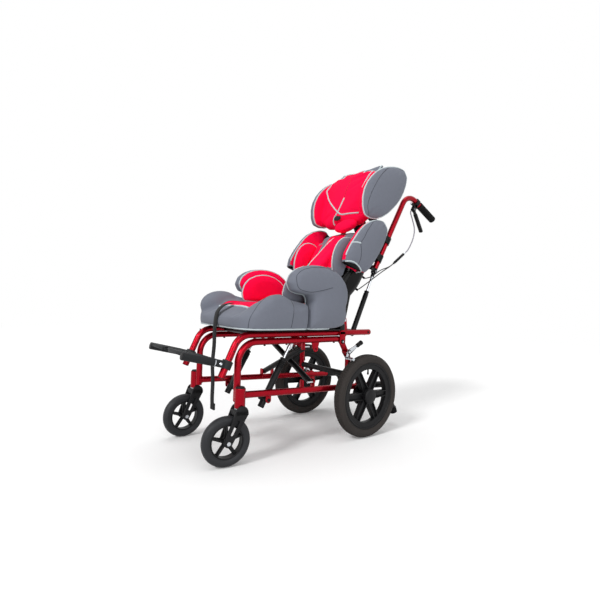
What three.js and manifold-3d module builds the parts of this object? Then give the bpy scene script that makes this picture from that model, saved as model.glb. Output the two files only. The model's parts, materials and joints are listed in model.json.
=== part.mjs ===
// Child's push wheelchair with a tilting seat and a reclining padded back.
// Millimetres, +Z up. The occupant faces -Y, so the occupant's left side is +X.
// The base carries the wheels. The seat frame tilts on it, and the back reclines on the seat frame.
import * as THREE from "three";
import Module from "manifold-3d";
import { mergeVertices } from "three/addons/utils/BufferGeometryUtils.js";

const wasm = await Module();
wasm.setup();

// Fits and cutting
const fit = 0.3; // gap that touching pieces keep
const running = 0.55; // clearance all round a pin that something turns on
const overrun = 6; // how far a cut reaches past a face
const weld = 0.0005; // vertices nearer than this are one
const deg = Math.PI / 180;

// Facet counts
const tubeSides = 10;
const bendStepDeg = 26; // largest turn between two rings of a bend
const wheelSides = 24;
const casterSides = 18;
const pinSides = 12;
const rodSides = 12;
const arcSegments = 4;
const shellCornerSteps = 5;
const cableSides = 6;
const cableSteps = 12;
const cableTailSteps = 8;

// Rear wheels and the axle that they turn on
const wheelRadius = 156;
const tyreWidth = 44;
const tyreDepth = 31;
const rimBand = 25;
const rimWidth = 31;
const axleRadius = 6;
const hubRadius = 27;
const hubWidth = 38;
const hubGap = 3; // between the drum brake and the hub
const rimInset = 17; // from the hub's inner end to the middle of the rim
const hubCapRadius = 28.5;
const hubCapHeight = 7.5;
const hubCapWall = 2.5;
const spokeCount = 6;
const spokeRootWidth = 30;
const spokeTipWidth = 22;
const spokeWeb = 9;
const spokeRib = 4;
const spokeDepth = 22;
const axlePlateThickness = 6;
const axlePlateRadius = 17;

// Casters and their forks
const casterRadius = 76;
const casterTyreWidth = 31;
const casterTyreDepth = 24;
const casterTrail = 40;
const casterTurnLeftDeg = -8;
const casterTurnRightDeg = 2;
const casterSpokeCount = 5;
const casterTopGap = 2.2;
const forkClearance = 3;
const forkGap = casterTyreWidth + forkClearance * 2;
const forkLegThickness = 6.5;
const forkDepth = 42;
const forkCrownHeight = 16;
const forkWasherHeight = 3;
const forkEyeRadius = 13;
const forkSlotRadius = 4.5;
const forkSlotShares = [0.3, 0.72]; // where the slot starts and ends down the leg
const casterAxleRadius = 4;
const casterHubRadius = 11;
const casterSpokeThickness = 5;
const casterRimThickness = 4.5;
const casterSpokeDepth = 20;

// Base frame: two welded side frames of round tube
const tubeRadius = 11.1;
const baseHalfWidth = 142;
const frontTubeY = -380;
const uprightY = 95;
const upperRailOverWheel = 57.5;
const upperRailZ = wheelRadius * 2 + upperRailOverWheel;
const upperRailRearInset = 43;
const upperRailRearY = uprightY - upperRailRearInset;
const uprightTopDrop = 71.5;
const uprightTopZ = upperRailZ - uprightTopDrop;
const frontBendRadius = 65;
const rearBendRadius = 30;
const axleSetback = 57; // behind the upright
const axleY = uprightY + axleSetback;
const axleDrop = 23; // under the rear end of the lower rail
const lowerRailOverhang = 88; // behind the axle
const lowerRailRearY = axleY + lowerRailOverhang;
const lowerRailRearZ = wheelRadius + axleDrop;

// Caster barrel, welded outboard of the front tube
const barrelOffset = 26;
const barrelX = baseHalfWidth + barrelOffset;
const barrelLead = 3;
const barrelY = frontTubeY - barrelLead;
const barrelRadius = 16.8;
const barrelHeight = 59.5;
const barrelBottomZ = casterRadius * 2 + casterTopGap + forkCrownHeight + forkWasherHeight + fit;
const barrelTopZ = barrelBottomZ + barrelHeight;
const stemRadius = 8;
const capHeight = 5;
const capRadius = 14.3;
const frontTubeFootRise = 14.5;
const frontTubeFootZ = barrelBottomZ + frontTubeFootRise;
const lowerRailFrontRise = 17;
const lowerRailFrontZ = frontTubeFootZ + lowerRailFrontRise;

// Height of the lower rail's centre line at a place along it
function lowerRailZ(y) {
  const share = (y - frontTubeY) / (lowerRailRearY - frontTubeY);
  return lowerRailFrontZ + (lowerRailRearZ - lowerRailFrontZ) * share;
}

// Drum brake on each stub axle, and the hub outboard of it
const drumRadius = 42;
const drumGap = 0.4;
const drumInnerX = baseHalfWidth + tubeRadius + drumGap;
const drumWidth = 16.5;
const drumOuterX = drumInnerX + drumWidth;
const drumLip = 6;
const brakeArmLength = 44;
const brakeArmRadius = 6;
const brakeArmThickness = 4;
const hubInnerX = drumOuterX + hubGap;
const hubOuterX = hubInnerX + hubWidth;
const hubCapFaceX = hubOuterX + hubCapHeight;
const halfTrack = hubInnerX + rimInset;

// Tipping levers at the rear ends of the lower rails
const tipTubeRadius = 12.5;
const tipBendReach = 78;
const tipBendDrop = 4;
const tipBendY = lowerRailRearY + tipBendReach;
const tipBendZ = lowerRailRearZ - tipBendDrop;
const tipEndReach = 52;
const tipEndY = tipBendY + tipEndReach;
const tipEndZ = 62;
const tipBendRadius = 40;
const tipCapRadius = 16;
const tipCapLength = 22;

// Folding cross brace
const braceLead = 199; // ahead of the uprights
const braceY = uprightY - braceLead;
const bracePitch = 24.5;
const braceTopDrop = 24.5;
const braceTopZ = upperRailZ - braceTopDrop;
const braceFootRise = 23.6;
const braceFootZ = lowerRailZ(braceY) + braceFootRise;
const braceEndInset = 8;
const braceReach = baseHalfWidth - braceEndInset;
const braceTubeRadius = 10.5;
const braceBoltRadius = 5;
const braceLugThickness = 4;
const braceLugRadius = 12;

// Rear cross tube between the uprights
const rearTubeRise = 76;
const rearTubeZ = wheelRadius + rearTubeRise;
const rearTubeRadius = 11;

// Wheel lock: its shoe stands off the tyre, and its pivot sits by the upright
const lockStandOff = 24;
const lockArmX = baseHalfWidth + lockStandOff;
const lockArmThickness = 5;
const lockPinRadius = 4;
const lockEyeRadius = 10;
const lockShoeRadius = 6;
const lockShoeLength = 40;
const lockShoeGap = 7.8;
const lockShoeDeg = 58; // up from the axle, towards the front
const lockShoeReach = wheelRadius + lockShoeGap + lockShoeRadius;
const lockShoeY = axleY - lockShoeReach * Math.cos(lockShoeDeg * deg);
const lockShoeZ = wheelRadius + lockShoeReach * Math.sin(lockShoeDeg * deg);
const lockPivotSetback = 12;
const lockPivotRise = 22;
const lockPivotY = lockShoeY + lockPivotSetback;
const lockPivotZ = lockShoeZ + lockPivotRise;
const lockKnobSetback = 38;
const lockKnobRise = 20;
const lockKnobY = lockPivotY + lockKnobSetback;
const lockKnobZ = lockPivotZ + lockKnobRise;
const lockKnobRadius = 9;
const lockKnobLength = 30;

// Seat frame: two bent tubes that tilt on the base
const seatInset = 2.5;
const seatHalfWidth = baseHalfWidth - seatInset;
const seatRailGap = 0.7;
const seatRailZ = upperRailZ + tubeRadius * 2 + seatRailGap;
const hangerSetback = 2.5;
const hangerCornerY = frontTubeY + hangerSetback;
const hangerReach = 57.5;
const hangerDrop = 128.4;
const hangerFootY = hangerCornerY - hangerReach;
const hangerFootZ = seatRailZ - hangerDrop;
const hangerBendRadius = 60;
const seatRailOverhang = 113; // behind the uprights
const seatRailRearY = uprightY + seatRailOverhang;
const tiltPivotInset = 2;
const tiltPivotDrop = 9.5;
const tiltPivotY = upperRailRearY - tiltPivotInset;
const tiltPivotZ = upperRailZ - tiltPivotDrop;
const tiltPinRadius = 5;
const tiltPlateThickness = 4.5;
const tiltPlateRadius = 14;
const tiltPlateWidth = 28;
const tiltHeadRadius = 8;
const tiltHeadThickness = 3;
const crossBarRadius = 9.5;
const frontCrossBarSetback = 92.5;
const rearCrossBarInset = 10;
const rearCrossBarDrop = 4;
const frontCrossBarY = hangerCornerY + frontCrossBarSetback;
const rearCrossBarY = seatRailRearY - rearCrossBarInset;

// Recline hinge on the seat rails
const reclinePivotSetback = 20;
const reclinePivotRise = 47.6;
const reclinePivotY = tiltPivotY + reclinePivotSetback;
const reclinePivotZ = seatRailZ + reclinePivotRise;
const hingePlateThickness = 6;
const hingePlateRadius = 12;
const hingePlateFoot = 36;
const hingePinRadius = 4;

// Footrests
const clampAlong = 41.7; // up the hanger from its foot
const clampRadius = 17;
const clampLength = 26;
const footBarRadius = 12;
const footBarLength = 110;
const footBarPinRadius = 5;
const footPinReach = 24;
const footArmLength = 21;
const footBarStart = clampRadius + footArmLength;
const footMiddleGap = 37; // between the two plates
const footPlateWidth = seatHalfWidth - footMiddleGap / 2;
const footPlateThickness = 5;
const footRibHeight = 7;
const footRibThickness = 5;
const footRibCount = 5;
const footRibShare = 0.94; // of the plate's width
const footPitchDeg = 13.5;

// Gas springs
const strutInset = 21.5;
const strutHalfWidth = seatHalfWidth - strutInset;
const strutRodRadius = 5;
const tiltStrutHeadLead = 42; // ahead of the brace
const tiltStrutRun = 116;
const tiltStrutFootDrop = 24;
const tiltStrutHeadDrop = 7.4;
const tiltStrutHeadY = braceY - tiltStrutHeadLead;
const tiltStrutHeadZ = seatRailZ - tiltStrutHeadDrop;
const tiltStrutFootY = tiltStrutHeadY - tiltStrutRun;
const tiltStrutFootZ = lowerRailZ(tiltStrutFootY) - tiltStrutFootDrop;
const tiltCylinderRadius = 11;
const tiltCylinderBelow = 30;
const tiltCylinderAbove = 150;
const tiltTrunnionRadius = 9.5;
const tiltTrunnionGap = 1;
const tiltTrunnionReach = baseHalfWidth - axlePlateThickness / 2 - tiltTrunnionGap;
const tiltTrunnionPinRadius = 5;
const tiltTrunnionBite = 9;
const strutEyeRadius = 12.5;
const strutEyeBore = 8.6; // wide, because the head pin is the linkage's open pivot
const strutEyeWidth = 10;
const strutPinRadius = 4;
const reclineStrutSetback = 67;
const reclineStrutFootDrop = 6.4;
const reclineStrutFootY = reclinePivotY + reclineStrutSetback;
const reclineStrutFootZ = seatRailZ - reclineStrutFootDrop;
const reclineCylinderRadius = 10;
const reclineCylinderLength = 186;
const reclineEyeRadius = 10;
const reclineRodStart = 76; // leaves the stroke of the full recline inside the cylinder
const boreMargin = 0.5;

// Back, in its own frame: the origin is the recline pivot and +Z runs up the back
const reclineDeg = 30;
const shellWall = 5;
const shellFootInset = 5.5;
const shellFlare = 16;
const shellFootHalfWidth = seatHalfWidth - shellFootInset;
const backHalfWidth = shellFootHalfWidth + shellFlare;
const shellFootZ = 34;
const shellTopZ = 400;
const shellStationShares = { foot: 0, hip: 0.167, waist: 0.372, chest: 0.617, shoulder: 0.836, top: 1 };
const shellRearY = 4;
const shellFootRearY = -14;
const shellCorner = 34;
const shellSideDepth = 74;
const shellFootSideDepth = 40;
const shellEarShare = 1.3; // of the hinge plate's radius

const caneHalfWidth = backHalfWidth;
const caneFootZ = 253;
const caneFootSetback = 23;
const caneFootY = shellRearY + caneFootSetback;
const caneLean = 7;
const caneCornerY = caneFootY - caneLean;
const caneCornerZ = 642;
const caneBendRadius = 62;
const gripLength = 114;
const gripRadius = 15.5;
const gripEndWall = 3;
const gripRibCount = 3;
const gripRibShares = [0.95, 0.9]; // of the grip's radius, at its end and in its grooves
const saddleHeight = 30;
const saddleFrontY = -15;
const saddleInnerReach = 18;
const saddleOuterReach = 12;
const saddleInnerX = caneHalfWidth - saddleInnerReach;
const saddleOuterX = caneHalfWidth + saddleOuterReach;
const saddleLowDrop = 100;
const saddleHighDrop = 12;
const saddleLowZ = shellTopZ - saddleLowDrop;
const saddleHighZ = shellTopZ - saddleHighDrop;
const backBarRadius = 8;
const backBarRise = 9;
const backBarZ = caneFootZ + backBarRise;
const headLugReach = 30;
const strutHeadY = caneFootY + headLugReach;
const strutHeadZ = backBarZ;
const headLugThickness = 4;
const headLugRadius = 9;

// Release lever on each handle. The handle holds the bend, the lever's clamp and the grip in a row.
const leverClampWidth = 18;
const leverClampRadius = 16;
const leverClampGap = 8;
const leverClampY = caneCornerY + caneBendRadius + leverClampWidth / 2;
const handleEndY = leverClampY + leverClampWidth / 2 + leverClampGap + gripLength;
const handleRise = 16;
const handleEndZ = caneCornerZ + handleRise;
const leverPivotDrop = 32;
const leverPivotY = leverClampY;
const leverPivotZ = caneCornerZ - leverPivotDrop;
const leverTipReach = 93;
const leverTipDrop = 47;
const leverTipY = leverPivotY + leverTipReach;
const leverTipZ = leverPivotZ - leverTipDrop;
const leverWidth = 15;
const leverRootLength = 24;
const leverRootDrop = 12;
const leverRootRadius = 8;
const leverTipRadius = 6;
const leverBladeLap = 1.5; // of the blade over the root
const leverPinRadius = 2.5;
const leverYokeHeight = 30;

// Padded seat on its pan
const panFloor = 4;
const panRearHeight = 24;
const panOverhang = 36.5;
const panHalfWidth = seatHalfWidth + panOverhang;
const panCorner = 40;
const cushionBottomZ = seatRailZ + tubeRadius + fit + panFloor + fit;
const cushionLead = 10.5;
const cushionFrontY = hangerCornerY - cushionLead;
const cushionRearGap = 48; // to the recline pivot
const cushionRearY = reclinePivotY - cushionRearGap;
const panFrontInset = 36;
const panRearReach = 24;
const panFrontY = cushionFrontY + panFrontInset;
const panRearY = cushionRearY + panRearReach;
const cushionOverhang = 64.5;
const cushionHalfWidth = seatHalfWidth + cushionOverhang;
const cushionNoseTaper = 54;
const cushionFrontHalfWidth = cushionHalfWidth - cushionNoseTaper;
const seatCentreHeight = 83.9;
const seatBolsterHeight = 121.9;
const seatDipHeight = 91.9;
const seatNoseHeight = 43.9;
const seatCentreZ = cushionBottomZ + seatCentreHeight;
const seatBolsterZ = cushionBottomZ + seatBolsterHeight;
const seatDipZ = cushionBottomZ + seatDipHeight;
const seatNoseZ = cushionBottomZ + seatNoseHeight;
const seatBolsterWidth = 100;
const seatChannelX = cushionHalfWidth - seatBolsterWidth;
const seatChannelDepth = 7;
const bolsterPeakSetback = 116;
const bolsterPeakY = cushionFrontY + bolsterPeakSetback;

// Armrest: a foot on the pan and a hook that reaches forward over the thigh bolster
const armrestHalfThickness = 38.7;
const armrestOverhang = 12.7;
const armrestX = cushionHalfWidth + armrestOverhang - armrestHalfThickness;
const armrestLength = 167;
const armrestFrontY = cushionRearY - armrestLength;
const armrestRearReach = 14;
const armrestRearY = cushionRearY + armrestRearReach;
const armrestGap = 3.5;
const armrestHookReach = 83;
const armrestHookRise = 23;
const armrestHookZ = seatDipZ + armrestHookRise;
const armrestHookHeight = 109;
const bolsterDipLead = 31;
const bolsterDipY = armrestFrontY - bolsterDipLead;

// Hip pads, stuck to the inner faces of the armrests
const hipPadHalfThickness = 13;
const hipPadGap = 1.8;
const hipPadX = armrestX - armrestHalfThickness - hipPadGap - hipPadHalfThickness;
const hipPadLead = 84;
const hipPadFrontY = armrestFrontY - hipPadLead;
const hipPadLength = 221;
const hipPadSink = 4;
const hipPadFootZ = seatCentreZ - hipPadSink;
const hipPadHeight = 119;
const hipPadOffsetY = 20; // the left pad is stuck on further back than the right one

// Padded back, in the back's own frame
const backPadFrontY = -100;
const backPadRearY = -18;
const backPadFootRise = 28;
const backPadTopDrop = 26;
const backPadFootZ = shellFootZ + backPadFootRise;
const backPadTopZ = shellTopZ - backPadTopDrop;
const backPadLap = 2; // over the shell's half width
const backPadHalfWidth = backHalfWidth + backPadLap;
const bolsterHalfThickness = 25;
const bolsterOffset = 23;
const bolsterX = backHalfWidth + bolsterOffset;
const bolsterFootRise = 122;
const bolsterTopRise = 23;
const bolsterFootZ = shellFootZ + bolsterFootRise;
const bolsterTopZ = shellTopZ + bolsterTopRise;
const bolsterRearY = -9;
const bolsterDepth = 151;
const trunkPadHalfThickness = 14;
const trunkPadInset = 28;
const trunkPadX = backHalfWidth - trunkPadInset;
const trunkPadSink = 16;
const trunkPadRearY = backPadFrontY + trunkPadSink;
const trunkPadDepth = 88;
const trunkPadFootRise = 64;
const trunkPadFootZ = backPadFootZ + trunkPadFootRise;
const trunkPadHeight = 174;

// Centre insert of the back: a narrow pad whose foot stands further forward than its top
const insertHalfWidth = 43;
const insertHalfThickness = 24;
const insertRearShare = 2; // depth of its rear half, of its front half's
const insertFootRise = 48;
const insertTopDrop = 18;
const insertFootZ = backPadFootZ + insertFootRise;
const insertTopZ = backPadTopZ - insertTopDrop;
const insertFootLead = 32;
const insertTopSink = 35;
const insertFootY = backPadFrontY - insertFootLead;
const insertTopY = backPadFrontY + insertTopSink;

// Head support, in its own frame on the back
const headOriginY = -63;
const headLeanDeg = 14.3;
const headPanelHalfWidth = 146;
const headPanelFrontY = -80;
const headPanelRearY = -6;
const headPanelDrop = 44;
const headPanelHeight = 248;
const headWingHalfThickness = 26;
const headWingOffset = 5;
const headWingX = headPanelHalfWidth + headWingOffset;
const headWingFrontY = -126;
const headWingDepth = 227;
const headWingDrop = 34;
const headWingHeight = 284;
const headWingNest = 18; // how far the wings reach down behind the bolsters' tops
const headOriginZ = bolsterTopZ - headWingNest + headWingDrop;
const headPostWidth = 60;
const headPostThickness = 6;
const headPostY = shellRearY + fit + headPostThickness / 2;
const headPostFootDrop = 100;
const headPostFootZ = shellTopZ - headPostFootDrop;
const headPostBendRise = 28;
const headPostBendZ = shellTopZ + headPostBendRise;
const headPostShares = [0.16, 0.53]; // of the panel's height, where the post lies on the panel
const headGuideDrop = 72;
const headGuideFootZ = shellTopZ - headGuideDrop;
const headPostGuideWall = 5;

// Release cable and the splitter that it divides in
const cableRadius = 2.5;
const splitterRadius = 5.5;

// Strap that hangs from the front of the seat
const strapWidth = 25;
const strapThickness = 2.4;
const strapEndZ = 130;
const strapDrop = 12;
const strapBow = 5;
const strapSteps = 6;
const strapStations = 5;
const strapNoseShare = 4; // how fast the strap comes off the nose, of the seat's length
const strapLiftShare = 1.2;
const strapHangShare = 1.6;

const vec = (x, y, z) => new THREE.Vector3(x, y, z);

// Turns any closed geometry into a solid whose faces point out.
function solid(geometry) {
  const bare = geometry.index ? geometry.toNonIndexed() : geometry.clone();
  bare.deleteAttribute("normal");
  bare.deleteAttribute("uv");
  const merged = mergeVertices(bare, weld);
  const source = merged.index.array;
  const corner = (i) => vec().fromBufferAttribute(merged.attributes.position, i);
  const faces = [];
  let volume = 0;
  for (let i = 0; i < source.length; i += 3) {
    const [a, b, c] = [source[i], source[i + 1], source[i + 2]];
    if (a === b || b === c || c === a) continue;
    volume += corner(a).dot(corner(b).cross(corner(c)));
    faces.push([a, b, c]);
  }
  const triVerts = new Uint32Array(faces.flatMap(([a, b, c]) => (volume < 0 ? [a, c, b] : [a, b, c])));
  const vertProperties = new Float32Array(merged.attributes.position.array);
  return new wasm.Manifold(new wasm.Mesh({ numProp: 3, vertProperties, triVerts }));
}

// Joins several closed geometries or solids into one solid.
function join(...pieces) {
  return pieces.map(asSolid).reduce((whole, piece) => whole.add(piece));
}

// Takes several closed geometries or solids out of the first.
function cut(body, ...tools) {
  return tools.map(asSolid).reduce((whole, tool) => whole.subtract(tool), asSolid(body));
}

function asSolid(piece) {
  return piece.isBufferGeometry ? solid(piece) : piece;
}

// Turns a solid back into a three.js geometry.
function geometryOf(body) {
  const mesh = body.getMesh();
  const geometry = new THREE.BufferGeometry();
  const points = new Float32Array(mesh.numVert * 3);
  for (let i = 0; i < mesh.numVert; i += 1) {
    for (let k = 0; k < 3; k += 1) points[i * 3 + k] = mesh.vertProperties[i * mesh.numProp + k];
  }
  geometry.setAttribute("position", new THREE.BufferAttribute(points, 3));
  geometry.setIndex(new THREE.BufferAttribute(new Uint32Array(mesh.triVerts), 1));
  const flat = geometry.toNonIndexed();
  flat.computeVertexNormals();
  return flat;
}

// A curve that passes through given stations with given directions.
class StationCurve extends THREE.Curve {
  constructor(stations) {
    super();
    this.stations = stations;
  }
  between(t) {
    const last = this.stations.length - 1;
    const at = Math.min(Math.max(t, 0), 1) * last;
    const low = Math.min(Math.floor(at + 1 / (4 * last)), last - 1);
    return [this.stations[low], this.stations[low + 1], at - low];
  }
  getPoint(t, target = new THREE.Vector3()) {
    const [from, to, share] = this.between(t);
    return target.lerpVectors(from.point, to.point, share);
  }
  getPointAt(t, target) {
    return this.getPoint(t, target);
  }
  getTangent(t, target = new THREE.Vector3()) {
    const [from, to, share] = this.between(t);
    return target.lerpVectors(from.direction, to.direction, share).normalize();
  }
  getTangentAt(t, target) {
    return this.getTangent(t, target);
  }
}

// Stations along a path of corners, each inner corner rounded to its radius.
function bentStations(corners, radii) {
  const stations = [];
  const add = (point, direction) => stations.push({ point, direction });
  const heading = (i) => corners[i + 1].clone().sub(corners[i]).normalize();
  add(corners[0], heading(0));
  for (let i = 1; i < corners.length - 1; i += 1) {
    const arriving = heading(i - 1);
    const leaving = heading(i);
    const turn = arriving.angleTo(leaving);
    const steps = Math.ceil(turn / (bendStepDeg * deg));
    const radius = radii[i - 1];
    const start = corners[i].clone().addScaledVector(arriving, -radius * Math.tan(turn / 2));
    const side = leaving.clone().addScaledVector(arriving, -Math.cos(turn)).normalize();
    const centre = start.clone().addScaledVector(side, radius);
    for (let k = 0; k <= steps; k += 1) {
      const angle = (turn * k) / steps;
      const [cos, sin] = [Math.cos(angle), Math.sin(angle)];
      const point = centre.clone().addScaledVector(side, -radius * cos);
      point.addScaledVector(arriving, radius * sin);
      const direction = arriving.clone().multiplyScalar(cos).addScaledVector(side, sin);
      add(point, direction);
    }
  }
  add(corners.at(-1), heading(corners.length - 2));
  return stations;
}

function disc(radius, sides) {
  const shape = new THREE.Shape();
  for (let i = 0; i < sides; i += 1) {
    const angle = (2 * Math.PI * (i + 1 / 2)) / sides;
    const point = [radius * Math.cos(angle), radius * Math.sin(angle)];
    if (i === 0) shape.moveTo(...point);
    else shape.lineTo(...point);
  }
  return shape;
}

function sweep(section, stations) {
  const extrudePath = new StationCurve(stations);
  return new THREE.ExtrudeGeometry(section, { steps: stations.length - 1, bevelEnabled: false, extrudePath });
}

// A round bar along a path of corners with rounded bends.
function bentTube(corners, radii, radius, sides = tubeSides) {
  return sweep(disc(radius, sides), bentStations(corners, radii));
}

function rod(from, to, radius, sides = pinSides) {
  return bentTube([from, to], [], radius, sides);
}

// Radius of a faceted hole that clears a round tube by the fit.
function tubeRoom(radius) {
  return (radius + fit) / Math.cos(Math.PI / tubeSides);
}

// A round bar along X.
function crossPin(x0, x1, y, z, radius, sides = pinSides) {
  return rod(vec(x0, y, z), vec(x1, y, z), radius, sides);
}

// A solid of revolution. The profile is [radius, place along the axis], and the axis runs along X.
function turnedX(profile, sides) {
  const points = profile.map(([radius, along]) => new THREE.Vector2(radius, along));
  if (profile[0][0] > 0) points.push(points[0].clone());
  return new THREE.LatheGeometry(points, sides).rotateZ(-Math.PI / 2);
}

// The same, with the axis along Z.
function turnedZ(profile, sides) {
  const points = profile.map(([radius, along]) => new THREE.Vector2(radius, along));
  if (profile[0][0] > 0) points.push(points[0].clone());
  return new THREE.LatheGeometry(points, sides).rotateX(Math.PI / 2);
}

// A flat plate whose outline is drawn in Y and Z, from x0 to x0 + thickness.
function sidePlate(shape, x0, thickness, curveSegments = arcSegments) {
  const plate = new THREE.ExtrudeGeometry(shape, { depth: thickness, bevelEnabled: false, curveSegments });
  const axes = new THREE.Matrix4().makeBasis(vec(0, 1, 0), vec(0, 0, 1), vec(1, 0, 0));
  return plate.applyMatrix4(axes).translate(x0, 0, 0);
}

// The outline round two circles and their outer tangents.
function linkShape([ay, az, ar], [by, bz, br]) {
  const length = Math.hypot(by - ay, bz - az);
  const along = Math.atan2(bz - az, by - ay);
  const opening = Math.acos((ar - br) / length);
  const shape = new THREE.Shape();
  shape.absarc(ay, az, ar, along + opening, along - opening + 2 * Math.PI, false);
  shape.absarc(by, bz, br, along - opening, along + opening, false);
  return shape;
}

function box(x0, x1, y0, y1, z0, z1) {
  const shape = new THREE.BoxGeometry(x1 - x0, y1 - y0, z1 - z0);
  return shape.translate((x0 + x1) / 2, (y0 + y1) / 2, (z0 + z1) / 2);
}

// A closed body through rings of equal point counts, closed by a fan at each end.
function loft(rings) {
  const count = rings[0].length;
  const points = [];
  const centreOf = (ring) => ring.reduce((sum, p) => sum.add(p), vec(0, 0, 0)).divideScalar(count);
  const triangle = (a, b, c) => points.push(a, b, c);
  for (let i = 0; i < rings.length - 1; i += 1) {
    for (let k = 0; k < count; k += 1) {
      const next = (k + 1) % count;
      triangle(rings[i][k], rings[i][next], rings[i + 1][next]);
      triangle(rings[i][k], rings[i + 1][next], rings[i + 1][k]);
    }
  }
  const [head, tail] = [centreOf(rings[0]), centreOf(rings.at(-1))];
  for (let k = 0; k < count; k += 1) {
    const next = (k + 1) % count;
    triangle(head, rings[0][next], rings[0][k]);
    triangle(tail, rings.at(-1)[k], rings.at(-1)[next]);
  }
  return new THREE.BufferGeometry().setFromPoints(points);
}

// Shares of the outline's reach and of the half thickness, from the rim to the crown of a pad.
const crownShares = [[1, 0], [0.96, 0.5], [0.84, 0.83], [0.5, 1]];

// A crowned pad: an outline about a centre, filled out to a half thickness on both faces.
// The placing function takes outline coordinates and the height over the middle plane.
function crownedPad(outline, centre, halfThickness, placing) {
  const ring = (reach, lift) =>
    outline.map(([u, v]) =>
      placing(centre[0] + (u - centre[0]) * reach, centre[1] + (v - centre[1]) * reach, lift * halfThickness),
    );
  const front = [...crownShares].reverse().map(([reach, lift]) => ring(reach, lift));
  const back = crownShares.slice(1).map(([reach, lift]) => ring(reach, -lift));
  return loft([...front, ...back]);
}

// A strip of even thickness along a route in Y and Z, as wide as stated across X.
function ribbon(route, thickness, width) {
  const edge = (sign) =>
    route.map(([y, z], i) => {
      const [ay, az] = route[Math.max(i - 1, 0)];
      const [by, bz] = route[Math.min(i + 1, route.length - 1)];
      const run = Math.hypot(by - ay, bz - az);
      const half = (sign * thickness) / 2;
      return [y + (half * (bz - az)) / run, z - (half * (by - ay)) / run];
    });
  const outline = [...edge(1), ...edge(-1).reverse()];
  const shape = new THREE.Shape(outline.map(([y, z]) => new THREE.Vector2(y, z)));
  return sidePlate(shape, -width / 2, width);
}

// Evenly spaced points on a smooth closed curve through chosen points.
function roundedOutline(points, count) {
  const curve = new THREE.CatmullRomCurve3(points.map(([u, v]) => vec(u, v, 0)), true, "centripetal");
  return curve.getSpacedPoints(count).slice(0, count).map((p) => [p.x, p.y]);
}

// Turns shares of a width and a height into places, counted from an origin.
const spread = ([u0, v0], [width, height]) => ([u, v]) => [u0 + u * width, v0 + v * height];

// A half outline given as shares, with its mirror image.
function mirroredShares(half) {
  return [...half, ...half.slice(1, -1).reverse().map(([u, v]) => [-u, v])];
}

// A crowned pad whose outline and centre are shares, put in place by a function.
function padOf({ outlineShares, centreShares, count }, at, halfThickness, placing) {
  return crownedPad(roundedOutline(outlineShares.map(at), count), at(centreShares), halfThickness, placing);
}

const onSide = (x) => (u, v, lift) => vec(x + lift, u, v);
const onFront = (y) => (u, v, lift) => vec(u, y + lift, v);

const finishes = {
  red: { color: 0xa80f24, roughness: 0.28, metalness: 0.55 },
  black: { color: 0x1c1c1e, roughness: 0.55, metalness: 0 },
  blackTube: { color: 0x17171a, roughness: 0.4, metalness: 0.3 },
  chrome: { color: 0xd7dadd, roughness: 0.15, metalness: 1 },
  tyre: { color: 0x4a4744, roughness: 0.9, metalness: 0 },
  casterTyre: { color: 0x3a3a3c, roughness: 0.8, metalness: 0 },
  foot: { color: 0x3a3d40, roughness: 0.6, metalness: 0 },
  greyCloth: { color: 0x7d8088, roughness: 0.95, metalness: 0 },
  redCloth: { color: 0xe8003c, roughness: 0.95, metalness: 0 },
  webbing: { color: 0x1a1a1c, roughness: 0.9, metalness: 0 },
  cable: { color: 0x151517, roughness: 0.5, metalness: 0 },
};

const wheelchair = new THREE.Group();
const base = new THREE.Group();
const seat = new THREE.Group();
const back = new THREE.Group();
const head = new THREE.Group();
back.position.set(0, reclinePivotY, reclinePivotZ);
back.rotation.x = -reclineDeg * deg;
head.position.set(0, headOriginY, headOriginZ);
head.rotation.x = headLeanDeg * deg;
back.add(head);
wheelchair.add(base, seat, back);

function addPiece(group, name, body, finish) {
  const geometry = body.isBufferGeometry ? geometryOf(solid(body)) : geometryOf(body);
  const mesh = new THREE.Mesh(geometry, new THREE.MeshStandardMaterial(finishes[finish]));
  mesh.name = name;
  group.add(mesh);
  return mesh;
}

const sides = [["left", 1], ["right", -1]];

// Adds a piece made for the left side, and its mirror image on the right.
function addPair(group, name, build, finish) {
  for (const [side, sign] of sides) {
    const body = asSolid(build(sign));
    addPiece(group, `${name}_${side}`, sign > 0 ? body : body.mirror([1, 0, 0]), finish);
  }
}

// Brace tube end points: each bar runs from one upper rail down to the other lower rail.
const braceFrom = vec(braceReach, 0, braceTopZ);
const braceTo = vec(-braceReach, 0, braceFootZ);

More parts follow.
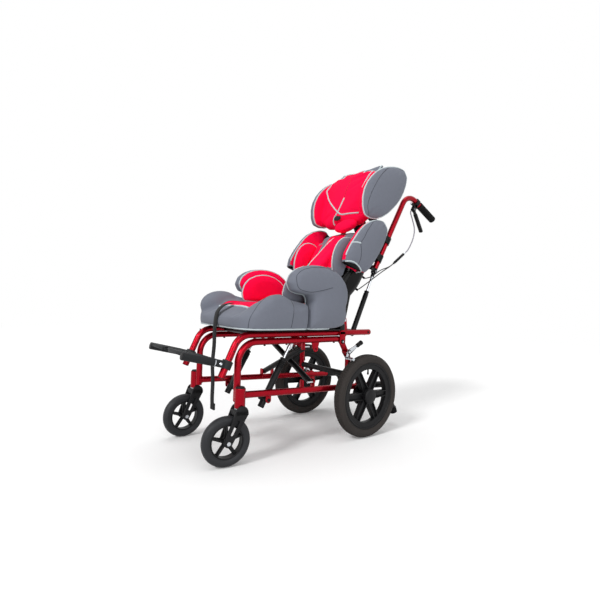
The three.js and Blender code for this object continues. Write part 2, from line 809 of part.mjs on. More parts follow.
// A welded side frame with its caster barrel, axle plate, stub axle and pivot pins.
function sideFrame() {
  const x = baseHalfWidth;
  const loop = bentTube(
    [
      vec(x, frontTubeY, frontTubeFootZ),
      vec(x, frontTubeY, upperRailZ),
      vec(x, upperRailRearY, upperRailZ),
      vec(x, uprightY, uprightTopZ),
      vec(x, uprightY, lowerRailZ(uprightY)),
    ],
    [frontBendRadius, rearBendRadius, rearBendRadius],
    tubeRadius,
  );
  const railFront = vec(x, frontTubeY, lowerRailFrontZ);
  const lowerRail = rod(railFront, vec(x, lowerRailRearY, lowerRailRearZ), tubeRadius, tubeSides);
  const barrel = turnedZ(
    [
      [stemRadius + running, barrelBottomZ],
      [barrelRadius, barrelBottomZ],
      [barrelRadius, barrelTopZ],
      [stemRadius + running, barrelTopZ],
    ],
    rodSides,
  ).translate(barrelX, barrelY, 0);
  const stemBore = turnedZ(
    [
      [0, barrelBottomZ - overrun],
      [stemRadius + running, barrelBottomZ - overrun],
      [stemRadius + running, barrelTopZ + overrun],
      [0, barrelTopZ + overrun],
    ],
    rodSides,
  ).translate(barrelX, barrelY, 0);
  const gussetHalf = tubeRadius / 2;
  const gussetTop = barrelTopZ - capHeight;
  const gusset = box(x, barrelX, barrelY - gussetHalf, barrelY + gussetHalf, frontTubeFootZ, gussetTop);
  const plateTop = lowerRailZ(axleY);
  const axlePlate = sidePlate(
    linkShape([axleY, plateTop, axlePlateRadius], [axleY, wheelRadius, axlePlateRadius - fit]),
    x - axlePlateThickness / 2,
    axlePlateThickness,
  );
  const axle = crossPin(x, hubOuterX - fit, axleY, wheelRadius, axleRadius);
  const tiltPin = crossPin(x, pivotHeadX(), tiltPivotY, tiltPivotZ, tiltPinRadius);
  const headX = pivotHeadX();
  const tiltHead = crossPin(headX - tiltHeadThickness, headX, tiltPivotY, tiltPivotZ, tiltHeadRadius);
  const strutLug = sidePlate(
    linkShape(
      [tiltStrutFootY, lowerRailZ(tiltStrutFootY), tiltTrunnionRadius],
      [tiltStrutFootY, tiltStrutFootZ, tiltTrunnionRadius + fit],
    ),
    x - axlePlateThickness / 2,
    axlePlateThickness,
  );
  const strutPin = crossPin(strutPinTip(), x, tiltStrutFootY, tiltStrutFootZ, tiltTrunnionPinRadius);
  const lockPinTip = lockArmX + lockArmThickness + fit * 2 + tiltHeadThickness;
  const lockPin = crossPin(x, lockPinTip, lockPivotY, lockPivotZ, lockPinRadius);
  const lockBoss = crossPin(x, lockArmX - fit, lockPivotY, lockPivotZ, lockEyeRadius);
  const lockGusset = sidePlate(
    linkShape([lockPivotY, lockPivotZ, lockEyeRadius], [uprightY, uprightTopZ, tubeRadius]),
    x - axlePlateThickness / 2,
    axlePlateThickness,
  );
  const plates = [gusset, axlePlate, strutLug, lockGusset, ...braceLugs()];
  const pins = [axle, tiltPin, tiltHead, strutPin, lockPin, lockBoss];
  return cut(join(loop, lowerRail, barrel, ...plates, ...pins), stemBore);
}

// Places of the pivot pin heads, outboard of the plates that turn on them.
function pivotHeadX() {
  return baseHalfWidth + tubeRadius + fit * 2 + tiltPlateThickness + tiltHeadThickness;
}

function strutPinTip() {
  return tiltTrunnionReach - tiltTrunnionBite;
}

// Lugs on the rails that hold the ends of the brace tubes.
function braceLugs() {
  const lug = (y, railZ, endZ) => {
    const shape = new THREE.Shape();
    const reach = baseHalfWidth - braceReach + braceLugRadius;
    const low = Math.min(railZ, endZ - braceLugRadius);
    const high = Math.max(railZ, endZ + braceLugRadius);
    shape.moveTo(-reach, low);
    shape.lineTo(0, low);
    shape.lineTo(0, high);
    shape.lineTo(-reach, high);
    const plate = new THREE.ExtrudeGeometry(shape, { depth: braceLugThickness, bevelEnabled: false });
    const axes = new THREE.Matrix4().makeBasis(vec(1, 0, 0), vec(0, 0, 1), vec(0, -1, 0));
    return plate.applyMatrix4(axes).translate(baseHalfWidth, y, 0);
  };
  const outer = braceTubeRadius + fit;
  const front = braceY - outer;
  const rear = braceY + bracePitch + outer + braceLugThickness;
  const foot = (y) => lowerRailZ(y);
  return [
    lug(front, upperRailZ, braceTopZ),
    lug(rear, upperRailZ, braceTopZ),
    lug(front, foot(front), braceFootZ),
    lug(rear, foot(rear), braceFootZ),
  ];
}

addPair(base, "side_frame", sideFrame, "red");

// The two brace tubes cross side by side and are bolted at the middle.
function braceBar(sign, y, boltFrom, boltTo) {
  const from = vec(sign * braceFrom.x, y, braceFrom.z);
  const to = vec(sign * braceTo.x, y, braceTo.z);
  const bar = rod(from, to, braceTubeRadius, tubeSides);
  const middleZ = (braceTopZ + braceFootZ) / 2;
  const bolt = rod(vec(0, boltFrom, middleZ), vec(0, boltTo, middleZ), braceBoltRadius);
  return { bar, bolt };
}

const braceRearY = braceY + bracePitch;
const frontBar = braceBar(1, braceY, braceY, braceRearY + braceTubeRadius + capHeight);
const rearBar = braceBar(-1, braceRearY, braceY, braceRearY);
const middleZ = (braceTopZ + braceFootZ) / 2;
const boltHole = rod(
  vec(0, braceY - braceTubeRadius, middleZ),
  vec(0, braceRearY + braceTubeRadius + overrun, middleZ),
  braceBoltRadius + fit,
);
addPiece(base, "brace_bar_front", join(frontBar.bar, frontBar.bolt), "blackTube");
addPiece(base, "brace_bar_rear", cut(rearBar.bar, boltHole), "blackTube");

// Black tube between the uprights.
const rearTubeReach = baseHalfWidth - tubeRadius - fit;
const rearTube = crossPin(-rearTubeReach, rearTubeReach, uprightY, rearTubeZ, rearTubeRadius);
addPiece(base, "rear_cross_tube", rearTube, "blackTube");

// Tipping lever: a bent tube that continues the lower rail down to a rubber foot.
function tipLever() {
  const start = lowerRailRearY + fit;
  const corners = [[start, lowerRailRearZ], [tipBendY, tipBendZ], [tipEndY, tipEndZ]];
  const tube = bentTube(corners.map(([y, z]) => vec(baseHalfWidth, y, z)), [tipBendRadius], tipTubeRadius);
  const fall = vec(0, tipEndY - tipBendY, tipEndZ - tipBendZ).normalize();
  const capStart = vec(baseHalfWidth, tipEndY, tipEndZ).addScaledVector(fall, -tipCapLength / 2);
  const capEnd = capStart.clone().addScaledVector(fall, tipCapLength);
  return join(tube, rod(capStart, capEnd, tipCapRadius, rodSides));
}

addPair(base, "tip_lever", tipLever, "black");

// Drum brake housing round the stub axle, with the arm that its cable pulls.
function drumBrake() {
  const bore = axleRadius + fit;
  const housing = turnedX(
    [
      [bore, drumInnerX],
      [drumRadius - drumLip, drumInnerX],
      [drumRadius, drumInnerX + drumLip],
      [drumRadius, drumOuterX],
      [bore, drumOuterX],
    ],
    casterSides,
  ).translate(0, axleY, wheelRadius);
  const armTop = wheelRadius + drumRadius + brakeArmLength / 2;
  const armFoot = [axleY, wheelRadius + drumRadius / 2, brakeArmRadius * 2];
  const armEnd = [axleY - brakeArmLength / 2, armTop, brakeArmRadius];
  const arm = sidePlate(linkShape(armFoot, armEnd), drumInnerX, brakeArmThickness);
  return join(housing, arm);
}

addPair(base, "drum_brake", drumBrake, "black");

// Wheel lock lever: a flat arm on its pivot, a shoe bar over the tyre and a knob.
function lockLever() {
  const bore = lockPinRadius + running;
  const toShoe = sidePlate(
    linkShape([lockPivotY, lockPivotZ, lockEyeRadius], [lockShoeY, lockShoeZ, lockShoeRadius]),
    lockArmX,
    lockArmThickness,
  );
  const toKnob = sidePlate(
    linkShape([lockPivotY, lockPivotZ, lockEyeRadius], [lockKnobY, lockKnobZ, lockShoeRadius]),
    lockArmX,
    lockArmThickness,
  );
  const shoe = crossPin(lockArmX, lockArmX + lockShoeLength, lockShoeY, lockShoeZ, lockShoeRadius);
  const reach = vec(0, lockKnobY - lockPivotY, lockKnobZ - lockPivotZ).normalize();
  const knobStart = vec(lockArmX + lockArmThickness / 2, lockKnobY, lockKnobZ);
  const knob = rod(knobStart, knobStart.clone().addScaledVector(reach, lockKnobLength), lockKnobRadius);
  const holeEnd = lockArmX + lockArmThickness + overrun;
  const hole = crossPin(lockArmX - overrun, holeEnd, lockPivotY, lockPivotZ, bore);
  return cut(join(toShoe, toKnob, shoe, knob), hole);
}

addPair(base, "wheel_lock", lockLever, "black");

// Caster fork: stem, crown and two raked legs, each with a long slot, and the wheel's axle.
function forkBody() {
  const top = barrelBottomZ - fit;
  const crownTop = top - forkWasherHeight;
  const crownBottom = crownTop - forkCrownHeight;
  const halfWidth = forkGap / 2 + forkLegThickness;
  const stem = turnedZ(
    [
      [0, crownBottom + fit],
      [stemRadius, crownBottom + fit],
      [stemRadius, barrelTopZ + fit],
      [capRadius, barrelTopZ + fit],
      [capRadius - capHeight / 2, barrelTopZ + capHeight],
      [0, barrelTopZ + capHeight],
    ],
    rodSides,
  );
  const washer = turnedZ(
    [
      [0, crownTop - fit],
      [barrelRadius, crownTop - fit],
      [barrelRadius, top],
      [0, top],
    ],
    rodSides,
  );
  const crownShape = new THREE.Shape();
  crownShape.moveTo(-forkDepth / 2, crownBottom);
  crownShape.lineTo(forkDepth / 2, crownBottom);
  const crownRadius = forkCrownHeight / 2;
  const cornerY = forkDepth / 2 - crownRadius;
  crownShape.absarc(cornerY, crownTop - crownRadius, crownRadius, 0, Math.PI / 2);
  crownShape.absarc(-cornerY, crownTop - crownRadius, crownRadius, Math.PI / 2, Math.PI);
  const crown = sidePlate(crownShape, -halfWidth, halfWidth * 2);
  const legTop = crownBottom + forkCrownHeight / 2;
  const topRadius = forkDepth / 2 - fit;
  const legShape = linkShape([0, legTop, topRadius], [-casterTrail, casterRadius, forkEyeRadius]);
  const leg = (x0) => sidePlate(legShape, x0, forkLegThickness);
  const along = (share) => [-casterTrail * share, legTop + (casterRadius - legTop) * share];
  const [slotStart, slotEnd] = forkSlotShares.map(along);
  const slot = sidePlate(
    linkShape([...slotStart, forkSlotRadius], [...slotEnd, forkSlotRadius - fit]),
    -halfWidth - overrun,
    halfWidth * 2 + overrun * 2,
  );
  const tyreRoom = box(-forkGap / 2, forkGap / 2, -casterTrail - casterRadius, forkDepth, 0, crownBottom);
  const legs = join(leg(-halfWidth), leg(halfWidth - forkLegThickness));
  const axle = crossPin(-halfWidth, halfWidth, -casterTrail, casterRadius, casterAxleRadius);
  return join(cut(join(stem, washer, crown, legs), slot, tyreRoom), axle);
}

// A tyre about its own centre, from shares of its depth under the tread and of its half width.
function tyreOf(radius, depth, width, sectionShares, facets) {
  const half = sectionShares.map(([down, across]) => [radius - depth * down, (width / 2) * across]);
  return turnedX([...half.map(([r, across]) => [r, -across]), ...half.reverse()], facets);
}

const casterTyreShares = [[1, 0.8], [0.45, 1], [0.12, 0.72], [0, 0.25]];
const casterTyre = () =>
  tyreOf(casterRadius, casterTyreDepth, casterTyreWidth, casterTyreShares, casterSides);

const casterRimShare = 0.4; // half width of the rim, of the tyre's width

function casterRim() {
  const outer = casterRadius - casterTyreDepth - fit;
  const inner = outer - casterRimThickness;
  const w = casterTyreWidth * casterRimShare;
  const band = turnedX([[inner, -w], [outer, -w], [outer, w], [inner, w]], casterSides);
  const hubHalf = forkGap / 2 - fit * 2;
  const hub = crossPin(-hubHalf, hubHalf, 0, 0, casterHubRadius);
  const spokes = [];
  for (let i = 0; i < casterSpokeCount; i += 1) {
    const spoke = box(
      -casterSpokeDepth / 2,
      casterSpokeDepth / 2,
      -casterSpokeThickness / 2,
      casterSpokeThickness / 2,
      0,
      outer - casterRimThickness / 2,
    );
    spokes.push(spoke.rotateX((2 * Math.PI * i) / casterSpokeCount));
  }
  const bore = crossPin(-hubHalf - overrun, hubHalf + overrun, 0, 0, casterAxleRadius + running);
  return cut(join(band, hub, ...spokes), bore);
}

const casterTurns = { left: casterTurnLeftDeg, right: casterTurnRightDeg };
for (const [side, sign] of sides) {
  const caster = new THREE.Group();
  caster.position.set(sign * barrelX, barrelY, 0);
  caster.rotation.z = casterTurns[side] * deg;
  const wheel = new THREE.Group();
  wheel.position.set(0, -casterTrail, casterRadius);
  caster.add(wheel);
  base.add(caster);
  addPiece(caster, `caster_fork_${side}`, forkBody(), "black");
  addPiece(wheel, `caster_tyre_${side}`, casterTyre(), "casterTyre");
  addPiece(wheel, `caster_rim_${side}`, casterRim(), "black");
}

// Rear tyre: a pneumatic section with rounded shoulders.
const rearTyreShares = [[1, 0.66], [0.42, 1], [0.14, 0.72], [0, 0.28]];
const rearTyre = () => tyreOf(wheelRadius, tyreDepth, tyreWidth, rearTyreShares, wheelSides);

const rimLipShares = [0.3, 0.7]; // of the band's depth and of its half width
const spokeRootShare = 0.6; // of the hub's radius

// Rear rim: band, capped hub and six tapered spokes, each a web between two ribs.
function rearRim() {
  const outer = wheelRadius - tyreDepth - fit;
  const inner = outer - rimBand;
  const w = rimWidth / 2;
  const [depthShare, flare] = rimLipShares;
  const lip = inner + rimBand * depthShare;
  const band = turnedX(
    [
      [inner, -w * flare],
      [lip, -w],
      [outer, -w],
      [outer, w],
      [lip, w],
      [inner, w * flare],
    ],
    wheelSides,
  );
  const hubFrom = hubInnerX - halfTrack;
  const hubTo = hubOuterX - halfTrack;
  const hub = turnedX([[0, hubFrom], [hubRadius, hubFrom], [hubRadius, hubTo], [0, hubTo]], rodSides);
  const spokes = [];
  const from = hubRadius * spokeRootShare;
  const to = lip;
  const strip = (rootLeft, rootRight, tipLeft, tipRight, depth) => {
    const shape = new THREE.Shape();
    shape.moveTo(rootLeft, from);
    shape.lineTo(rootRight, from);
    shape.lineTo(tipRight, to);
    shape.lineTo(tipLeft, to);
    return sidePlate(shape, -depth / 2, depth);
  };
  const root = spokeRootWidth / 2;
  const tip = spokeTipWidth / 2;
  for (let i = 0; i < spokeCount; i += 1) {
    const turn = (2 * Math.PI * (i + 1 / 2)) / spokeCount;
    const web = strip(-root, root, -tip, tip, spokeWeb);
    const ribLeft = strip(-root, -root + spokeRib, -tip, -tip + spokeRib, spokeDepth);
    const ribRight = strip(root - spokeRib, root, tip - spokeRib, tip, spokeDepth);
    spokes.push(web.rotateX(turn), ribLeft.rotateX(turn), ribRight.rotateX(turn));
  }
  const face = hubCapFaceX - halfTrack;
  const cap = turnedX(
    [
      [0, hubTo - fit],
      [hubCapRadius, hubTo - fit],
      [hubCapRadius, face - hubCapWall * 2],
      [hubCapRadius - hubCapWall * 2, face - hubCapWall / 2],
      [hubCapRadius / 2, face],
      [0, face],
    ],
    casterSides,
  );
  const bore = crossPin(hubFrom - overrun, hubTo, 0, 0, axleRadius + running);
  return cut(join(band, hub, cap, ...spokes), bore);
}

for (const [side, sign] of sides) {
  const wheel = new THREE.Group();
  wheel.position.set(sign * halfTrack, axleY, wheelRadius);
  base.add(wheel);
  const handed = (body) => (sign > 0 ? asSolid(body) : asSolid(body).mirror([1, 0, 0]));
  addPiece(wheel, `rear_tyre_${side}`, handed(rearTyre()), "tyre");
  addPiece(wheel, `rear_rim_${side}`, handed(rearRim()), "black");
}

// Seat rail with its raked hanger, tilt plate and recline hinge plate.
function seatRail() {
  const x = seatHalfWidth;
  const tube = bentTube(
    [vec(x, hangerFootY, hangerFootZ), vec(x, hangerCornerY, seatRailZ), vec(x, seatRailRearY, seatRailZ)],
    [hangerBendRadius],
    tubeRadius,
  );
  const plateX = baseHalfWidth + tubeRadius + fit;
  const plateTop = [tiltPivotY, seatRailZ, tiltPlateRadius - fit];
  const plateShape = linkShape([tiltPivotY, tiltPivotZ, tiltPlateRadius], plateTop);
  const plate = sidePlate(plateShape, plateX, tiltPlateThickness);
  const spacer = box(
    x,
    plateX + tiltPlateThickness,
    tiltPivotY - tiltPlateWidth / 2,
    tiltPivotY + tiltPlateWidth / 2,
    seatRailZ - tubeRadius / 2,
    seatRailZ + tubeRadius / 2,
  );
  const hingeFoot = [reclinePivotY, seatRailZ, hingePlateFoot / 2];
  const hingeShape = linkShape([reclinePivotY, reclinePivotZ, hingePlateRadius], hingeFoot);
  const hinge = sidePlate(hingeShape, x - hingePlateThickness / 2, hingePlateThickness);
  const pinFrom = strutHalfWidth - strutEyeWidth;
  const strutPin = crossPin(pinFrom, x, tiltStrutHeadY, tiltStrutHeadZ, strutPinRadius);
  const footPin = crossPin(pinFrom, x, reclineStrutFootY, reclineStrutFootZ, strutPinRadius);
  const holeRadius = tiltPinRadius + running;
  const tiltHole = crossPin(plateX - overrun, plateX + overrun * 2, tiltPivotY, tiltPivotZ, holeRadius);
  const hingeBore = hingePinRadius + running;
  const hingeHole = crossPin(x - overrun, x + overrun, reclinePivotY, reclinePivotZ, hingeBore);
  return cut(join(tube, plate, spacer, hinge, strutPin, footPin), tiltHole, hingeHole);
}

addPair(seat, "seat_rail", seatRail, "red");

const seatBarReach = seatHalfWidth - tubeRadius - fit;
const seatBar = (y, z) => crossPin(-seatBarReach, seatBarReach, y, z, crossBarRadius);
addPiece(seat, "seat_cross_bar_front", seatBar(frontCrossBarY, seatRailZ), "blackTube");
addPiece(seat, "seat_cross_bar_rear", seatBar(rearCrossBarY, seatRailZ - rearCrossBarDrop), "blackTube");

// Place on the hanger's centre line at a given length above its foot.
const hangerAxis = vec(0, hangerCornerY - hangerFootY, seatRailZ - hangerFootZ).normalize();
function onHanger(length) {
  return vec(seatHalfWidth, hangerFootY, hangerFootZ).addScaledVector(hangerAxis, length);
}

const footForward = vec(0, -Math.cos(footPitchDeg * deg), Math.sin(footPitchDeg * deg));
const footUp = vec(0, Math.sin(footPitchDeg * deg), Math.cos(footPitchDeg * deg));
const clampCentre = onHanger(clampAlong);
const footBarBack = clampCentre.clone().addScaledVector(footForward, footBarStart);

// Clamp round the hanger, with the pin that the footplate's bar turns on.
function footClamp() {
  const half = hangerAxis.clone().multiplyScalar(clampLength / 2);
  const bottom = clampCentre.clone().sub(half);
  const top = clampCentre.clone().add(half);
  const ring = rod(bottom, top, clampRadius, rodSides);
  const arm = rod(clampCentre, footBarBack.clone().addScaledVector(footForward, -fit), footBarRadius);
  const pinTip = footBarBack.clone().addScaledVector(footForward, footPinReach);
  const pin = rod(clampCentre, pinTip, footBarPinRadius);
  const past = hangerAxis.clone().multiplyScalar(overrun);
  const bore = rod(bottom.clone().sub(past), top.clone().add(past), tubeRoom(tubeRadius), tubeSides);
  return cut(join(ring, arm, pin), bore);
}

addPair(seat, "foot_clamp", footClamp, "foot");

// Footplate: a round hinge bar, a thin plate inboard of it and ribs under the plate.
function footplate() {
  const barEnd = footBarBack.clone().addScaledVector(footForward, footBarLength);
  const bar = rod(footBarBack, barEnd, footBarRadius, rodSides);
  const at = (inboard, along, up) =>
    vec(-inboard, 0, 0).add(footBarBack).addScaledVector(footForward, along).addScaledVector(footUp, up);
  const slab = (in0, in1, along0, along1, up0, up1) => {
    const shape = new THREE.BoxGeometry(in1 - in0, along1 - along0, up1 - up0);
    const axes = new THREE.Matrix4().makeBasis(vec(-1, 0, 0), footForward, footUp);
    const middle = at((in0 + in1) / 2, (along0 + along1) / 2, (up0 + up1) / 2);
    return shape.applyMatrix4(axes).translate(middle.x, middle.y, middle.z);
  };
  const top = footBarRadius - fit;
  const plate = slab(0, footPlateWidth, 0, footBarLength, top - footPlateThickness, top);
  const ribs = [];
  for (let i = 0; i < footRibCount; i += 1) {
    const start = (footBarLength - footRibThickness) * (i / (footRibCount - 1));
    const foot = top - footPlateThickness - footRibHeight;
    const reach = footPlateWidth * footRibShare;
    ribs.push(slab(0, reach, start, start + footRibThickness, foot, top - footPlateThickness / 2));
  }
  const edge = slab(
    footPlateWidth - footRibThickness,
    footPlateWidth,
    0,
    footBarLength,
    top - footPlateThickness - footRibHeight / 2,
    top,
  );
  const bore = rod(
    footBarBack.clone().addScaledVector(footForward, -overrun),
    footBarBack.clone().addScaledVector(footForward, footPinReach + fit),
    footBarPinRadius + running,
  );
  return cut(join(bar, plate, ...ribs, edge), bore);
}

addPair(seat, "footplate", footplate, "foot");

// A gas spring stands along +Z of its own group, with its foot pivot at the origin.
function strutGroup(parent, sign, footY, footZ, headY, headZ) {
  const group = new THREE.Group();
  group.position.set(sign * strutHalfWidth, footY, footZ);
  group.rotation.x = Math.atan2(headZ - footZ, headY - footY) - Math.PI / 2;
  parent.add(group);
  return group;
}

function gasCylinder(radius, from, to, boreFrom) {
  const bore = strutRodRadius + boreMargin;
  const outside = [[0, from], [radius, from], [radius, to]];
  return turnedZ([...outside, [bore, to], [bore, boreFrom], [0, boreFrom]], rodSides);
}

// Rod with the eye that the head pin passes through with room to spare.
function gasRod(from, length) {
  const to = length - strutEyeBore - fit;
  const shaft = turnedZ([[0, from], [strutRodRadius, from], [strutRodRadius, to], [0, to]], rodSides);
  const eye = crossPin(-strutEyeWidth / 2, strutEyeWidth / 2, 0, length, strutEyeRadius, rodSides);
  const hole = crossPin(-strutEyeWidth, strutEyeWidth, 0, length, strutEyeBore, rodSides);
  return cut(join(shaft, eye), hole);
}

const backToWorld = new THREE.Matrix4().makeRotationX(-reclineDeg * deg);
backToWorld.setPosition(0, reclinePivotY, reclinePivotZ);
const strutHead = vec(0, strutHeadY, strutHeadZ).applyMatrix4(backToWorld);
const tiltStrutLength = Math.hypot(tiltStrutHeadY - tiltStrutFootY, tiltStrutHeadZ - tiltStrutFootZ);
const reclineStrutLength = Math.hypot(strutHead.y - reclineStrutFootY, strutHead.z - reclineStrutFootZ);

for (const [side, sign] of sides) {
  const tilt = strutGroup(seat, sign, tiltStrutFootY, tiltStrutFootZ, tiltStrutHeadY, tiltStrutHeadZ);
  const boreFrom = tiltTrunnionRadius + fit;
  const barrel = gasCylinder(tiltCylinderRadius, -tiltCylinderBelow, tiltCylinderAbove, boreFrom);
  const reach = sign * (tiltTrunnionReach - strutHalfWidth);
  const trunnion = crossPin(0, reach, 0, 0, tiltTrunnionRadius, rodSides);
  const roomFrom = sign * (strutPinTip() - strutHalfWidth - fit);
  const pinRoom = crossPin(roomFrom, reach + sign * overrun, 0, 0, tiltTrunnionPinRadius + running);
  addPiece(tilt, `tilt_cylinder_${side}`, cut(join(barrel, trunnion), pinRoom), "black");
  addPiece(tilt, `tilt_rod_${side}`, gasRod(tiltTrunnionRadius + strutEyeBore, tiltStrutLength), "chrome");

  const recline = strutGroup(seat, sign, reclineStrutFootY, reclineStrutFootZ, strutHead.y, strutHead.z);
  const tube = gasCylinder(reclineCylinderRadius, 0, reclineCylinderLength, reclineEyeRadius + fit);
  const eye = crossPin(-strutEyeWidth / 2, strutEyeWidth / 2, 0, 0, reclineEyeRadius, rodSides);
  const hole = crossPin(-strutEyeWidth * 2, strutEyeWidth * 2, 0, 0, strutPinRadius + running);
  addPiece(recline, `recline_cylinder_${side}`, cut(join(tube, eye), hole), "black");
  addPiece(recline, `recline_rod_${side}`, gasRod(reclineRodStart, reclineStrutLength), "chrome");
}

// Shallow moulded pan under the seat cushion, with a raised rear tray.
function seatPan() {
  const bottom = seatRailZ + tubeRadius + fit;
  const slab = (front, rear, low, high) => {
    const shape = new THREE.Shape();
    const r = panCorner;
    shape.moveTo(-panHalfWidth, front + r);
    shape.absarc(-panHalfWidth + r, front + r, r, Math.PI, 1.5 * Math.PI);
    shape.absarc(panHalfWidth - r, front + r, r, 1.5 * Math.PI, 2 * Math.PI);
    shape.absarc(panHalfWidth - r, rear - r, r, 0, Math.PI / 2);
    shape.absarc(-panHalfWidth + r, rear - r, r, Math.PI / 2, Math.PI);
    const options = { depth: high - low, bevelEnabled: false, curveSegments: arcSegments };
    return new THREE.ExtrudeGeometry(shape, options).translate(0, 0, low);
  };
  const floor = slab(panFrontY, panRearY, bottom, bottom + panFloor);
  const tray = slab(cushionRearY - panCorner * 2, panRearY, bottom, bottom + panRearHeight);
  const wellHalf = panHalfWidth + overrun;
  const wellTop = bottom + panRearHeight + overrun;
  const well = box(-wellHalf, wellHalf, panFrontY, cushionRearY + fit, bottom + panFloor, wellTop);
  return cut(join(floor, tray), well);
}

addPiece(seat, "seat_pan", seatPan(), "black");

const smooth = (t) => {
  const s = Math.min(Math.max(t, 0), 1);
  return s * s * (3 - 2 * s);
};

const noseRiseShare = 0.8; // of the way from the nose to the bolster's peak

// Height of the thigh bolster along the seat: it rises behind the nose and dips under the armrest.
function bolsterHeight(y) {
  const rise = smooth((y - cushionFrontY) / (bolsterPeakY - cushionFrontY));
  const fall = smooth((y - bolsterPeakY) / (bolsterDipY - bolsterPeakY));
  return seatNoseZ + (seatBolsterZ - seatNoseZ) * rise - (seatBolsterZ - seatDipZ) * fall;
}

function centreHeight(y) {
  const rise = smooth((y - cushionFrontY) / ((bolsterPeakY - cushionFrontY) * noseRiseShare));
  return seatNoseZ + (seatCentreZ - seatNoseZ) * rise;
}

function cushionHalfWidthAt(y) {
  const t = Math.min(Math.max((y - cushionFrontY) / (bolsterPeakY - cushionFrontY), 0), 1);
  const round = Math.sqrt(1 - (1 - t) * (1 - t));
  return cushionFrontHalfWidth + (cushionHalfWidth - cushionFrontHalfWidth) * round;
}

// One cross-section of the seat cushion: flat foot, drawn-in sides, bolsters and a sewn channel.
const cushionTopShares = [1, 0.985, 0.93, 0.84, 0.72, 0.6, 0.52, 0.46, 0.3, 0.12];
const cushionFootShares = [[0.5, 0], [0.94, 0], [0.975, 0.12], [0.995, 0.4]];
const cushionCrestShare = 0.55; // how far past the crest the bolster falls to the channel
const cushionShoulderShare = 0.25; // height kept at the channel, of the bolster's rise
const cushionRimShare = 0.72; // height of the outer rim, of the bolster's
const cushionRimEaseShare = 5; // how fast the rim rounds over
const cushionDipShare = 0.16; // half width of the sewn channel, of its place
function cushionRing(y, share, grow) {
  const w = cushionHalfWidthAt(y);
  const bolster = bolsterHeight(y);
  const centre = centreHeight(y);
  const heightAt = (x) => {
    const inward = (w - x) / (w - seatChannelX);
    if (x > seatChannelX) {
      const crest = Math.sin(Math.PI * Math.min(1 / 2 + inward * cushionCrestShare, 1));
      const edge = Math.sqrt(Math.max(1 - (1 - Math.min(inward * cushionRimEaseShare, 1)) ** 2, 0));
      const top = centre + (bolster - centre) * (cushionShoulderShare + (1 - cushionShoulderShare) * crest);
      return cushionBottomZ + (top - cushionBottomZ) * (cushionRimShare + (1 - cushionRimShare) * edge);
    }
    const dip = seatChannelDepth * Math.max(1 - (seatChannelX - x) / (seatChannelX * cushionDipShare), 0);
    return centre - dip;
  };
  const height = bolster - cushionBottomZ;
  const foot = cushionFootShares.map(([out, up]) => [w * out, cushionBottomZ + height * up]);
  const half = [...foot, ...cushionTopShares.map((out) => [w * out, heightAt(w * out)])];
  const mirrored = [...half].reverse().map(([x, z]) => [-x, z]);
  const middleZ = (cushionBottomZ + centre) / 2;
  return [...half, ...mirrored].map(([x, z]) => vec(x * share, y, middleZ + grow + (z - middleZ) * share));
}

// Shares of the length and of the section's size at each station of the cushion.
const cushionStationShares = [
  [0, 0.72], [0.012, 0.88], [0.04, 0.97], [0.09, 1], [0.16, 1], [0.24, 1], [0.31, 1],
  [0.38, 1], [0.46, 1], [0.54, 1], [0.7, 1], [0.86, 1], [0.96, 0.99], [1, 0.94],
];

function cushionBody(grow) {
  const length = cushionRearY - cushionFrontY;
  const ringAt = ([along, size]) => cushionRing(cushionFrontY + length * along, size, grow);
  return loft(cushionStationShares.map(ringAt));
}

function seatCushion() {
  const notch = (sign) => {
    const inner = armrestX - armrestHalfThickness - fit;
    const [x0, x1] = [sign * inner, sign * (cushionHalfWidth + overrun)].sort((a, b) => a - b);
    const [low, high] = [cushionBottomZ - overrun, seatBolsterZ + overrun];
    return box(x0, x1, armrestFrontY - armrestGap, cushionRearY + overrun, low, high);
  };
  return cut(cushionBody(0), notch(1), notch(-1));
}

addPiece(seat, "seat_cushion", seatCushion(), "greyCloth");

// Armrest: one padded hook that stands on the pan and reaches forward over the seat.
// Along, -1 is the hook's tip, 0 the foot's front and 1 its rear. Up, 1 is the hook's underside.
const armrestForm = {
  outlineShares: [
    [0.011, 0.008], [0.47, 0.003], [0.945, 0.138], [0.972, 0.626], [1, 1.11], [0.9, 1.523], [0.646, 1.853],
    [0.249, 2], [-0.241, 1.927], [-0.807, 1.697], [-1, 1.394], [-0.831, 1.138], [-0.349, 1.046],
    [0.061, 1], [0.017, 0.765], [0, 0.365],
  ],
  centreShares: [0.459, 1.229],
  count: 26,
};

function armrestAt([along, up]) {
  const reach = along < 0 ? armrestHookReach : armrestRearY - armrestFrontY;
  const stretch = up < 1 ? armrestHookZ - cushionBottomZ : armrestHookHeight;
  return [armrestFrontY + along * reach, armrestHookZ + (up - 1) * stretch];
}

function armrest() {
  const pad = padOf(armrestForm, armrestAt, armrestHalfThickness, onSide(armrestX));
  const under = box(
    armrestX - armrestHalfThickness * 2,
    armrestX + armrestHalfThickness * 2,
    armrestFrontY - overrun * 2,
    panRearY + overrun,
    cushionBottomZ - overrun * 2,
    cushionBottomZ,
  );
  const behind = box(
    armrestX - armrestHalfThickness * 2,
    panHalfWidth + overrun,
    cushionRearY - fit,
    panRearY + overrun,
    cushionBottomZ - overrun,
    seatRailZ + tubeRadius + panRearHeight + fit * 2,
  );
  return cut(pad, under, behind);
}

addPair(seat, "armrest", armrest, "greyCloth");

// Arched pads that stand at the occupant's hips.
const hipPadForm = {
  outlineShares: [
    [0.014, 0.1], [0.493, 0], [0.955, 0], [1, 0.353], [0.928, 0.655],
    [0.697, 0.941], [0.403, 1], [0.131, 0.84], [0, 0.504],
  ],
  centreShares: [0.493, 0.479],
  count: 18,
};

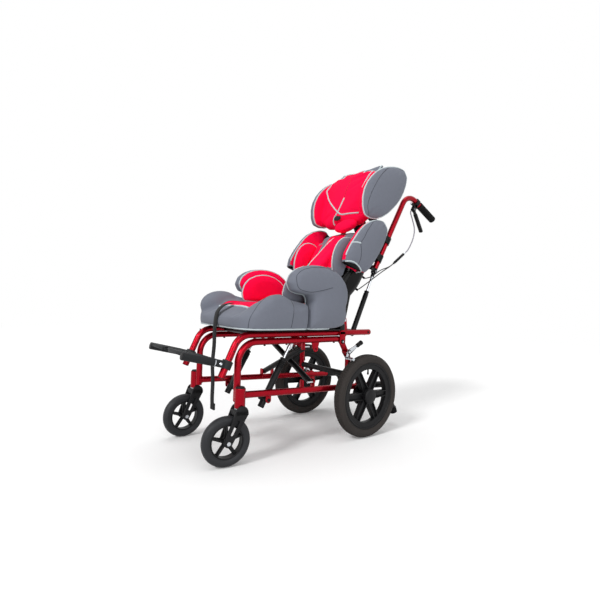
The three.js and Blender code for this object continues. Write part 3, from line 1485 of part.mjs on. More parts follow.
function hipPad(sign) {
  const shift = sign > 0 ? hipPadOffsetY : 0;
  const at = spread([hipPadFrontY + shift, hipPadFootZ], [hipPadLength, hipPadHeight]);
  return cut(padOf(hipPadForm, at, hipPadHalfThickness, onSide(hipPadX)), cushionBody(fit));
}

addPair(seat, "hip_pad", hipPad, "redCloth");

// Webbing strap that comes over the nose of the cushion and hangs down in front of it.
function strap() {
  const length = cushionRearY - cushionFrontY;
  const lift = fit + strapThickness / 2;
  const route = cushionStationShares.slice(0, strapStations).map(([along, size]) => {
    const y = cushionFrontY + length * along;
    const half = ((centreHeight(y) - cushionBottomZ) / 2) * size;
    const middleZ = (centreHeight(y) + cushionBottomZ) / 2;
    return [y - (1 - along * strapNoseShare) * lift, middleZ + half + lift * strapLiftShare];
  });
  route.reverse();
  const hangY = cushionFrontY - lift * strapHangShare;
  const hangZ = seatNoseZ - strapDrop;
  for (let i = 0; i <= strapSteps; i += 1) {
    const share = i / strapSteps;
    route.push([hangY - strapBow * Math.sin(Math.PI * share), hangZ + (strapEndZ - hangZ) * share]);
  }
  return ribbon(route, strapThickness, strapWidth);
}

addPiece(seat, "front_strap", strap(), "webbing");

// Back shell: a moulded board with curved-in sides, narrower at the hips.
const shellStationsZ = Object.fromEntries(
  Object.entries(shellStationShares).map(([name, share]) => {
    const z = shellFootZ + (shellTopZ - shellFootZ) * share;
    return [name, z];
  }),
);

function shellRing(z, grow) {
  const { foot, waist, top } = shellStationsZ;
  const rise = smooth((z - foot) / (waist - foot));
  const close = smooth((z - waist) / (top - waist));
  const halfWidth = shellFootHalfWidth + (backHalfWidth - shellFootHalfWidth) * rise + grow;
  const rear = shellFootRearY + (shellRearY - shellFootRearY) * rise + grow;
  const depth = shellFootSideDepth + (shellSideDepth - shellFootSideDepth) * rise * (1 - close / 3);
  const front = rear - depth - grow * 2;
  const wall = shellWall + grow * 2;
  const corner = shellCorner;
  const outer = [];
  const inner = [];
  outer.push([halfWidth, front]);
  inner.push([halfWidth - wall, front]);
  for (let i = 0; i <= shellCornerSteps; i += 1) {
    const angle = (Math.PI / 2) * (i / shellCornerSteps);
    const [c, s] = [Math.cos(angle), Math.sin(angle)];
    outer.push([halfWidth - corner + corner * c, rear - corner + corner * s]);
    inner.push([halfWidth - corner + (corner - wall) * c, rear - corner + (corner - wall) * s]);
  }
  const across = (list) => [...list, ...[...list].reverse().map(([x, y]) => [-x, y])];
  return [...across(outer), ...across(inner).reverse()].map(([x, y]) => vec(x, y, z));
}

function shellBody(grow) {
  const levels = Object.values(shellStationsZ);
  const ends = grow > 0 ? [levels[0] - overrun, ...levels, levels.at(-1) + overrun] : levels;
  return ringTube(ends.map((z) => shellRing(z, grow)));
}

// A loft whose ends are closed by the triangulated ring, for sections that bend round a hollow.
function ringTube(rings) {
  const count = rings[0].length;
  const points = [];
  for (let i = 0; i < rings.length - 1; i += 1) {
    for (let k = 0; k < count; k += 1) {
      const next = (k + 1) % count;
      points.push(rings[i][k], rings[i][next], rings[i + 1][next]);
      points.push(rings[i][k], rings[i + 1][next], rings[i + 1][k]);
    }
  }
  const flat = (ring) => ring.map((p) => new THREE.Vector2(p.x, p.y));
  const capFaces = (ring) => THREE.ShapeUtils.triangulateShape(flat(ring), []);
  const clockwise = THREE.ShapeUtils.isClockWise(rings[0].map((p) => new THREE.Vector2(p.x, p.y)));
  for (const [a, b, c] of capFaces(rings[0])) {
    points.push(rings[0][a], rings[0][clockwise ? b : c], rings[0][clockwise ? c : b]);
  }
  const last = rings.at(-1);
  for (const [a, b, c] of capFaces(last)) {
    points.push(last[a], last[clockwise ? c : b], last[clockwise ? b : c]);
  }
  return new THREE.BufferGeometry().setFromPoints(points);
}

// Saddles that hold the push canes off the shell's rear face, and the ears that the back turns on.
function backShell() {
  const cane = (sign) =>
    rod(
      vec(sign * caneHalfWidth, caneYAt(0), 0),
      vec(sign * caneHalfWidth, caneYAt(caneCornerZ), caneCornerZ),
      tubeRoom(tubeRadius),
      tubeSides,
    );
  const ear = (sign) => {
    const pinFrom = sign * (earX - hingePlateThickness / 2);
    const pin = crossPin(pinFrom, sign * (earX + hingePlateThickness * 2), 0, 0, hingePinRadius);
    return join(earPlate(sign, 0), pin);
  };
  const hollow = ringTube(Object.values(shellStationsZ).map((z) => shellCore(z)));
  const half = headPostWidth / 2;
  const postRear = headPostY + headPostThickness / 2 + fit;
  const guide = box(
    -half - headPostGuideWall,
    half + headPostGuideWall,
    shellRearY - shellWall / 2,
    postRear + headPostGuideWall,
    headGuideFootZ,
    shellTopZ,
  );
  const [low, high] = [headGuideFootZ - overrun, shellTopZ + overrun];
  const channel = box(-half - fit, half + fit, shellRearY, postRear, low, high);
  const body = cut(join(shellBody(0), ...saddles(0), guide), cane(1), cane(-1), hollow, channel);
  return join(body, ear(1), ear(-1));
}

// Blocks that hold the canes off the shell's rear corners.
function saddles(grow) {
  return [1, -1].flatMap((sign) =>
    [saddleLowZ, saddleHighZ].map((z) => {
      const [x0, x1] = [sign * saddleInnerX, sign * saddleOuterX].sort((a, b) => a - b);
      const half = saddleHeight / 2 + grow;
      return box(x0 - grow, x1 + grow, saddleFrontY - grow, caneYAt(z) + grow, z - half, z + half);
    }),
  );
}

const earX = seatHalfWidth - hingePlateThickness / 2 - fit;

// The ear's plate, grown all round where it is a cutting tool.
function earPlate(sign, grow) {
  const topRadius = hingePlateRadius * shellEarShare + grow;
  const top = [shellFootRearY - shellFootSideDepth / 2, shellStationsZ.hip, topRadius];
  const x0 = sign > 0 ? earX - hingePlateThickness : -earX;
  const shape = linkShape([0, 0, hingePlateRadius + grow], top);
  return sidePlate(shape, x0 - grow, hingePlateThickness + grow * 2);
}

// The room inside the shell's walls, which the back cushion fills.
function shellCore(z) {
  const ring = shellRing(z, 0);
  return ring.slice(ring.length / 2);
}

// The cane leans slightly forward along the back.
function caneYAt(z) {
  return caneFootY + ((caneCornerY - caneFootY) * (z - caneFootZ)) / (caneCornerZ - caneFootZ);
}

addPiece(back, "back_shell", backShell(), "black");

// Back cushion: a crowned centre pad with a bolster down each side, cut to sit round the shell.
const backPadForm = {
  outlineShares: mirroredShares([
    [0, 0], [0.79, 0.013], [0.96, 0.154], [1, 0.442], [1, 0.763], [0.908, 0.949], [0.526, 0.994], [0, 1],
  ]),
  centreShares: [0, 0.506],
  count: 20,
};
const bolsterForm = {
  outlineShares: [
    [0.179, 0.112], [0.536, 0.045], [0.921, 0], [1, 0.135], [0.974, 0.397], [0.894, 0.652],
    [0.722, 0.831], [0.497, 0.948], [0.272, 1], [0.086, 0.951], [0, 0.787], [0.02, 0.464],
  ],
  centreShares: [0.55, 0.427],
  count: 18,
};
const insertForm = {
  outlineShares: mirroredShares([[0, 0], [0.8, 0.02], [1, 0.12], [1, 0.85], [0.75, 0.97], [0, 1]]),
  centreShares: [0, 0.5],
  count: 18,
};

function backCentrePad(grow) {
  const middleY = (backPadFrontY + backPadRearY) / 2;
  const halfDepth = (backPadRearY - backPadFrontY) / 2 + grow;
  const at = spread([0, backPadFootZ], [backPadHalfWidth, backPadTopZ - backPadFootZ]);
  return padOf(backPadForm, at, halfDepth, onFront(middleY));
}

// The insert's middle plane leans, so that its foot stands out of the back further than its top.
// Its rear half is deeper than its front half and reaches into the pad behind it.
function backInsert() {
  const height = insertTopZ - insertFootZ;
  const at = spread([0, insertFootZ], [insertHalfWidth, height]);
  const middleY = (z) => insertFootY + ((insertTopY - insertFootY) * (z - insertFootZ)) / height;
  const depth = (lift) => (lift > 0 ? lift * insertRearShare : lift);
  return padOf(insertForm, at, insertHalfThickness, (u, v, lift) => vec(u, middleY(v) + depth(lift), v));
}

function backCushion() {
  const at = spread([bolsterRearY, bolsterFootZ], [-bolsterDepth, bolsterTopZ - bolsterFootZ]);
  const bolster = (sign) => padOf(bolsterForm, at, bolsterHalfThickness, onSide(sign * bolsterX));
  const pads = join(backCentrePad(0), bolster(1), bolster(-1), backInsert());
  return cut(pads, shellBody(fit), earPlate(1, fit), earPlate(-1, fit), ...saddles(fit));
}

addPiece(back, "back_cushion", backCushion(), "greyCloth");

const trunkPadForm = {
  outlineShares: [
    [0, 0.011], [0.523, 0], [0.773, 0.138], [1, 0.454], [0.977, 0.713], [0.773, 0.897], [0.409, 1], [0, 1],
  ],
  centreShares: [0.432, 0.511],
  count: 18,
};

function trunkPad() {
  const at = spread([trunkPadRearY, trunkPadFootZ], [-trunkPadDepth, trunkPadHeight]);
  return cut(padOf(trunkPadForm, at, trunkPadHalfThickness, onSide(trunkPadX)), backCentrePad(fit * 2));
}

addPair(back, "trunk_pad", trunkPad, "redCloth");

// Push cane with its bent-over handle.
function pushCane() {
  const x = caneHalfWidth;
  return bentTube(
    [vec(x, caneYAt(caneFootZ), caneFootZ), vec(x, caneCornerY, caneCornerZ), vec(x, handleEndY, handleEndZ)],
    [caneBendRadius],
    tubeRadius,
  );
}

addPair(back, "push_cane", pushCane, "red");

const handleAxis = vec(0, handleEndY - caneCornerY, handleEndZ - caneCornerZ).normalize();
const handleEnd = vec(caneHalfWidth, handleEndY, handleEndZ);

function onHandle(y) {
  return vec(caneHalfWidth, y, caneCornerZ + (handleAxis.z / handleAxis.y) * (y - caneCornerY));
}

// Rubber grip with ribs, closed over the end of the handle.
function grip() {
  const [endShare, grooveShare] = gripRibShares;
  const profile = [[0, 0], [gripRadius * endShare, 0], [gripRadius, gripEndWall]];
  for (let i = 0; i < gripRibCount; i += 1) {
    const at = gripEndWall + ((gripLength - gripEndWall * 2) * (i + 1 / 2)) / gripRibCount;
    profile.push([gripRadius, at], [gripRadius * grooveShare, at + gripEndWall]);
  }
  profile.push([gripRadius, gripLength - gripEndWall], [gripRadius, gripLength], [0, gripLength]);
  const body = solid(turnedZ(profile, rodSides));
  const hole = turnedZ(
    [
      [0, gripEndWall],
      [tubeRoom(tubeRadius), gripEndWall],
      [tubeRoom(tubeRadius), gripLength + overrun],
      [0, gripLength + overrun],
    ],
    tubeSides,
  );
  const group = new THREE.Matrix4().makeRotationX(Math.atan2(-handleAxis.z, handleAxis.y) * -1 + Math.PI / 2);
  const tip = handleEnd.clone().addScaledVector(handleAxis, gripEndWall + fit);
  group.setPosition(tip.x, tip.y, tip.z);
  return geometryOf(cut(body, hole)).applyMatrix4(group);
}

addPair(back, "handle_grip", grip, "black");

// Clamp on the handle that carries the release lever.
function leverClamp() {
  const from = onHandle(leverClampY - leverClampWidth / 2);
  const to = onHandle(leverClampY + leverClampWidth / 2);
  const ring = rod(from, to, leverClampRadius, rodSides);
  const yoke = box(
    caneHalfWidth - leverWidth / 2,
    caneHalfWidth + leverWidth / 2,
    leverClampY - leverClampWidth / 2,
    leverClampY + leverClampWidth / 2,
    leverPivotZ - leverRootRadius,
    leverPivotZ + leverYokeHeight,
  );
  const slot = box(
    caneHalfWidth - leverWidth / 4 - fit,
    caneHalfWidth + leverWidth / 4 + fit,
    leverClampY - leverClampWidth,
    leverClampY + leverClampWidth,
    leverPivotZ - leverRootRadius * 2,
    leverPivotZ + leverRootRadius + fit * 2,
  );
  const half = leverWidth / 2;
  const pin = crossPin(caneHalfWidth - half, caneHalfWidth + half, leverPivotY, leverPivotZ, leverPinRadius);
  const past = handleAxis.clone().multiplyScalar(overrun);
  const bore = rod(from.clone().sub(past), to.clone().add(past), tubeRoom(tubeRadius), tubeSides);
  return cut(join(cut(join(ring, yoke), slot), pin), bore);
}

addPair(back, "lever_clamp", leverClamp, "black");

// Release lever: a flat root in the clamp's yoke and a wide blade under the grip.
function releaseLever() {
  const quarter = leverWidth / 4;
  const pivot = [leverPivotY, leverPivotZ, leverRootRadius - fit];
  const rootEnd = [leverPivotY + leverRootLength, leverPivotZ - leverRootDrop, leverTipRadius];
  const bladeStart = [rootEnd[0] - leverBladeLap, rootEnd[1] + leverBladeLap / 2, leverTipRadius];
  const bladeEnd = [leverTipY, leverTipZ, leverTipRadius + fit];
  const root = sidePlate(linkShape(pivot, rootEnd), caneHalfWidth - quarter, quarter * 2);
  const blade = sidePlate(linkShape(bladeStart, bladeEnd), caneHalfWidth - quarter * 2, leverWidth);
  const [from, to] = [caneHalfWidth - leverWidth, caneHalfWidth + leverWidth];
  const hole = crossPin(from, to, leverPivotY, leverPivotZ, leverPinRadius + running);
  return cut(join(root, blade), hole);
}

addPair(back, "release_lever", releaseLever, "black");

// Bar between the canes, with the lugs and pins that the recline rods hang on.
function backBar() {
  const y = caneYAt(backBarZ);
  const reach = caneHalfWidth - tubeRadius - fit;
  const bar = crossPin(-reach, reach, y, backBarZ, backBarRadius);
  const lugX = strutHalfWidth + strutEyeWidth / 2 + headLugThickness / 2;
  const lug = (sign) => {
    const x0 = sign > 0 ? lugX : -lugX - headLugThickness;
    const shape = linkShape([y, backBarZ, headLugRadius + fit], [strutHeadY, strutHeadZ, headLugRadius]);
    const plate = sidePlate(shape, x0, headLugThickness);
    const [from, to] = [strutHalfWidth - strutEyeWidth, lugX + headLugThickness];
    const pin = crossPin(sign * from, sign * to, strutHeadY, strutHeadZ, strutPinRadius);
    return join(plate, pin);
  };
  return join(bar, lug(1), lug(-1));
}

addPiece(back, "back_bar", backBar(), "blackTube");

// Release cable: from the left lever's clamp to a splitter, and on in two tails to the shell.
const cableRoute = [
  [143, 87, 600.6], [143.5, 91, 590], [147, 114, 570], [150, 143, 542], [150, 158, 500],
  [150, 156, 442], [150, 145, 416],
];
const splitterEnd = [150, 109, 335];
const tailRoutes = [
  [[146, 96, 310], [140, 66, 272], [137, 42, 228], [136, 20, 204], [136, 10, 197], [136, 0, 196]],
  [[147, 99, 313], [142, 74, 268], [137, 51, 222], [133, 25, 172], [132, 9, 145], [132, -3, 138]],
];

function cable() {
  const smoothTube = (points, steps) => {
    const curve = new THREE.CatmullRomCurve3(points.map((p) => vec(...p)));
    const stations = [];
    for (let i = 0; i <= steps; i += 1) {
      stations.push({ point: curve.getPointAt(i / steps), direction: curve.getTangentAt(i / steps) });
    }
    return sweep(disc(cableRadius, cableSides), stations);
  };
  const splitter = rod(vec(...cableRoute.at(-1)), vec(...splitterEnd), splitterRadius);
  const tails = tailRoutes.map((route) => smoothTube([splitterEnd, ...route], cableTailSteps));
  return join(smoothTube(cableRoute, cableSteps), splitter, ...tails);
}

addPiece(back, "release_cable", cable(), "cable");

// Head support: a saddle-topped panel between two wings.
const wingForm = {
  outlineShares: [
    [0.062, 0.099], [0, 0.278], [0.031, 0.458], [0.123, 0.62], [0.282, 0.782], [0.493, 0.901], [0.731, 0.986],
    [0.925, 1], [1, 0.923], [1, 0.739], [0.943, 0.549], [0.775, 0.31], [0.608, 0.148], [0.396, 0.028],
    [0.194, 0], [0.097, 0.028],
  ],
  centreShares: [0.458, 0.486],
  count: 22,
};
const headPanelForm = {
  outlineShares: mirroredShares([
    [0, 0], [0.712, 0.024], [0.973, 0.194], [1, 0.661], [0.945, 0.944], [0.685, 1], [0.342, 0.96], [0, 0.935],
  ]),
  centreShares: [0, 0.54],
  count: 20,
};

function headSupport() {
  const middleY = (headPanelFrontY + headPanelRearY) / 2;
  const halfDepth = (headPanelRearY - headPanelFrontY) / 2;
  const panelAt = spread([0, -headPanelDrop], [headPanelHalfWidth, headPanelHeight]);
  const wingAt = spread([headWingFrontY, -headWingDrop], [headWingDepth, headWingHeight]);
  const panel = padOf(headPanelForm, panelAt, halfDepth, onFront(middleY));
  const wing = (sign) => padOf(wingForm, wingAt, headWingHalfThickness, onSide(sign * headWingX));
  return join(panel, wing(1), wing(-1));
}

addPiece(head, "head_support", headSupport(), "greyCloth");

// Flat post behind the head support: it slides in the shell's guide and cranks forward to the panel.
function headPost() {
  const onPanel = (share) => {
    const up = headPanelHeight * share;
    const out = headPanelRearY + fit + headPostThickness / 2;
    const [c, s] = [Math.cos(headLeanDeg * deg), Math.sin(headLeanDeg * deg)];
    return [headOriginY + out * c - up * s, headOriginZ + out * s + up * c];
  };
  const route = [[headPostY, headPostFootZ], [headPostY, headPostBendZ], ...headPostShares.map(onPanel)];
  return ribbon(route, headPostThickness, headPostWidth);
}

addPiece(back, "head_post", headPost(), "black");

// Stands the chair on the floor with the middle of its box over the origin.
const boxOfAll = new THREE.Box3().setFromObject(wheelchair, true);
const middle = boxOfAll.getCenter(vec(0, 0, 0));
wheelchair.children.forEach((group) => {
  group.position.y -= middle.y;
  group.position.x -= middle.x;
});

export default wheelchair;
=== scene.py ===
"""Child's push wheelchair with a tilting seat and a reclining padded back.

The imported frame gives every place. Shapes are drawn in millimetres in the chair's own frames
(chair, back, head support, gas spring) and set into the row frame, in metres, when they are made.
"""
import json
import logging
import math
from dataclasses import dataclass, field
from enum import Enum
from typing import Callable, Sequence

import bmesh
import bpy
import numpy as np
from mathutils import Matrix, Vector
from mathutils.bvhtree import BVHTree


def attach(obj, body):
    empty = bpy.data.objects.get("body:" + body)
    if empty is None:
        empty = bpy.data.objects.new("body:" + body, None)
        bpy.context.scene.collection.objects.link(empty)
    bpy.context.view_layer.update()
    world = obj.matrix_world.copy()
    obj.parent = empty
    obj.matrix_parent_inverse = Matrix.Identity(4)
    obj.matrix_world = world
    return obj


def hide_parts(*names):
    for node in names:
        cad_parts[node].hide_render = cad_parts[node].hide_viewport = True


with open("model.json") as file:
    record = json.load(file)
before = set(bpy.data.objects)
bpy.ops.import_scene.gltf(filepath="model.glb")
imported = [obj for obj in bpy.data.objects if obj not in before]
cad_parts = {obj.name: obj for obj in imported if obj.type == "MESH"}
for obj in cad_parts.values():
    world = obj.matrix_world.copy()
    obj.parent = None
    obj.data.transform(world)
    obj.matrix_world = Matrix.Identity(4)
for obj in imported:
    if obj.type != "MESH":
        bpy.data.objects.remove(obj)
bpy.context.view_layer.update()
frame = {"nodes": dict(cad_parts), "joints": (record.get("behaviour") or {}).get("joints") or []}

LOG = logging.getLogger("wheelchair")
MM = 0.001
SIDES = (("left", 1), ("right", -1))
JOINTS = {joint["name"]: joint for joint in frame["joints"]}
NODES = frame["nodes"]
Point = Sequence[float]


class Slot(Enum):
    """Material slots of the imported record."""

    RED_PAINT = "red_paint"
    BLACK_TUBE = "black_tube"
    STEEL = "bright_steel"
    TYRE = "tyre_rubber"
    CASTER = "caster_rubber"
    PLASTIC = "black_plastic"
    GRIP = "grip_rubber"
    FOOT = "foot_plastic"
    GREY = "grey_fabric"
    RED = "red_fabric"
    WEBBING = "webbing"
    CABLE = "cable_sheath"


class Grain(Enum):
    """Kinds of fine relief that a surface has."""

    CLOUD = "noise without direction, as on cast, sprayed or moulded skins"
    KNIT = "small round loops, as on knitted cloth"
    RIBS = "even bands across the piece, as on webbing"


def linear(colour: str) -> tuple[float, float, float, float]:
    """Turns an sRGB hex colour into the linear values that a shader takes.

    Args:
        colour: Six hex digits after a hash mark.

    Returns:
        Red, green, blue and an alpha of one.
    """
    parts = [int(colour[i : i + 2], 16) / 255 for i in (1, 3, 5)]
    made = [c / 12.92 if c <= 0.04045 else ((c + 0.055) / 1.055) ** 2.4 for c in parts]
    return (*made, 1.0)


def add_node(tree: bpy.types.NodeTree, kind: str, inputs: dict | None = None,
        **settings: object) -> bpy.types.Node:
    """Adds a node with its settings and links.

    Args:
        tree: The tree that gets the node.
        kind: The node's type name.
        inputs: Values, or sockets to link from, by input name or number.
        **settings: Properties of the node itself.

    Returns:
        The new node.
    """
    node = tree.nodes.new(kind)
    for key, value in settings.items():
        setattr(node, key, value)
    for key, value in (inputs or {}).items():
        if isinstance(value, bpy.types.NodeSocket):
            tree.links.new(value, node.inputs[key])
        else:
            node.inputs[key].default_value = value
    return node


@dataclass(frozen=True)
class Finish:
    """A surface as it is made: its colour, its gloss, its uneven tone and its fine relief."""

    name: str
    slot: Slot
    colour: str
    roughness: float
    metallic: float = 0.0
    coat: float = 0.0
    sheen: float = 0.0
    specular: float = 0.5
    tone_mm: float = 14.0
    tone_spread: float = 0.06
    grain: Grain = Grain.CLOUD
    grain_mm: float = 1.0
    relief_mm: float = 0.05

    def material(self) -> bpy.types.Material:
        """The material of this finish, made once."""
        found = bpy.data.materials.get(self.name)
        if found is not None:
            return found
        material = bpy.data.materials.new(self.name)
        material.use_nodes = True
        tree = material.node_tree
        tree.nodes.clear()
        place = add_node(tree, "ShaderNodeTexCoord").outputs["Object"]
        shader = add_node(
            tree,
            "ShaderNodeBsdfPrincipled",
            {
                "Base Color": self.tone(tree, place),
                "Roughness": self.gloss(tree, place),
                "Normal": self.relief(tree, place),
            },
        )
        for socket, value in (
            ("Metallic", self.metallic),
            ("Coat Weight", self.coat),
            ("Coat Roughness", 0.06),
            ("Specular IOR Level", self.specular),
            ("Sheen Weight", self.sheen),
            ("Sheen Roughness", 0.5),
        ):
            shader.inputs[socket].default_value = value
        add_node(tree, "ShaderNodeOutputMaterial", {"Surface": shader.outputs[0]})
        return material

    def tone(self, tree: bpy.types.NodeTree, place: bpy.types.NodeSocket) -> bpy.types.NodeSocket:
        """Mixes the colour lighter and darker in patches of the tone's size."""
        cloud = add_node(tree, "ShaderNodeTexNoise", {"Vector": place, "Scale": 1 / (self.tone_mm * MM),
            "Detail": 3.0})
        base = np.array(linear(self.colour)[:3])
        low = (*(base * (1 - self.tone_spread)), 1.0)
        high = (*np.minimum(base * (1 + self.tone_spread), 1.0), 1.0)
        mix = add_node(tree, "ShaderNodeMix", {0: cloud.outputs["Fac"], 6: low, 7: high}, data_type="RGBA")
        return mix.outputs[2]

    def gloss(self, tree: bpy.types.NodeTree, place: bpy.types.NodeSocket) -> bpy.types.NodeSocket:
        """Lets the roughness drift a little, as handling and dust do."""
        drift = 0.12
        cloud = add_node(tree, "ShaderNodeTexNoise", {"Vector": place, "Scale": 1 / (self.tone_mm * 2 * MM),
            "Detail": 2.0})
        limits = {"To Min": self.roughness * (1 - drift), "To Max": min(self.roughness * (1 + drift), 1.0)}
        spread = add_node(tree, "ShaderNodeMapRange", {"Value": cloud.outputs["Fac"], **limits})
        return spread.outputs[0]

    def relief(self, tree: bpy.types.NodeTree, place: bpy.types.NodeSocket) -> bpy.types.NodeSocket:
        """The fine relief of the surface, as a bump."""
        scale = 1 / (self.grain_mm * MM)
        if self.grain is Grain.KNIT:
            texture = add_node(tree, "ShaderNodeTexVoronoi", {"Vector": place, "Scale": scale})
            height = texture.outputs["Distance"]
        elif self.grain is Grain.RIBS:
            texture = add_node(tree, "ShaderNodeTexWave", {"Vector": place, "Scale": scale / 3},
                bands_direction="Z")
            height = texture.outputs["Fac"]
        else:
            texture = add_node(tree, "ShaderNodeTexNoise", {"Vector": place, "Scale": scale, "Detail": 2.0})
            height = texture.outputs["Fac"]
        bump = add_node(tree, "ShaderNodeBump", {"Height": height, "Strength": 0.6,
            "Distance": self.relief_mm * MM})
        return bump.outputs["Normal"]


# Candy lacquer over bright base coat on steel tube: deep red that flashes in the highlights.
LACQUER = Finish("candy_lacquer", Slot.RED_PAINT, "#9C0018", 0.27, metallic=0.8, coat=0.1, specular=0.25,
    tone_mm=40.0,
                 tone_spread=0.05, grain_mm=8.0, relief_mm=0.01)
# Powder coat on steel tube: an even black with a faint orange-peel skin.
POWDER = Finish("black_powder_coat", Slot.BLACK_TUBE, "#0E0E10", 0.42, specular=0.2, grain_mm=1.5,
    relief_mm=0.02)
# Zinc plated steel, turned and polished: bright with a slight haze.
ZINC = Finish("zinc_plated_steel", Slot.STEEL, "#CDD1D6", 0.2, metallic=1.0, grain_mm=0.8, relief_mm=0.005)
# Vulcanised tyre rubber, dusty from handling: a warm dull grey.
TYRE = Finish("vulcanised_rubber", Slot.TYRE, "#302C2A", 0.82, specular=0.25, tone_mm=22.0,
    tone_spread=0.10, grain_mm=1.2, relief_mm=0.08)
# Cast polyurethane of solid caster tyres: smooth, dark, softly shining.
URETHANE = Finish("cast_polyurethane", Slot.CASTER, "#27282B", 0.5, specular=0.25, tone_mm=30.0,
    grain_mm=0.9, relief_mm=0.02)
# Glass-filled nylon, injection moulded with a fine spark texture: satin black.
NYLON = Finish("moulded_nylon", Slot.PLASTIC, "#111113", 0.46, specular=0.2, grain_mm=0.7, relief_mm=0.03)
# Blow moulded polyethylene of the back shell: smooth black with long soft highlights.
SHELL = Finish("blow_moulded_shell", Slot.PLASTIC, "#0A0A0B", 0.34, specular=0.13, grain_mm=2.0,
    relief_mm=0.02)
# Thermoplastic rubber of the hand grips: dull black.
GRIP = Finish("soft_rubber", Slot.GRIP, "#0C0C0D", 0.7, specular=0.15, grain_mm=0.8, relief_mm=0.06)
# Grey glass-filled nylon of the footplates, with a grained skin.
FOOT = Finish("grained_grey_nylon", Slot.FOOT, "#1F2123", 0.55, specular=0.2, grain_mm=0.8, relief_mm=0.05)
# Knitted upholstery over foam. The loops are drawn at 1.8 mm, coarser than real, so that they show.
GREY = Finish("grey_knit", Slot.GREY, "#6E727D", 0.92, sheen=0.08, specular=0.25, tone_mm=9.0,
    tone_spread=0.05,
              grain=Grain.KNIT, grain_mm=1.8, relief_mm=0.22)
RED = Finish("red_knit", Slot.RED, "#F80045", 0.9, specular=0.15, tone_mm=9.0, tone_spread=0.05,
             grain=Grain.KNIT, grain_mm=1.8, relief_mm=0.22)
# Reflective-look binding tape round a cord: the pale edge of every panel.
PIPING = Finish("pale_binding", Slot.GREY, "#B7C2C6", 0.75, sheen=0.1, tone_mm=5.0, grain=Grain.KNIT,
                grain_mm=1.2, relief_mm=0.12)
# Bonded nylon thread sunk in its seam, drawn dark: partly the thread's own colour, partly painted shade of
# the seam's groove.
STITCH_AND_SEAM_SHADE = Finish("stitch_and_seam_shade", Slot.GREY, "#33353C", 0.8, tone_mm=3.0, grain_mm=0.8, relief_mm=0.05)
# Red seam thread drawn dark red: partly the thread's own colour, partly painted shade of the seams, channels
# and crease it lies in.
RED_STITCH_AND_SEAM_SHADE = Finish("red_stitch_and_seam_shade", Slot.RED, "#8E0024", 0.8, tone_mm=3.0, grain_mm=0.8, relief_mm=0.05)
# Painted shade: a dark patch laid on the head panel where the opening for a harness is, standing for the
# shade inside it.
OPENING_SHADE = Finish("painted_opening_shade", Slot.GREY, "#0A0A0B", 0.95, tone_mm=3.0, grain_mm=0.8, relief_mm=0.05)
# Polypropylene webbing: black with close cross ribs.
WEBBING = Finish("black_webbing", Slot.WEBBING, "#121214", 0.7, specular=0.3, grain=Grain.RIBS,
    grain_mm=2.0, relief_mm=0.2)
# Extruded polyvinyl sheath of the control cables.
SHEATH = Finish("extruded_sheath", Slot.CABLE, "#161618", 0.35, grain_mm=2.0, relief_mm=0.01)
# The black sheath's run from the lever to the splitter, drawn silver-grey: painted highlight of the glossy
# black sheath.
PAINTED_HIGHLIGHT_SHEATH = Finish("cable_sheath_with_painted_highlight", Slot.CABLE, "#8B8892", 0.35, metallic=0.2, grain_mm=2.0,
    relief_mm=0.01)


@dataclass
class Shape:
    """A surface in millimetres of some frame, with the finish it wears."""

    points: np.ndarray
    faces: list[tuple[int, ...]]
    finish: Finish = NYLON

    def placed(self, matrix: Matrix) -> "Shape":
        """The same shape, moved by a matrix."""
        turn = np.array(matrix.to_3x3())
        moved = self.points @ turn.T + np.array(matrix.translation)
        faces = [f[::-1] for f in self.faces] if matrix.determinant() < 0 else self.faces
        return Shape(moved, faces, self.finish)

    def mirrored(self) -> "Shape":
        """The mirror image across the chair's middle plane, still facing out."""
        return Shape(self.points * np.array([-1.0, 1.0, 1.0]), [f[::-1] for f in self.faces], self.finish)


def to_side(sign: int, shapes: list[Shape]) -> list[Shape]:
    """Shapes drawn for the left side, as they are or mirrored to the right."""
    return shapes if sign > 0 else [shape.mirrored() for shape in shapes]


def vec(x: float, y: float, z: float) -> np.ndarray:
    """A point in millimetres."""
    return np.array([x, y, z], float)


@dataclass(frozen=True)
class Datum:
    """Frames in which shapes are drawn, each a matrix from its millimetres to the row frame."""

    axle_y: float = 152.0
    recline_deg: float = 30.0
    head_y: float = -63.0
    head_z: float = 439.0
    head_lean_deg: float = 14.3

    @property
    def shift(self) -> float:
        """How far the row frame's origin lies from the chair's own origin along Y."""
        return JOINTS["rear_axle_left"]["pos_m"][1] / MM - self.axle_y

    @property
    def chair(self) -> Matrix:
        """The chair's own frame."""
        return Matrix.Translation((0, self.shift * MM, 0)) @ Matrix.Scale(MM, 4)

    @property
    def back(self) -> Matrix:
        """The back's frame, at the recline pivot, with +Z up the back."""
        _, y, z = JOINTS["back_recline"]["pos_m"]
        turn = Matrix.Rotation(-math.radians(self.recline_deg), 4, "X")
        return Matrix.Translation((0, y, z)) @ turn @ Matrix.Scale(MM, 4)

    @property
    def head(self) -> Matrix:
        """The head support's frame on the back."""
        turn = Matrix.Rotation(math.radians(self.head_lean_deg), 4, "X")
        return self.back @ Matrix.Translation((0, self.head_y, self.head_z)) @ turn

    def strut(self, joint: str, slide: str) -> Matrix:
        """A gas spring's frame: its foot pivot at the origin and +Z along its rod."""
        along = Vector(JOINTS[slide]["axis"])
        turn = along.to_track_quat("Z", "X").to_matrix().to_4x4()
        return Matrix.Translation(JOINTS[joint]["pos_m"]) @ turn @ Matrix.Scale(MM, 4)


DATUM = Datum()


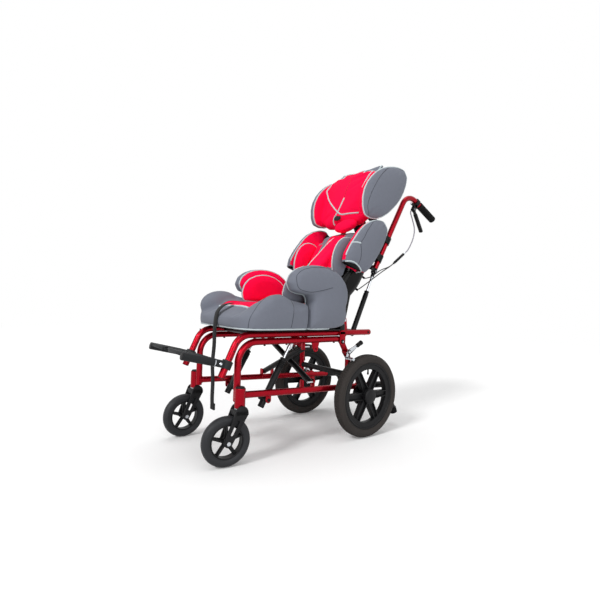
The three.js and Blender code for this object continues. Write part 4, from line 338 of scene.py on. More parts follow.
class GeometryTree:
    """A Geometry Nodes tree with named inputs, run once on a shape's mesh."""

    inputs: dict[str, str] = {}

    def __init__(self, name: str) -> None:
        """Makes the tree's sockets and nodes."""
        self.tree = bpy.data.node_groups.new(name, "GeometryNodeTree")
        face = self.tree.interface
        face.new_socket("Geometry", in_out="INPUT", socket_type="NodeSocketGeometry")
        face.new_socket("Geometry", in_out="OUTPUT", socket_type="NodeSocketGeometry")
        self.keys = {}
        for label, kind in {**self.inputs, "Material": "NodeSocketMaterial"}.items():
            self.keys[label] = face.new_socket(label, in_out="INPUT", socket_type=kind).identifier
        self.given = add_node(self.tree, "NodeGroupInput").outputs
        made = self.build(self.given["Geometry"])
        real = add_node(self.tree, "GeometryNodeRealizeInstances", {"Geometry": made})
        dressed = add_node(
            self.tree, "GeometryNodeSetMaterial", {"Geometry": real.outputs[0],
                "Material": self.given["Material"]}
        )
        add_node(self.tree, "NodeGroupOutput", {"Geometry": dressed.outputs[0]})

    def build(self, source: bpy.types.NodeSocket) -> bpy.types.NodeSocket:
        """Adds the nodes between the source geometry and the realised result."""
        raise NotImplementedError

    def run(self, points: np.ndarray, edges: list, faces: list, finish: Finish, **values: object) -> Shape:
        """Runs the tree on a mesh.

        Args:
            points: The source mesh's points.
            edges: Its loose edges.
            faces: Its faces.
            finish: What the result wears.
            **values: The tree's named inputs, with underscores for spaces.

        Returns:
            The realised shape, in the units of the points.
        """
        mesh = bpy.data.meshes.new("source")
        mesh.from_pydata([tuple(p) for p in points], edges, faces)
        item = bpy.data.objects.new("source", mesh)
        bpy.context.scene.collection.objects.link(item)
        modifier = item.modifiers.new("tree", "NODES")
        modifier.node_group = self.tree
        modifier[self.keys["Material"]] = finish.material()
        for label, value in values.items():
            modifier[self.keys[label.replace("_", " ")]] = value
        graph = bpy.context.evaluated_depsgraph_get()
        made = bpy.data.meshes.new_from_object(item.evaluated_get(graph), depsgraph=graph)
        shape = shape_of(made, finish)
        item.modifiers.remove(modifier)
        bpy.data.objects.remove(item)
        bpy.data.meshes.remove(mesh)
        bpy.data.meshes.remove(made)
        return shape


class SweepTree(GeometryTree):
    """A round section carried along a path of edges."""

    inputs = {"Radius": "NodeSocketFloat", "Sides": "NodeSocketInt"}

    def build(self, source: bpy.types.NodeSocket) -> bpy.types.NodeSocket:
        """Turns the edges into a curve and sweeps a circle along it."""
        path = add_node(self.tree, "GeometryNodeMeshToCurve", {"Mesh": source})
        circle = add_node(
            self.tree,
            "GeometryNodeCurvePrimitiveCircle",
            {"Resolution": self.given["Sides"], "Radius": self.given["Radius"]},
        )
        swept = add_node(
            self.tree,
            "GeometryNodeCurveToMesh",
            {"Curve": path.outputs[0], "Profile Curve": circle.outputs[0], "Fill Caps": True},
        )
        return swept.outputs[0]


class RingTree(GeometryTree):
    """Copies of the source, turned evenly about the X axis."""

    inputs = {"Count": "NodeSocketInt", "Start Angle": "NodeSocketFloat"}

    def build(self, source: bpy.types.NodeSocket) -> bpy.types.NodeSocket:
        """Puts every copy at the origin with its own turn."""
        places = add_node(self.tree, "GeometryNodePoints", {"Count": self.given["Count"]})
        index = add_node(self.tree, "GeometryNodeInputIndex")
        step = add_node(self.tree, "ShaderNodeMath", {0: math.tau, 1: self.given["Count"]},
            operation="DIVIDE")
        turned = add_node(self.tree, "ShaderNodeMath", {0: index.outputs[0], 1: step.outputs[0]},
            operation="MULTIPLY")
        angle = add_node(self.tree, "ShaderNodeMath", {0: turned.outputs[0], 1: self.given["Start Angle"]})
        euler = add_node(self.tree, "ShaderNodeCombineXYZ", {"X": angle.outputs[0]})
        rotation = add_node(self.tree, "FunctionNodeEulerToRotation", {0: euler.outputs[0]})
        copies = add_node(
            self.tree,
            "GeometryNodeInstanceOnPoints",
            {"Points": places.outputs[0], "Instance": source, "Rotation": rotation.outputs[0]},
        )
        return copies.outputs[0]


class RowTree(GeometryTree):
    """Copies of the source at even steps along a straight line."""

    inputs = {"Count": "NodeSocketInt", "Step": "NodeSocketVector"}

    def build(self, source: bpy.types.NodeSocket) -> bpy.types.NodeSocket:
        """Puts the copies on the points of a line."""
        line = add_node(
            self.tree, "GeometryNodeMeshLine", {"Count": self.given["Count"], "Offset": self.given["Step"]}
        )
        copies = add_node(
            self.tree, "GeometryNodeInstanceOnPoints", {"Points": line.outputs[0], "Instance": source}
        )
        return copies.outputs[0]


SWEEP = SweepTree("sweep_round_section")
RING = RingTree("ring_of_copies")
ROW = RowTree("row_of_copies")


def shape_of(mesh: bpy.types.Mesh, finish: Finish) -> Shape:
    """A mesh as a shape."""
    points = np.empty(len(mesh.vertices) * 3)
    mesh.vertices.foreach_get("co", points)
    return Shape(points.reshape(-1, 3), [tuple(p.vertices) for p in mesh.polygons], finish)


def rounded_path(corners: Sequence[Point], bends: Sequence[float], step_deg: float = 5.0) -> np.ndarray:
    """Points along a path whose inner corners are rounded.

    Args:
        corners: The path's corners.
        bends: The radius at each inner corner.
        step_deg: The turn between two points of a bend.

    Returns:
        The points in order.
    """
    places = [np.array(c, float) for c in corners]
    made = [places[0]]
    for i, radius in enumerate(bends, start=1):
        arriving = places[i] - places[i - 1]
        leaving = places[i + 1] - places[i]
        arriving /= np.linalg.norm(arriving)
        leaving /= np.linalg.norm(leaving)
        turn = math.acos(float(np.clip(arriving @ leaving, -1, 1)))
        side = leaving - arriving * math.cos(turn)
        side /= np.linalg.norm(side)
        start = places[i] - arriving * radius * math.tan(turn / 2)
        centre = start + side * radius
        steps = max(2, math.ceil(math.degrees(turn) / step_deg))
        for k in range(steps + 1):
            angle = turn * k / steps
            made.append(centre - side * radius * math.cos(angle) + arriving * radius * math.sin(angle))
    made.append(places[-1])
    return np.array(made)


def smooth_path(points: Sequence[Point], per_span: int = 8, closed: bool = False) -> np.ndarray:
    """Points on a smooth curve through the given ones."""
    places = [Vector(p) for p in points]
    if closed:
        places = [places[-1], *places, places[0], places[1]]
    else:
        places = [places[0] * 2 - places[1], *places, places[-1] * 2 - places[-2]]
    made = []
    for a, b, c, d in zip(places, places[1:], places[2:], places[3:]):
        for k in range(per_span):
            t = k / per_span
            made.append(0.5 * (2 * b + (c - a) * t + (2 * a - 5 * b + 4 * c - d) * t**2 + (3 * b - a - 3 * c + d) * t**3))
    if not closed:
        made.append(places[-2])
    return np.array([tuple(p) for p in made])


def tube(path: np.ndarray, radius: float, finish: Finish, sides: int = 28, closed: bool = False) -> Shape:
    """A round tube along a path, with flat ends."""
    count = len(path)
    edges = [(i, i + 1) for i in range(count - 1)] + ([(count - 1, 0)] if closed else [])
    return SWEEP.run(path, edges, [], finish, Radius=float(radius), Sides=sides)


def rod(start: Point, end: Point, radius: float, finish: Finish, sides: int = 28) -> Shape:
    """A straight round bar."""
    return tube(np.array([start, end], float), radius, finish, sides)


def cross_rod(x0: float, x1: float, y: float, z: float, radius: float, finish: Finish,
        sides: int = 28) -> Shape:
    """A straight round bar along X."""
    return rod((x0, y, z), (x1, y, z), radius, finish, sides)


def turned(profile: Sequence[Point], finish: Finish, sides: int = 64, axis: str = "Z") -> Shape:
    """A solid of revolution.

    Args:
        profile: Radius and place along the axis, on the axis at both ends or closing on itself.
        finish: What it wears.
        sides: Faces round the axis.
        axis: "X" or "Z".

    Returns:
        The closed shape, facing out.
    """
    closed = profile[0][0] > 0
    points, rings = [], []
    for radius, along in profile:
        if radius <= 0:
            rings.append([len(points)])
            points.append((0.0, 0.0, along))
            continue
        rings.append(list(range(len(points), len(points) + sides)))
        for k in range(sides):
            angle = math.tau * k / sides
            points.append((radius * math.cos(angle), radius * math.sin(angle), along))
    faces = []
    pairs = list(zip(rings, rings[1:])) + ([(rings[-1], rings[0])] if closed else [])
    for low, high in pairs:
        for k in range(sides):
            n = (k + 1) % sides
            corners = [low[k % len(low)], low[n % len(low)], high[n % len(high)], high[k % len(high)]]
            face = tuple(dict.fromkeys(corners))
            if len(face) > 2:
                faces.append(face)
    place = np.array(points)
    if axis == "X":
        place = place[:, [2, 0, 1]]
    return outward(Shape(place, faces, finish))


def outward(shape: Shape) -> Shape:
    """The shape with its faces turned out, judged by its signed volume."""
    volume = 0.0
    for face in shape.faces:
        a = shape.points[face[0]]
        for b, c in zip(face[1:], face[2:]):
            volume += a @ np.cross(shape.points[b], shape.points[c])
    return shape if volume > 0 else Shape(shape.points, [f[::-1] for f in shape.faces], shape.finish)


def arc(y: float, z: float, radius: float, start: float, end: float,
        count: int = 14) -> list[tuple[float, float]]:
    """Points on an arc, with angles in radians."""
    angles = np.linspace(start, end, count)
    return [(y + radius * math.cos(a), z + radius * math.sin(a)) for a in angles]


def link(a: Point, b: Point) -> list[tuple[float, float]]:
    """The outline round two circles and their outer tangents, each circle given as centre and radius."""
    length = math.hypot(b[0] - a[0], b[1] - a[1])
    along = math.atan2(b[1] - a[1], b[0] - a[0])
    spread = math.acos((a[2] - b[2]) / length)
    return [
        *arc(a[0], a[1], a[2], along + spread, along - spread + math.tau),
        *arc(b[0], b[1], b[2], along - spread, along + spread),
    ]


def rounded_rectangle(width: float, height: float, corner: float) -> list[tuple[float, float]]:
    """An outline about the origin with rounded corners."""
    x, y = width / 2 - corner, height / 2 - corner
    quarter = math.pi / 2
    places = ((x, y, 0), (-x, y, 1), (-x, -y, 2), (x, -y, 3))
    return [p for cx, cy, k in places for p in arc(cx, cy, corner, quarter * k, quarter * (k + 1), 6)]


def plate(outlines: Sequence[Sequence[Point]], thickness: float, finish: Finish, bevel: float = 0.8) -> Shape:
    """A flat plate about the plane z = 0, with rounded edges. Outlines inside the first are holes."""
    bevel = min(bevel, thickness * 0.45)
    data = bpy.data.curves.new("plate", "CURVE")
    data.dimensions = "2D"
    data.fill_mode = "BOTH"
    data.extrude = thickness / 2 - bevel
    data.bevel_depth = bevel
    data.bevel_resolution = 1
    data.offset = -bevel
    for outline in outlines:
        spline = data.splines.new("POLY")
        spline.points.add(len(outline) - 1)
        spline.points.foreach_set("co", [c for u, v in outline for c in (u, v, 0.0, 1.0)])
        spline.use_cyclic_u = True
    item = bpy.data.objects.new("plate", data)
    bpy.context.scene.collection.objects.link(item)
    graph = bpy.context.evaluated_depsgraph_get()
    mesh = bpy.data.meshes.new_from_object(item.evaluated_get(graph), depsgraph=graph)
    bpy.data.objects.remove(item)
    made = bmesh.new()
    made.from_mesh(mesh)
    bmesh.ops.remove_doubles(made, verts=made.verts, dist=1e-3)
    bmesh.ops.recalc_face_normals(made, faces=made.faces)
    made.to_mesh(mesh)
    made.free()
    shape = shape_of(mesh, finish)
    bpy.data.meshes.remove(mesh)
    return outward(shape)


SIDE_PLANE = Matrix(((0, 0, 1, 0), (1, 0, 0, 0), (0, 1, 0, 0), (0, 0, 0, 1)))


def side_plate(outlines: Sequence, x0: float, x1: float, finish: Finish, bevel: float = 0.8) -> Shape:
    """A plate whose outline is drawn in Y and Z, between two places along X."""
    flat = plate(outlines, abs(x1 - x0), finish, bevel)
    return flat.placed(Matrix.Translation(((x0 + x1) / 2, 0, 0)) @ SIDE_PLANE)


def block(x0: float, x1: float, y0: float, y1: float, z0: float, z1: float, finish: Finish,
        corner: float = 1.0) -> Shape:
    """A block with rounded edges."""
    outline = rounded_rectangle(abs(y1 - y0), abs(z1 - z0), min(corner * 1.5, abs(y1 - y0) / 2.1,
        abs(z1 - z0) / 2.1))
    made = side_plate([outline], x0, x1, finish, corner)
    return made.placed(Matrix.Translation((0, (y0 + y1) / 2, (z0 + z1) / 2)))


def loft(rings: Sequence[np.ndarray], finish: Finish) -> Shape:
    """A closed body through rings of equal counts, with a flat face at each end."""
    count = len(rings[0])
    faces = []
    for i in range(len(rings) - 1):
        for k in range(count):
            n = (k + 1) % count
            faces.append((i * count + k, i * count + n, (i + 1) * count + n, (i + 1) * count + k))
    last = (len(rings) - 1) * count
    faces += [tuple(range(count))[::-1], tuple(range(last, last + count))]
    return outward(Shape(np.concatenate(rings), faces, finish))


def crowned(outline: Sequence[Point], centre: Point, half: float, placing: Callable, finish: Finish) -> Shape:
    """A crowned pad: an outline about a centre, filled out to a half thickness on both faces.

    Args:
        outline: Points of the pad's outline.
        centre: Where its crown lies.
        half: Half of its thickness.
        placing: Turns outline places and a height over the middle plane into a point.
        finish: What it wears.

    Returns:
        The closed shape.
    """
    shares = ((1.0, 0.0), (0.96, 0.5), (0.84, 0.83), (0.5, 1.0))
    rings = []
    for reach, lift in [*reversed(shares), *[(a, -b) for a, b in shares[1:]]]:
        spots = [(centre[0] + (u - centre[0]) * reach, centre[1] + (v - centre[1]) * reach) for u,
            v in outline]
        rings.append(np.array([placing(u, v, lift * half) for u, v in spots]))
    return loft(rings, finish)


def bolt(x: float, y: float, z: float, radius: float, out: int, finish: Finish = ZINC) -> Shape:
    """A domed screw head with a hexagon socket, facing along X."""
    height = radius * 0.6
    socket = radius * 0.45
    profile = [
        (0, 0), (radius, 0), (radius, height * 0.35), (radius * 0.8, height * 0.85), (socket * 1.1, height),
        (socket, height * 0.95), (socket, height * 0.3), (0, height * 0.3),
    ]
    head = turned(profile, finish, 24, "X")
    if out < 0:
        head = head.mirrored()
    return head.placed(Matrix.Translation((x, y, z)))


def weld_bead(centre: Point, axis: Point, radius: float, thickness: float = 2.0) -> Shape:
    """The bead that a weld leaves round a tube, painted over."""
    angles = np.linspace(0, math.tau, 33)[:-1]
    turn = Vector(axis).to_track_quat("Z", "X").to_matrix()
    ring = [Vector(centre) + turn @ Vector((radius * math.cos(a), radius * math.sin(a), 0)) for a in angles]
    return tube(np.array(ring), thickness, LACQUER, 8, closed=True)


def make_mesh(name: str, shapes: Sequence[Shape], matrix: Matrix,
        sharp_deg: float = 38.0) -> bpy.types.Object:
    """One object of several shapes, smooth except at its sharp edges.

    Args:
        name: The object's name.
        shapes: Shapes in one frame.
        matrix: From that frame to the row frame.
        sharp_deg: The least angle that stays a crisp edge.

    Returns:
        The linked object, at the origin.
    """
    points, faces, marks, finishes, start = [], [], [], [], 0
    for shape in shapes:
        placed = shape.placed(matrix)
        if placed.finish not in finishes:
            finishes.append(placed.finish)
        points.append(placed.points)
        faces += [tuple(v + start for v in f) for f in placed.faces]
        marks += [finishes.index(placed.finish)] * len(placed.faces)
        start += len(placed.points)
    mesh = bpy.data.meshes.new(name)
    mesh.from_pydata(np.concatenate(points).tolist(), [], faces)
    for finish in finishes:
        mesh.materials.append(finish.material())
    mesh.polygons.foreach_set("material_index", marks)
    mesh.shade_smooth()
    mesh.set_sharp_from_angle(angle=math.radians(sharp_deg))
    mesh.update()
    item = bpy.data.objects.new(name, mesh)
    bpy.context.scene.collection.objects.link(item)
    return item


def fit_piece(item: bpy.types.Object, body: str, nodes: Sequence[str] = ()) -> bpy.types.Object:
    """Seats a finished piece on its body and takes the place of CAD nodes."""
    if nodes:
        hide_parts(*nodes)
    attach(item, body)
    LOG.info("%s on %s: %d faces", item.name, body, len(item.data.polygons))
    return item


def add_piece(
    name: str, shapes: Sequence[Shape], body: str, nodes: Sequence[str] = (), matrix: Matrix | None = None
) -> bpy.types.Object:
    """Makes a rigid piece of shapes in a frame and seats it on a body."""
    item = make_mesh(name, shapes, DATUM.chair if matrix is None else matrix)
    return fit_piece(item, body, nodes)


@dataclass
class SideFrames:
    """The two welded side frames with their caster barrels, stub axles and lugs."""

    half_width: float = 142.0
    tube_radius: float = 11.1
    rail_z: float = 369.5
    front_y: float = -380.0
    foot_z: float = 188.0
    low_front_z: float = 205.0
    low_rear: tuple[float, float] = (240.0, 179.0)
    upright: tuple[float, float] = (95.0, 298.0)
    rail_rear_y: float = 52.0
    bends: tuple[float, float, float] = (65.0, 30.0, 30.0)
    barrel: tuple[float, float] = (168.0, -383.0)
    barrel_radius: float = 16.8
    barrel_z: tuple[float, float] = (173.5, 233.0)
    axle: tuple[float, float] = (152.0, 156.0)
    axle_radius: float = 6.0
    axle_tip_x: float = 210.7
    tilt_pivot: tuple[float, float] = (50.0, 360.0)
    strut_foot: tuple[float, float] = (-262.0, 176.0)
    lock_pivot: tuple[float, float] = (74.0, 322.0)
    brace_y: float = -104.0
    brace_pitch: float = 24.5
    brace_z: tuple[float, float] = (345.0, 217.0)
    brace_radius: float = 10.5

    def low_z(self, y: float) -> float:
        """Height of the lower rail's centre line."""
        share = (y - self.front_y) / (self.low_rear[0] - self.front_y)
        return self.low_front_z + (self.low_rear[1] - self.low_front_z) * share

    def tubes(self) -> list[Shape]:
        """The bent loop and the lower rail, with their weld beads."""
        x, r = self.half_width, self.tube_radius
        corners = [
            (x, self.front_y, self.foot_z), (x, self.front_y, self.rail_z),
                (x, self.rail_rear_y, self.rail_z),
            (x, *self.upright), (x, self.upright[0], self.low_z(self.upright[0])),
        ]
        low_y, low_end_z = self.low_rear
        slope = (0, low_y - self.front_y, low_end_z - self.low_front_z)
        front_weld = (x, self.front_y + r, self.low_z(self.front_y + r))
        rear_weld = (x, self.upright[0], self.low_z(self.upright[0]) + r)
        return [
            tube(rounded_path(corners, self.bends), r, LACQUER, 36),
            rod((x, self.front_y, self.low_front_z), (x, low_y, low_end_z), r, LACQUER, 36),
            weld_bead(front_weld, slope, r - 0.4),
            weld_bead(rear_weld, (0, 0, 1), r - 0.4),
        ]

    def front(self) -> list[Shape]:
        """The caster barrel, its gusset and the plug in the tube's open foot."""
        (bx, by), (low, high), r = self.barrel, self.barrel_z, self.barrel_radius
        lip = 1.2
        profile = [(9, low), (r - lip, low), (r, low + lip), (r, high - lip), (r - lip, high), (9, high)]
        barrel = turned(profile, LACQUER, 48).placed(Matrix.Translation((bx, by, 0)))
        gusset = block(self.half_width, bx, by - 6, by + 6, self.foot_z, high - 5, LACQUER)
        plug = rod((self.half_width, self.front_y, self.foot_z - 2),
            (self.half_width, self.front_y, self.foot_z + 3),
                   self.tube_radius - 1.2, NYLON)
        return [barrel, gusset, plug]

    def axle_parts(self) -> list[Shape]:
        """The axle plate, the stub axle and the pivots of the seat tilt and the wheel lock."""
        x, (ay, az) = self.half_width, self.axle
        ty, tz = self.tilt_pivot
        ly, lz = self.lock_pivot
        return [
            side_plate([link((ay, self.low_z(ay), 17.0), (ay, az, 16.5))], x - 3, x + 3, LACQUER, 1.0),
            cross_rod(x, self.axle_tip_x, ay, az, self.axle_radius, ZINC),
            cross_rod(x, x + 19, ty, tz, 5, ZINC),
            bolt(x + 15.5, ty, tz, 8, 1, NYLON),
            side_plate([link((ly, lz, 10), (*self.upright, self.tube_radius))], x - 3, x + 3, LACQUER, 0.9),
            cross_rod(x, x + 23.7, ly, lz, 10, LACQUER),
            cross_rod(x, x + 32.5, ly, lz, 4, ZINC),
            bolt(x + 29.5, ly, lz, 6.5, 1),
        ]

    def lugs(self) -> list[Shape]:
        """Lugs for the brace tubes and the gas spring, the bracket under the rail and the small plugs."""
        x, r = self.half_width, self.tube_radius
        made = []
        room = self.brace_radius + 0.3
        high_z, low_z = self.brace_z
        for y in (self.brace_y - room, self.brace_y + self.brace_pitch + room + 4):
            made.append(self.lug(y, self.rail_z, high_z))
            made.append(self.lug(y, self.low_z(y), low_z))
        fy, fz = self.strut_foot
        made.append(side_plate([link((fy, self.low_z(fy), 9.5), (fy, fz, 9.6))], x - 3, x + 3, LACQUER, 1.0))
        made.append(cross_rod(x - 13, x, fy, fz, 5, ZINC))
        made.append(bolt(x + 3, fy, fz, 6, 1, NYLON))
        tab = [(-90, self.rail_z - r + 2), (-54, self.rail_z - r + 2), (-60, 336),
            *arc(-70, 336, 10, 0, -math.pi, 10)]
        hole = arc(-70, 336, 3.6, 0, math.tau, 17)[:-1]
        made.append(side_plate([tab, hole], x + 1, x + 5, LACQUER, 1.0))
        for y in (-284, -196, 20):
            made.append(rod((x, y, self.rail_z - r - 3.5), (x, y, self.rail_z - r + 2), 3.6, NYLON, 16))
        return made

    def lug(self, y: float, rail_z: float, end_z: float) -> Shape:
        """A lug between a rail and the end of a brace tube."""
        x, reach, r = self.half_width, 20.0, 12.0
        low, high = min(rail_z, end_z - r), max(rail_z, end_z + r)
        outline = rounded_rectangle(reach, high - low, 6)
        flat = plate([outline], 4, LACQUER, 0.8)
        turn = Matrix.Rotation(math.radians(90), 4, "X")
        return flat.placed(Matrix.Translation((x - reach / 2, y - 2, (low + high) / 2)) @ turn)

    def build(self) -> None:
        """Makes both side frames."""
        shapes = [*self.tubes(), *self.front(), *self.axle_parts(), *self.lugs()]
        for side, sign in SIDES:
            add_piece(f"frame_{side}", to_side(sign, shapes), "base", [f"side_frame_{side}"])


@dataclass
class CrossMembers:
    """Black tubes across the chair: the folding brace, the rear tube and the seat's two bars."""

    brace_y: float = -104.0
    brace_pitch: float = 24.5
    brace_reach: float = 134.0
    brace_z: tuple[float, float] = (345.0, 217.0)
    brace_radius: float = 10.5
    rear_tube: tuple[float, float] = (95.0, 232.0)
    seat_bars: tuple[tuple[float, float], ...] = ((-285.0, 392.4), (198.0, 388.4))

    def brace(self, sign: int, y: float) -> list[Shape]:
        """One brace tube with its flattened ends' pins."""
        high, low = self.brace_z
        ends = [(sign * self.brace_reach, y, high), (-sign * self.brace_reach, y, low)]
        pins = [rod((x, y - 12.6, z), (x, y + 12.6, z), 4.5, ZINC, 16) for x, _, z in ends]
        return [rod(*ends, self.brace_radius, POWDER), *pins]

    def build(self) -> None:
        """Makes the tubes."""
        rear_y = self.brace_y + self.brace_pitch
        middle = sum(self.brace_z) / 2
        pin = rod((0, self.brace_y, middle), (0, rear_y + 15.5, middle), 5, ZINC, 20)
        nuts = [
            rod((0, self.brace_y - 13.5, middle), (0, self.brace_y - 9.5, middle), 8.5, ZINC, 6),
            rod((0, rear_y + 10.6, middle), (0, rear_y + 15.2, middle), 8, NYLON, 6),
        ]
        add_piece("brace_front", [*self.brace(1, self.brace_y), pin, *nuts], "base", ["brace_bar_front"])
        add_piece("brace_rear", self.brace(-1, rear_y), "base", ["brace_bar_rear"])
        y, z = self.rear_tube
        add_piece("cross_tube_rear", [cross_rod(-130.6, 130.6, y, z, 11, POWDER)], "base",
            ["rear_cross_tube"])
        for name, (y, z) in zip(("front", "rear"), self.seat_bars):
            shapes = [cross_rod(-128.1, 128.1, y, z, 9.5, POWDER)]
            add_piece(f"seat_bar_{name}", shapes, "seat", [f"seat_cross_bar_{name}"])


@dataclass
class RearWheels:
    """Pneumatic tyres on moulded six-spoke rims, with drum brakes inboard of them."""

    radius: float = 156.0
    tyre_width: float = 44.0
    tyre_depth: float = 31.0
    band: float = 25.0
    rim_width: float = 31.0
    spokes: int = 6
    tread_count: int = 104
    track: float = 190.0
    axle: tuple[float, float] = (152.0, 156.0)

    def tyre(self) -> list[Shape]:
        """The tyre's section with a raised sidewall ring, and its tread blocks."""
        w, r, d = self.tyre_width / 2, self.radius, self.tyre_depth
        half = [
            (r - d, w * 0.66), (r - d * 0.93, w * 0.80), (r - d * 0.80, w * 0.90), (r - d * 0.66, w * 0.955),
            (r - d * 0.60, w * 0.99), (r - d * 0.54, w * 0.995), (r - d * 0.49, w * 0.965),
                (r - d * 0.38, w * 0.95),
            (r - d * 0.28, w * 0.88), (r - d * 0.19, w * 0.76), (r - d * 0.11, w * 0.58),
                (r - d * 0.065, w * 0.34),
            (r - d * 0.05, w * 0.14),
        ]
        profile = [*half, *[(a, -b) for a, b in reversed(half)]]
        shapes = [turned(profile, TYRE, 128, "X")]
        pitch = math.tau * r / self.tread_count
        for row, (across, lean, drop) in enumerate(((0, 0, 1.6), (6.6, 0.03, 1.9), (-6.6, 0.03, 1.9), (12.4,
                0.32, 3.9), (-12.4, 0.32, 3.9))):
            lump = block(-2.5, 2.5, -pitch * 0.33, pitch * 0.33, -2.4, 1.4, TYRE, 0.5)
            tilt = Matrix.Rotation(math.copysign(lean * 2.2, across), 4, "Y")
            lump = lump.placed(Matrix.Translation((across, 0,
                r - drop)) @ tilt @ Matrix.Rotation(0.35 * (-1) ** row, 4, "Z"))
            start = pitch / r / 2 * (row % 2)
            shapes.append(RING.run(lump.points, [], lump.faces, TYRE, Count=self.tread_count,
                Start_Angle=start))
        return shapes

    def rim(self) -> list[Shape]:
        """The rim's band, its hub with a domed cap and its ring of ribbed spokes."""
        outer = self.radius - self.tyre_depth - 0.3
        inner = outer - self.band
        w = self.rim_width / 2
        half = [
            (outer, w), (outer - 3, w + 1.2), (outer - 6, w + 0.6), (outer - 8, w - 2.5),
                (inner + 9, w - 3.5),
            (inner + 5, w - 4), (inner + 1, w * 0.72), (inner, w * 0.62),
        ]
        profile = [*half, *[(a, -b) for a, b in reversed(half)]]
        shapes = [turned(profile, NYLON, 128, "X")]
        hub = [(0, -17), (22, -17), (27, -14), (27, 20.4), (28.5, 20.8), (28.5, 23), (26.5, 25.3),
            (22, 26.9), (14, 28.1), (0, 28.5)]
        shapes.append(turned(hub, NYLON, 64, "X"))
        start, end = 20.0, inner + 8
        root, tip = 15.0, 11.0
        web = [(-root + 2, start), (root - 2, start), (tip - 1, end), (-tip + 1, end)]
        left = [(-root, start), (-root + 4.4, start), (-tip + 4, end), (-tip, end)]
        right = [(-y, z) for y, z in left]
        for outline, depth in ((web, 9), (left, 22), (right, 22)):
            part = side_plate([outline], -depth / 2, depth / 2, NYLON, 1.2)
            shapes.append(
                RING.run(part.points, [], part.faces, NYLON, Count=self.spokes,
                    Start_Angle=math.pi / self.spokes)
            )
        return shapes

    def valve(self) -> list[Shape]:
        """The tyre's valve stem, between two spokes on the outer face."""
        inner = self.radius - self.tyre_depth - self.band
        stem = rod((5, 0, inner - 14), (5, 0, inner + 2), 3, NYLON, 16)
        cap = rod((5, 0, inner - 20), (5, 0, inner - 13), 3.8, NYLON, 16)
        return [stem, cap]

    def brake(self) -> list[Shape]:
        """The drum brake's housing with its arm and the adjuster on it."""
        y, z = self.axle
        drum = [(6.3, 153), (34, 153), (37, 154), (40, 157), (42, 160), (42, 168.5), (41, 170), (6.3, 170)]
        shapes = [turned(drum, POWDER, 64, "X").placed(Matrix.Translation((0, y, z)))]
        top = z + 64
        shapes.append(side_plate([link((y, z + 21, 12), (y - 22, top, 6))], 153, 157, ZINC, 0.8))
        shapes.append(bolt(153, y - 22, top, 4.5, -1))
        shapes.append(bolt(153, y, z + 30, 4.5, -1))
        return shapes

    def build(self) -> None:
        """Makes both wheels and brakes."""
        for side, sign in SIDES:
            place = DATUM.chair @ Matrix.Translation((sign * self.track, *self.axle))
            body = f"rear_wheel_{side}"
            add_piece(f"tyre_{side}", to_side(sign, self.tyre()), body, [f"rear_tyre_{side}"], place)
            add_piece(f"rim_{side}", to_side(sign, [*self.rim(), *self.valve()]), body,
                [f"rear_rim_{side}"], place)
            add_piece(f"brake_{side}", to_side(sign, self.brake()), "base", [f"drum_brake_{side}"])


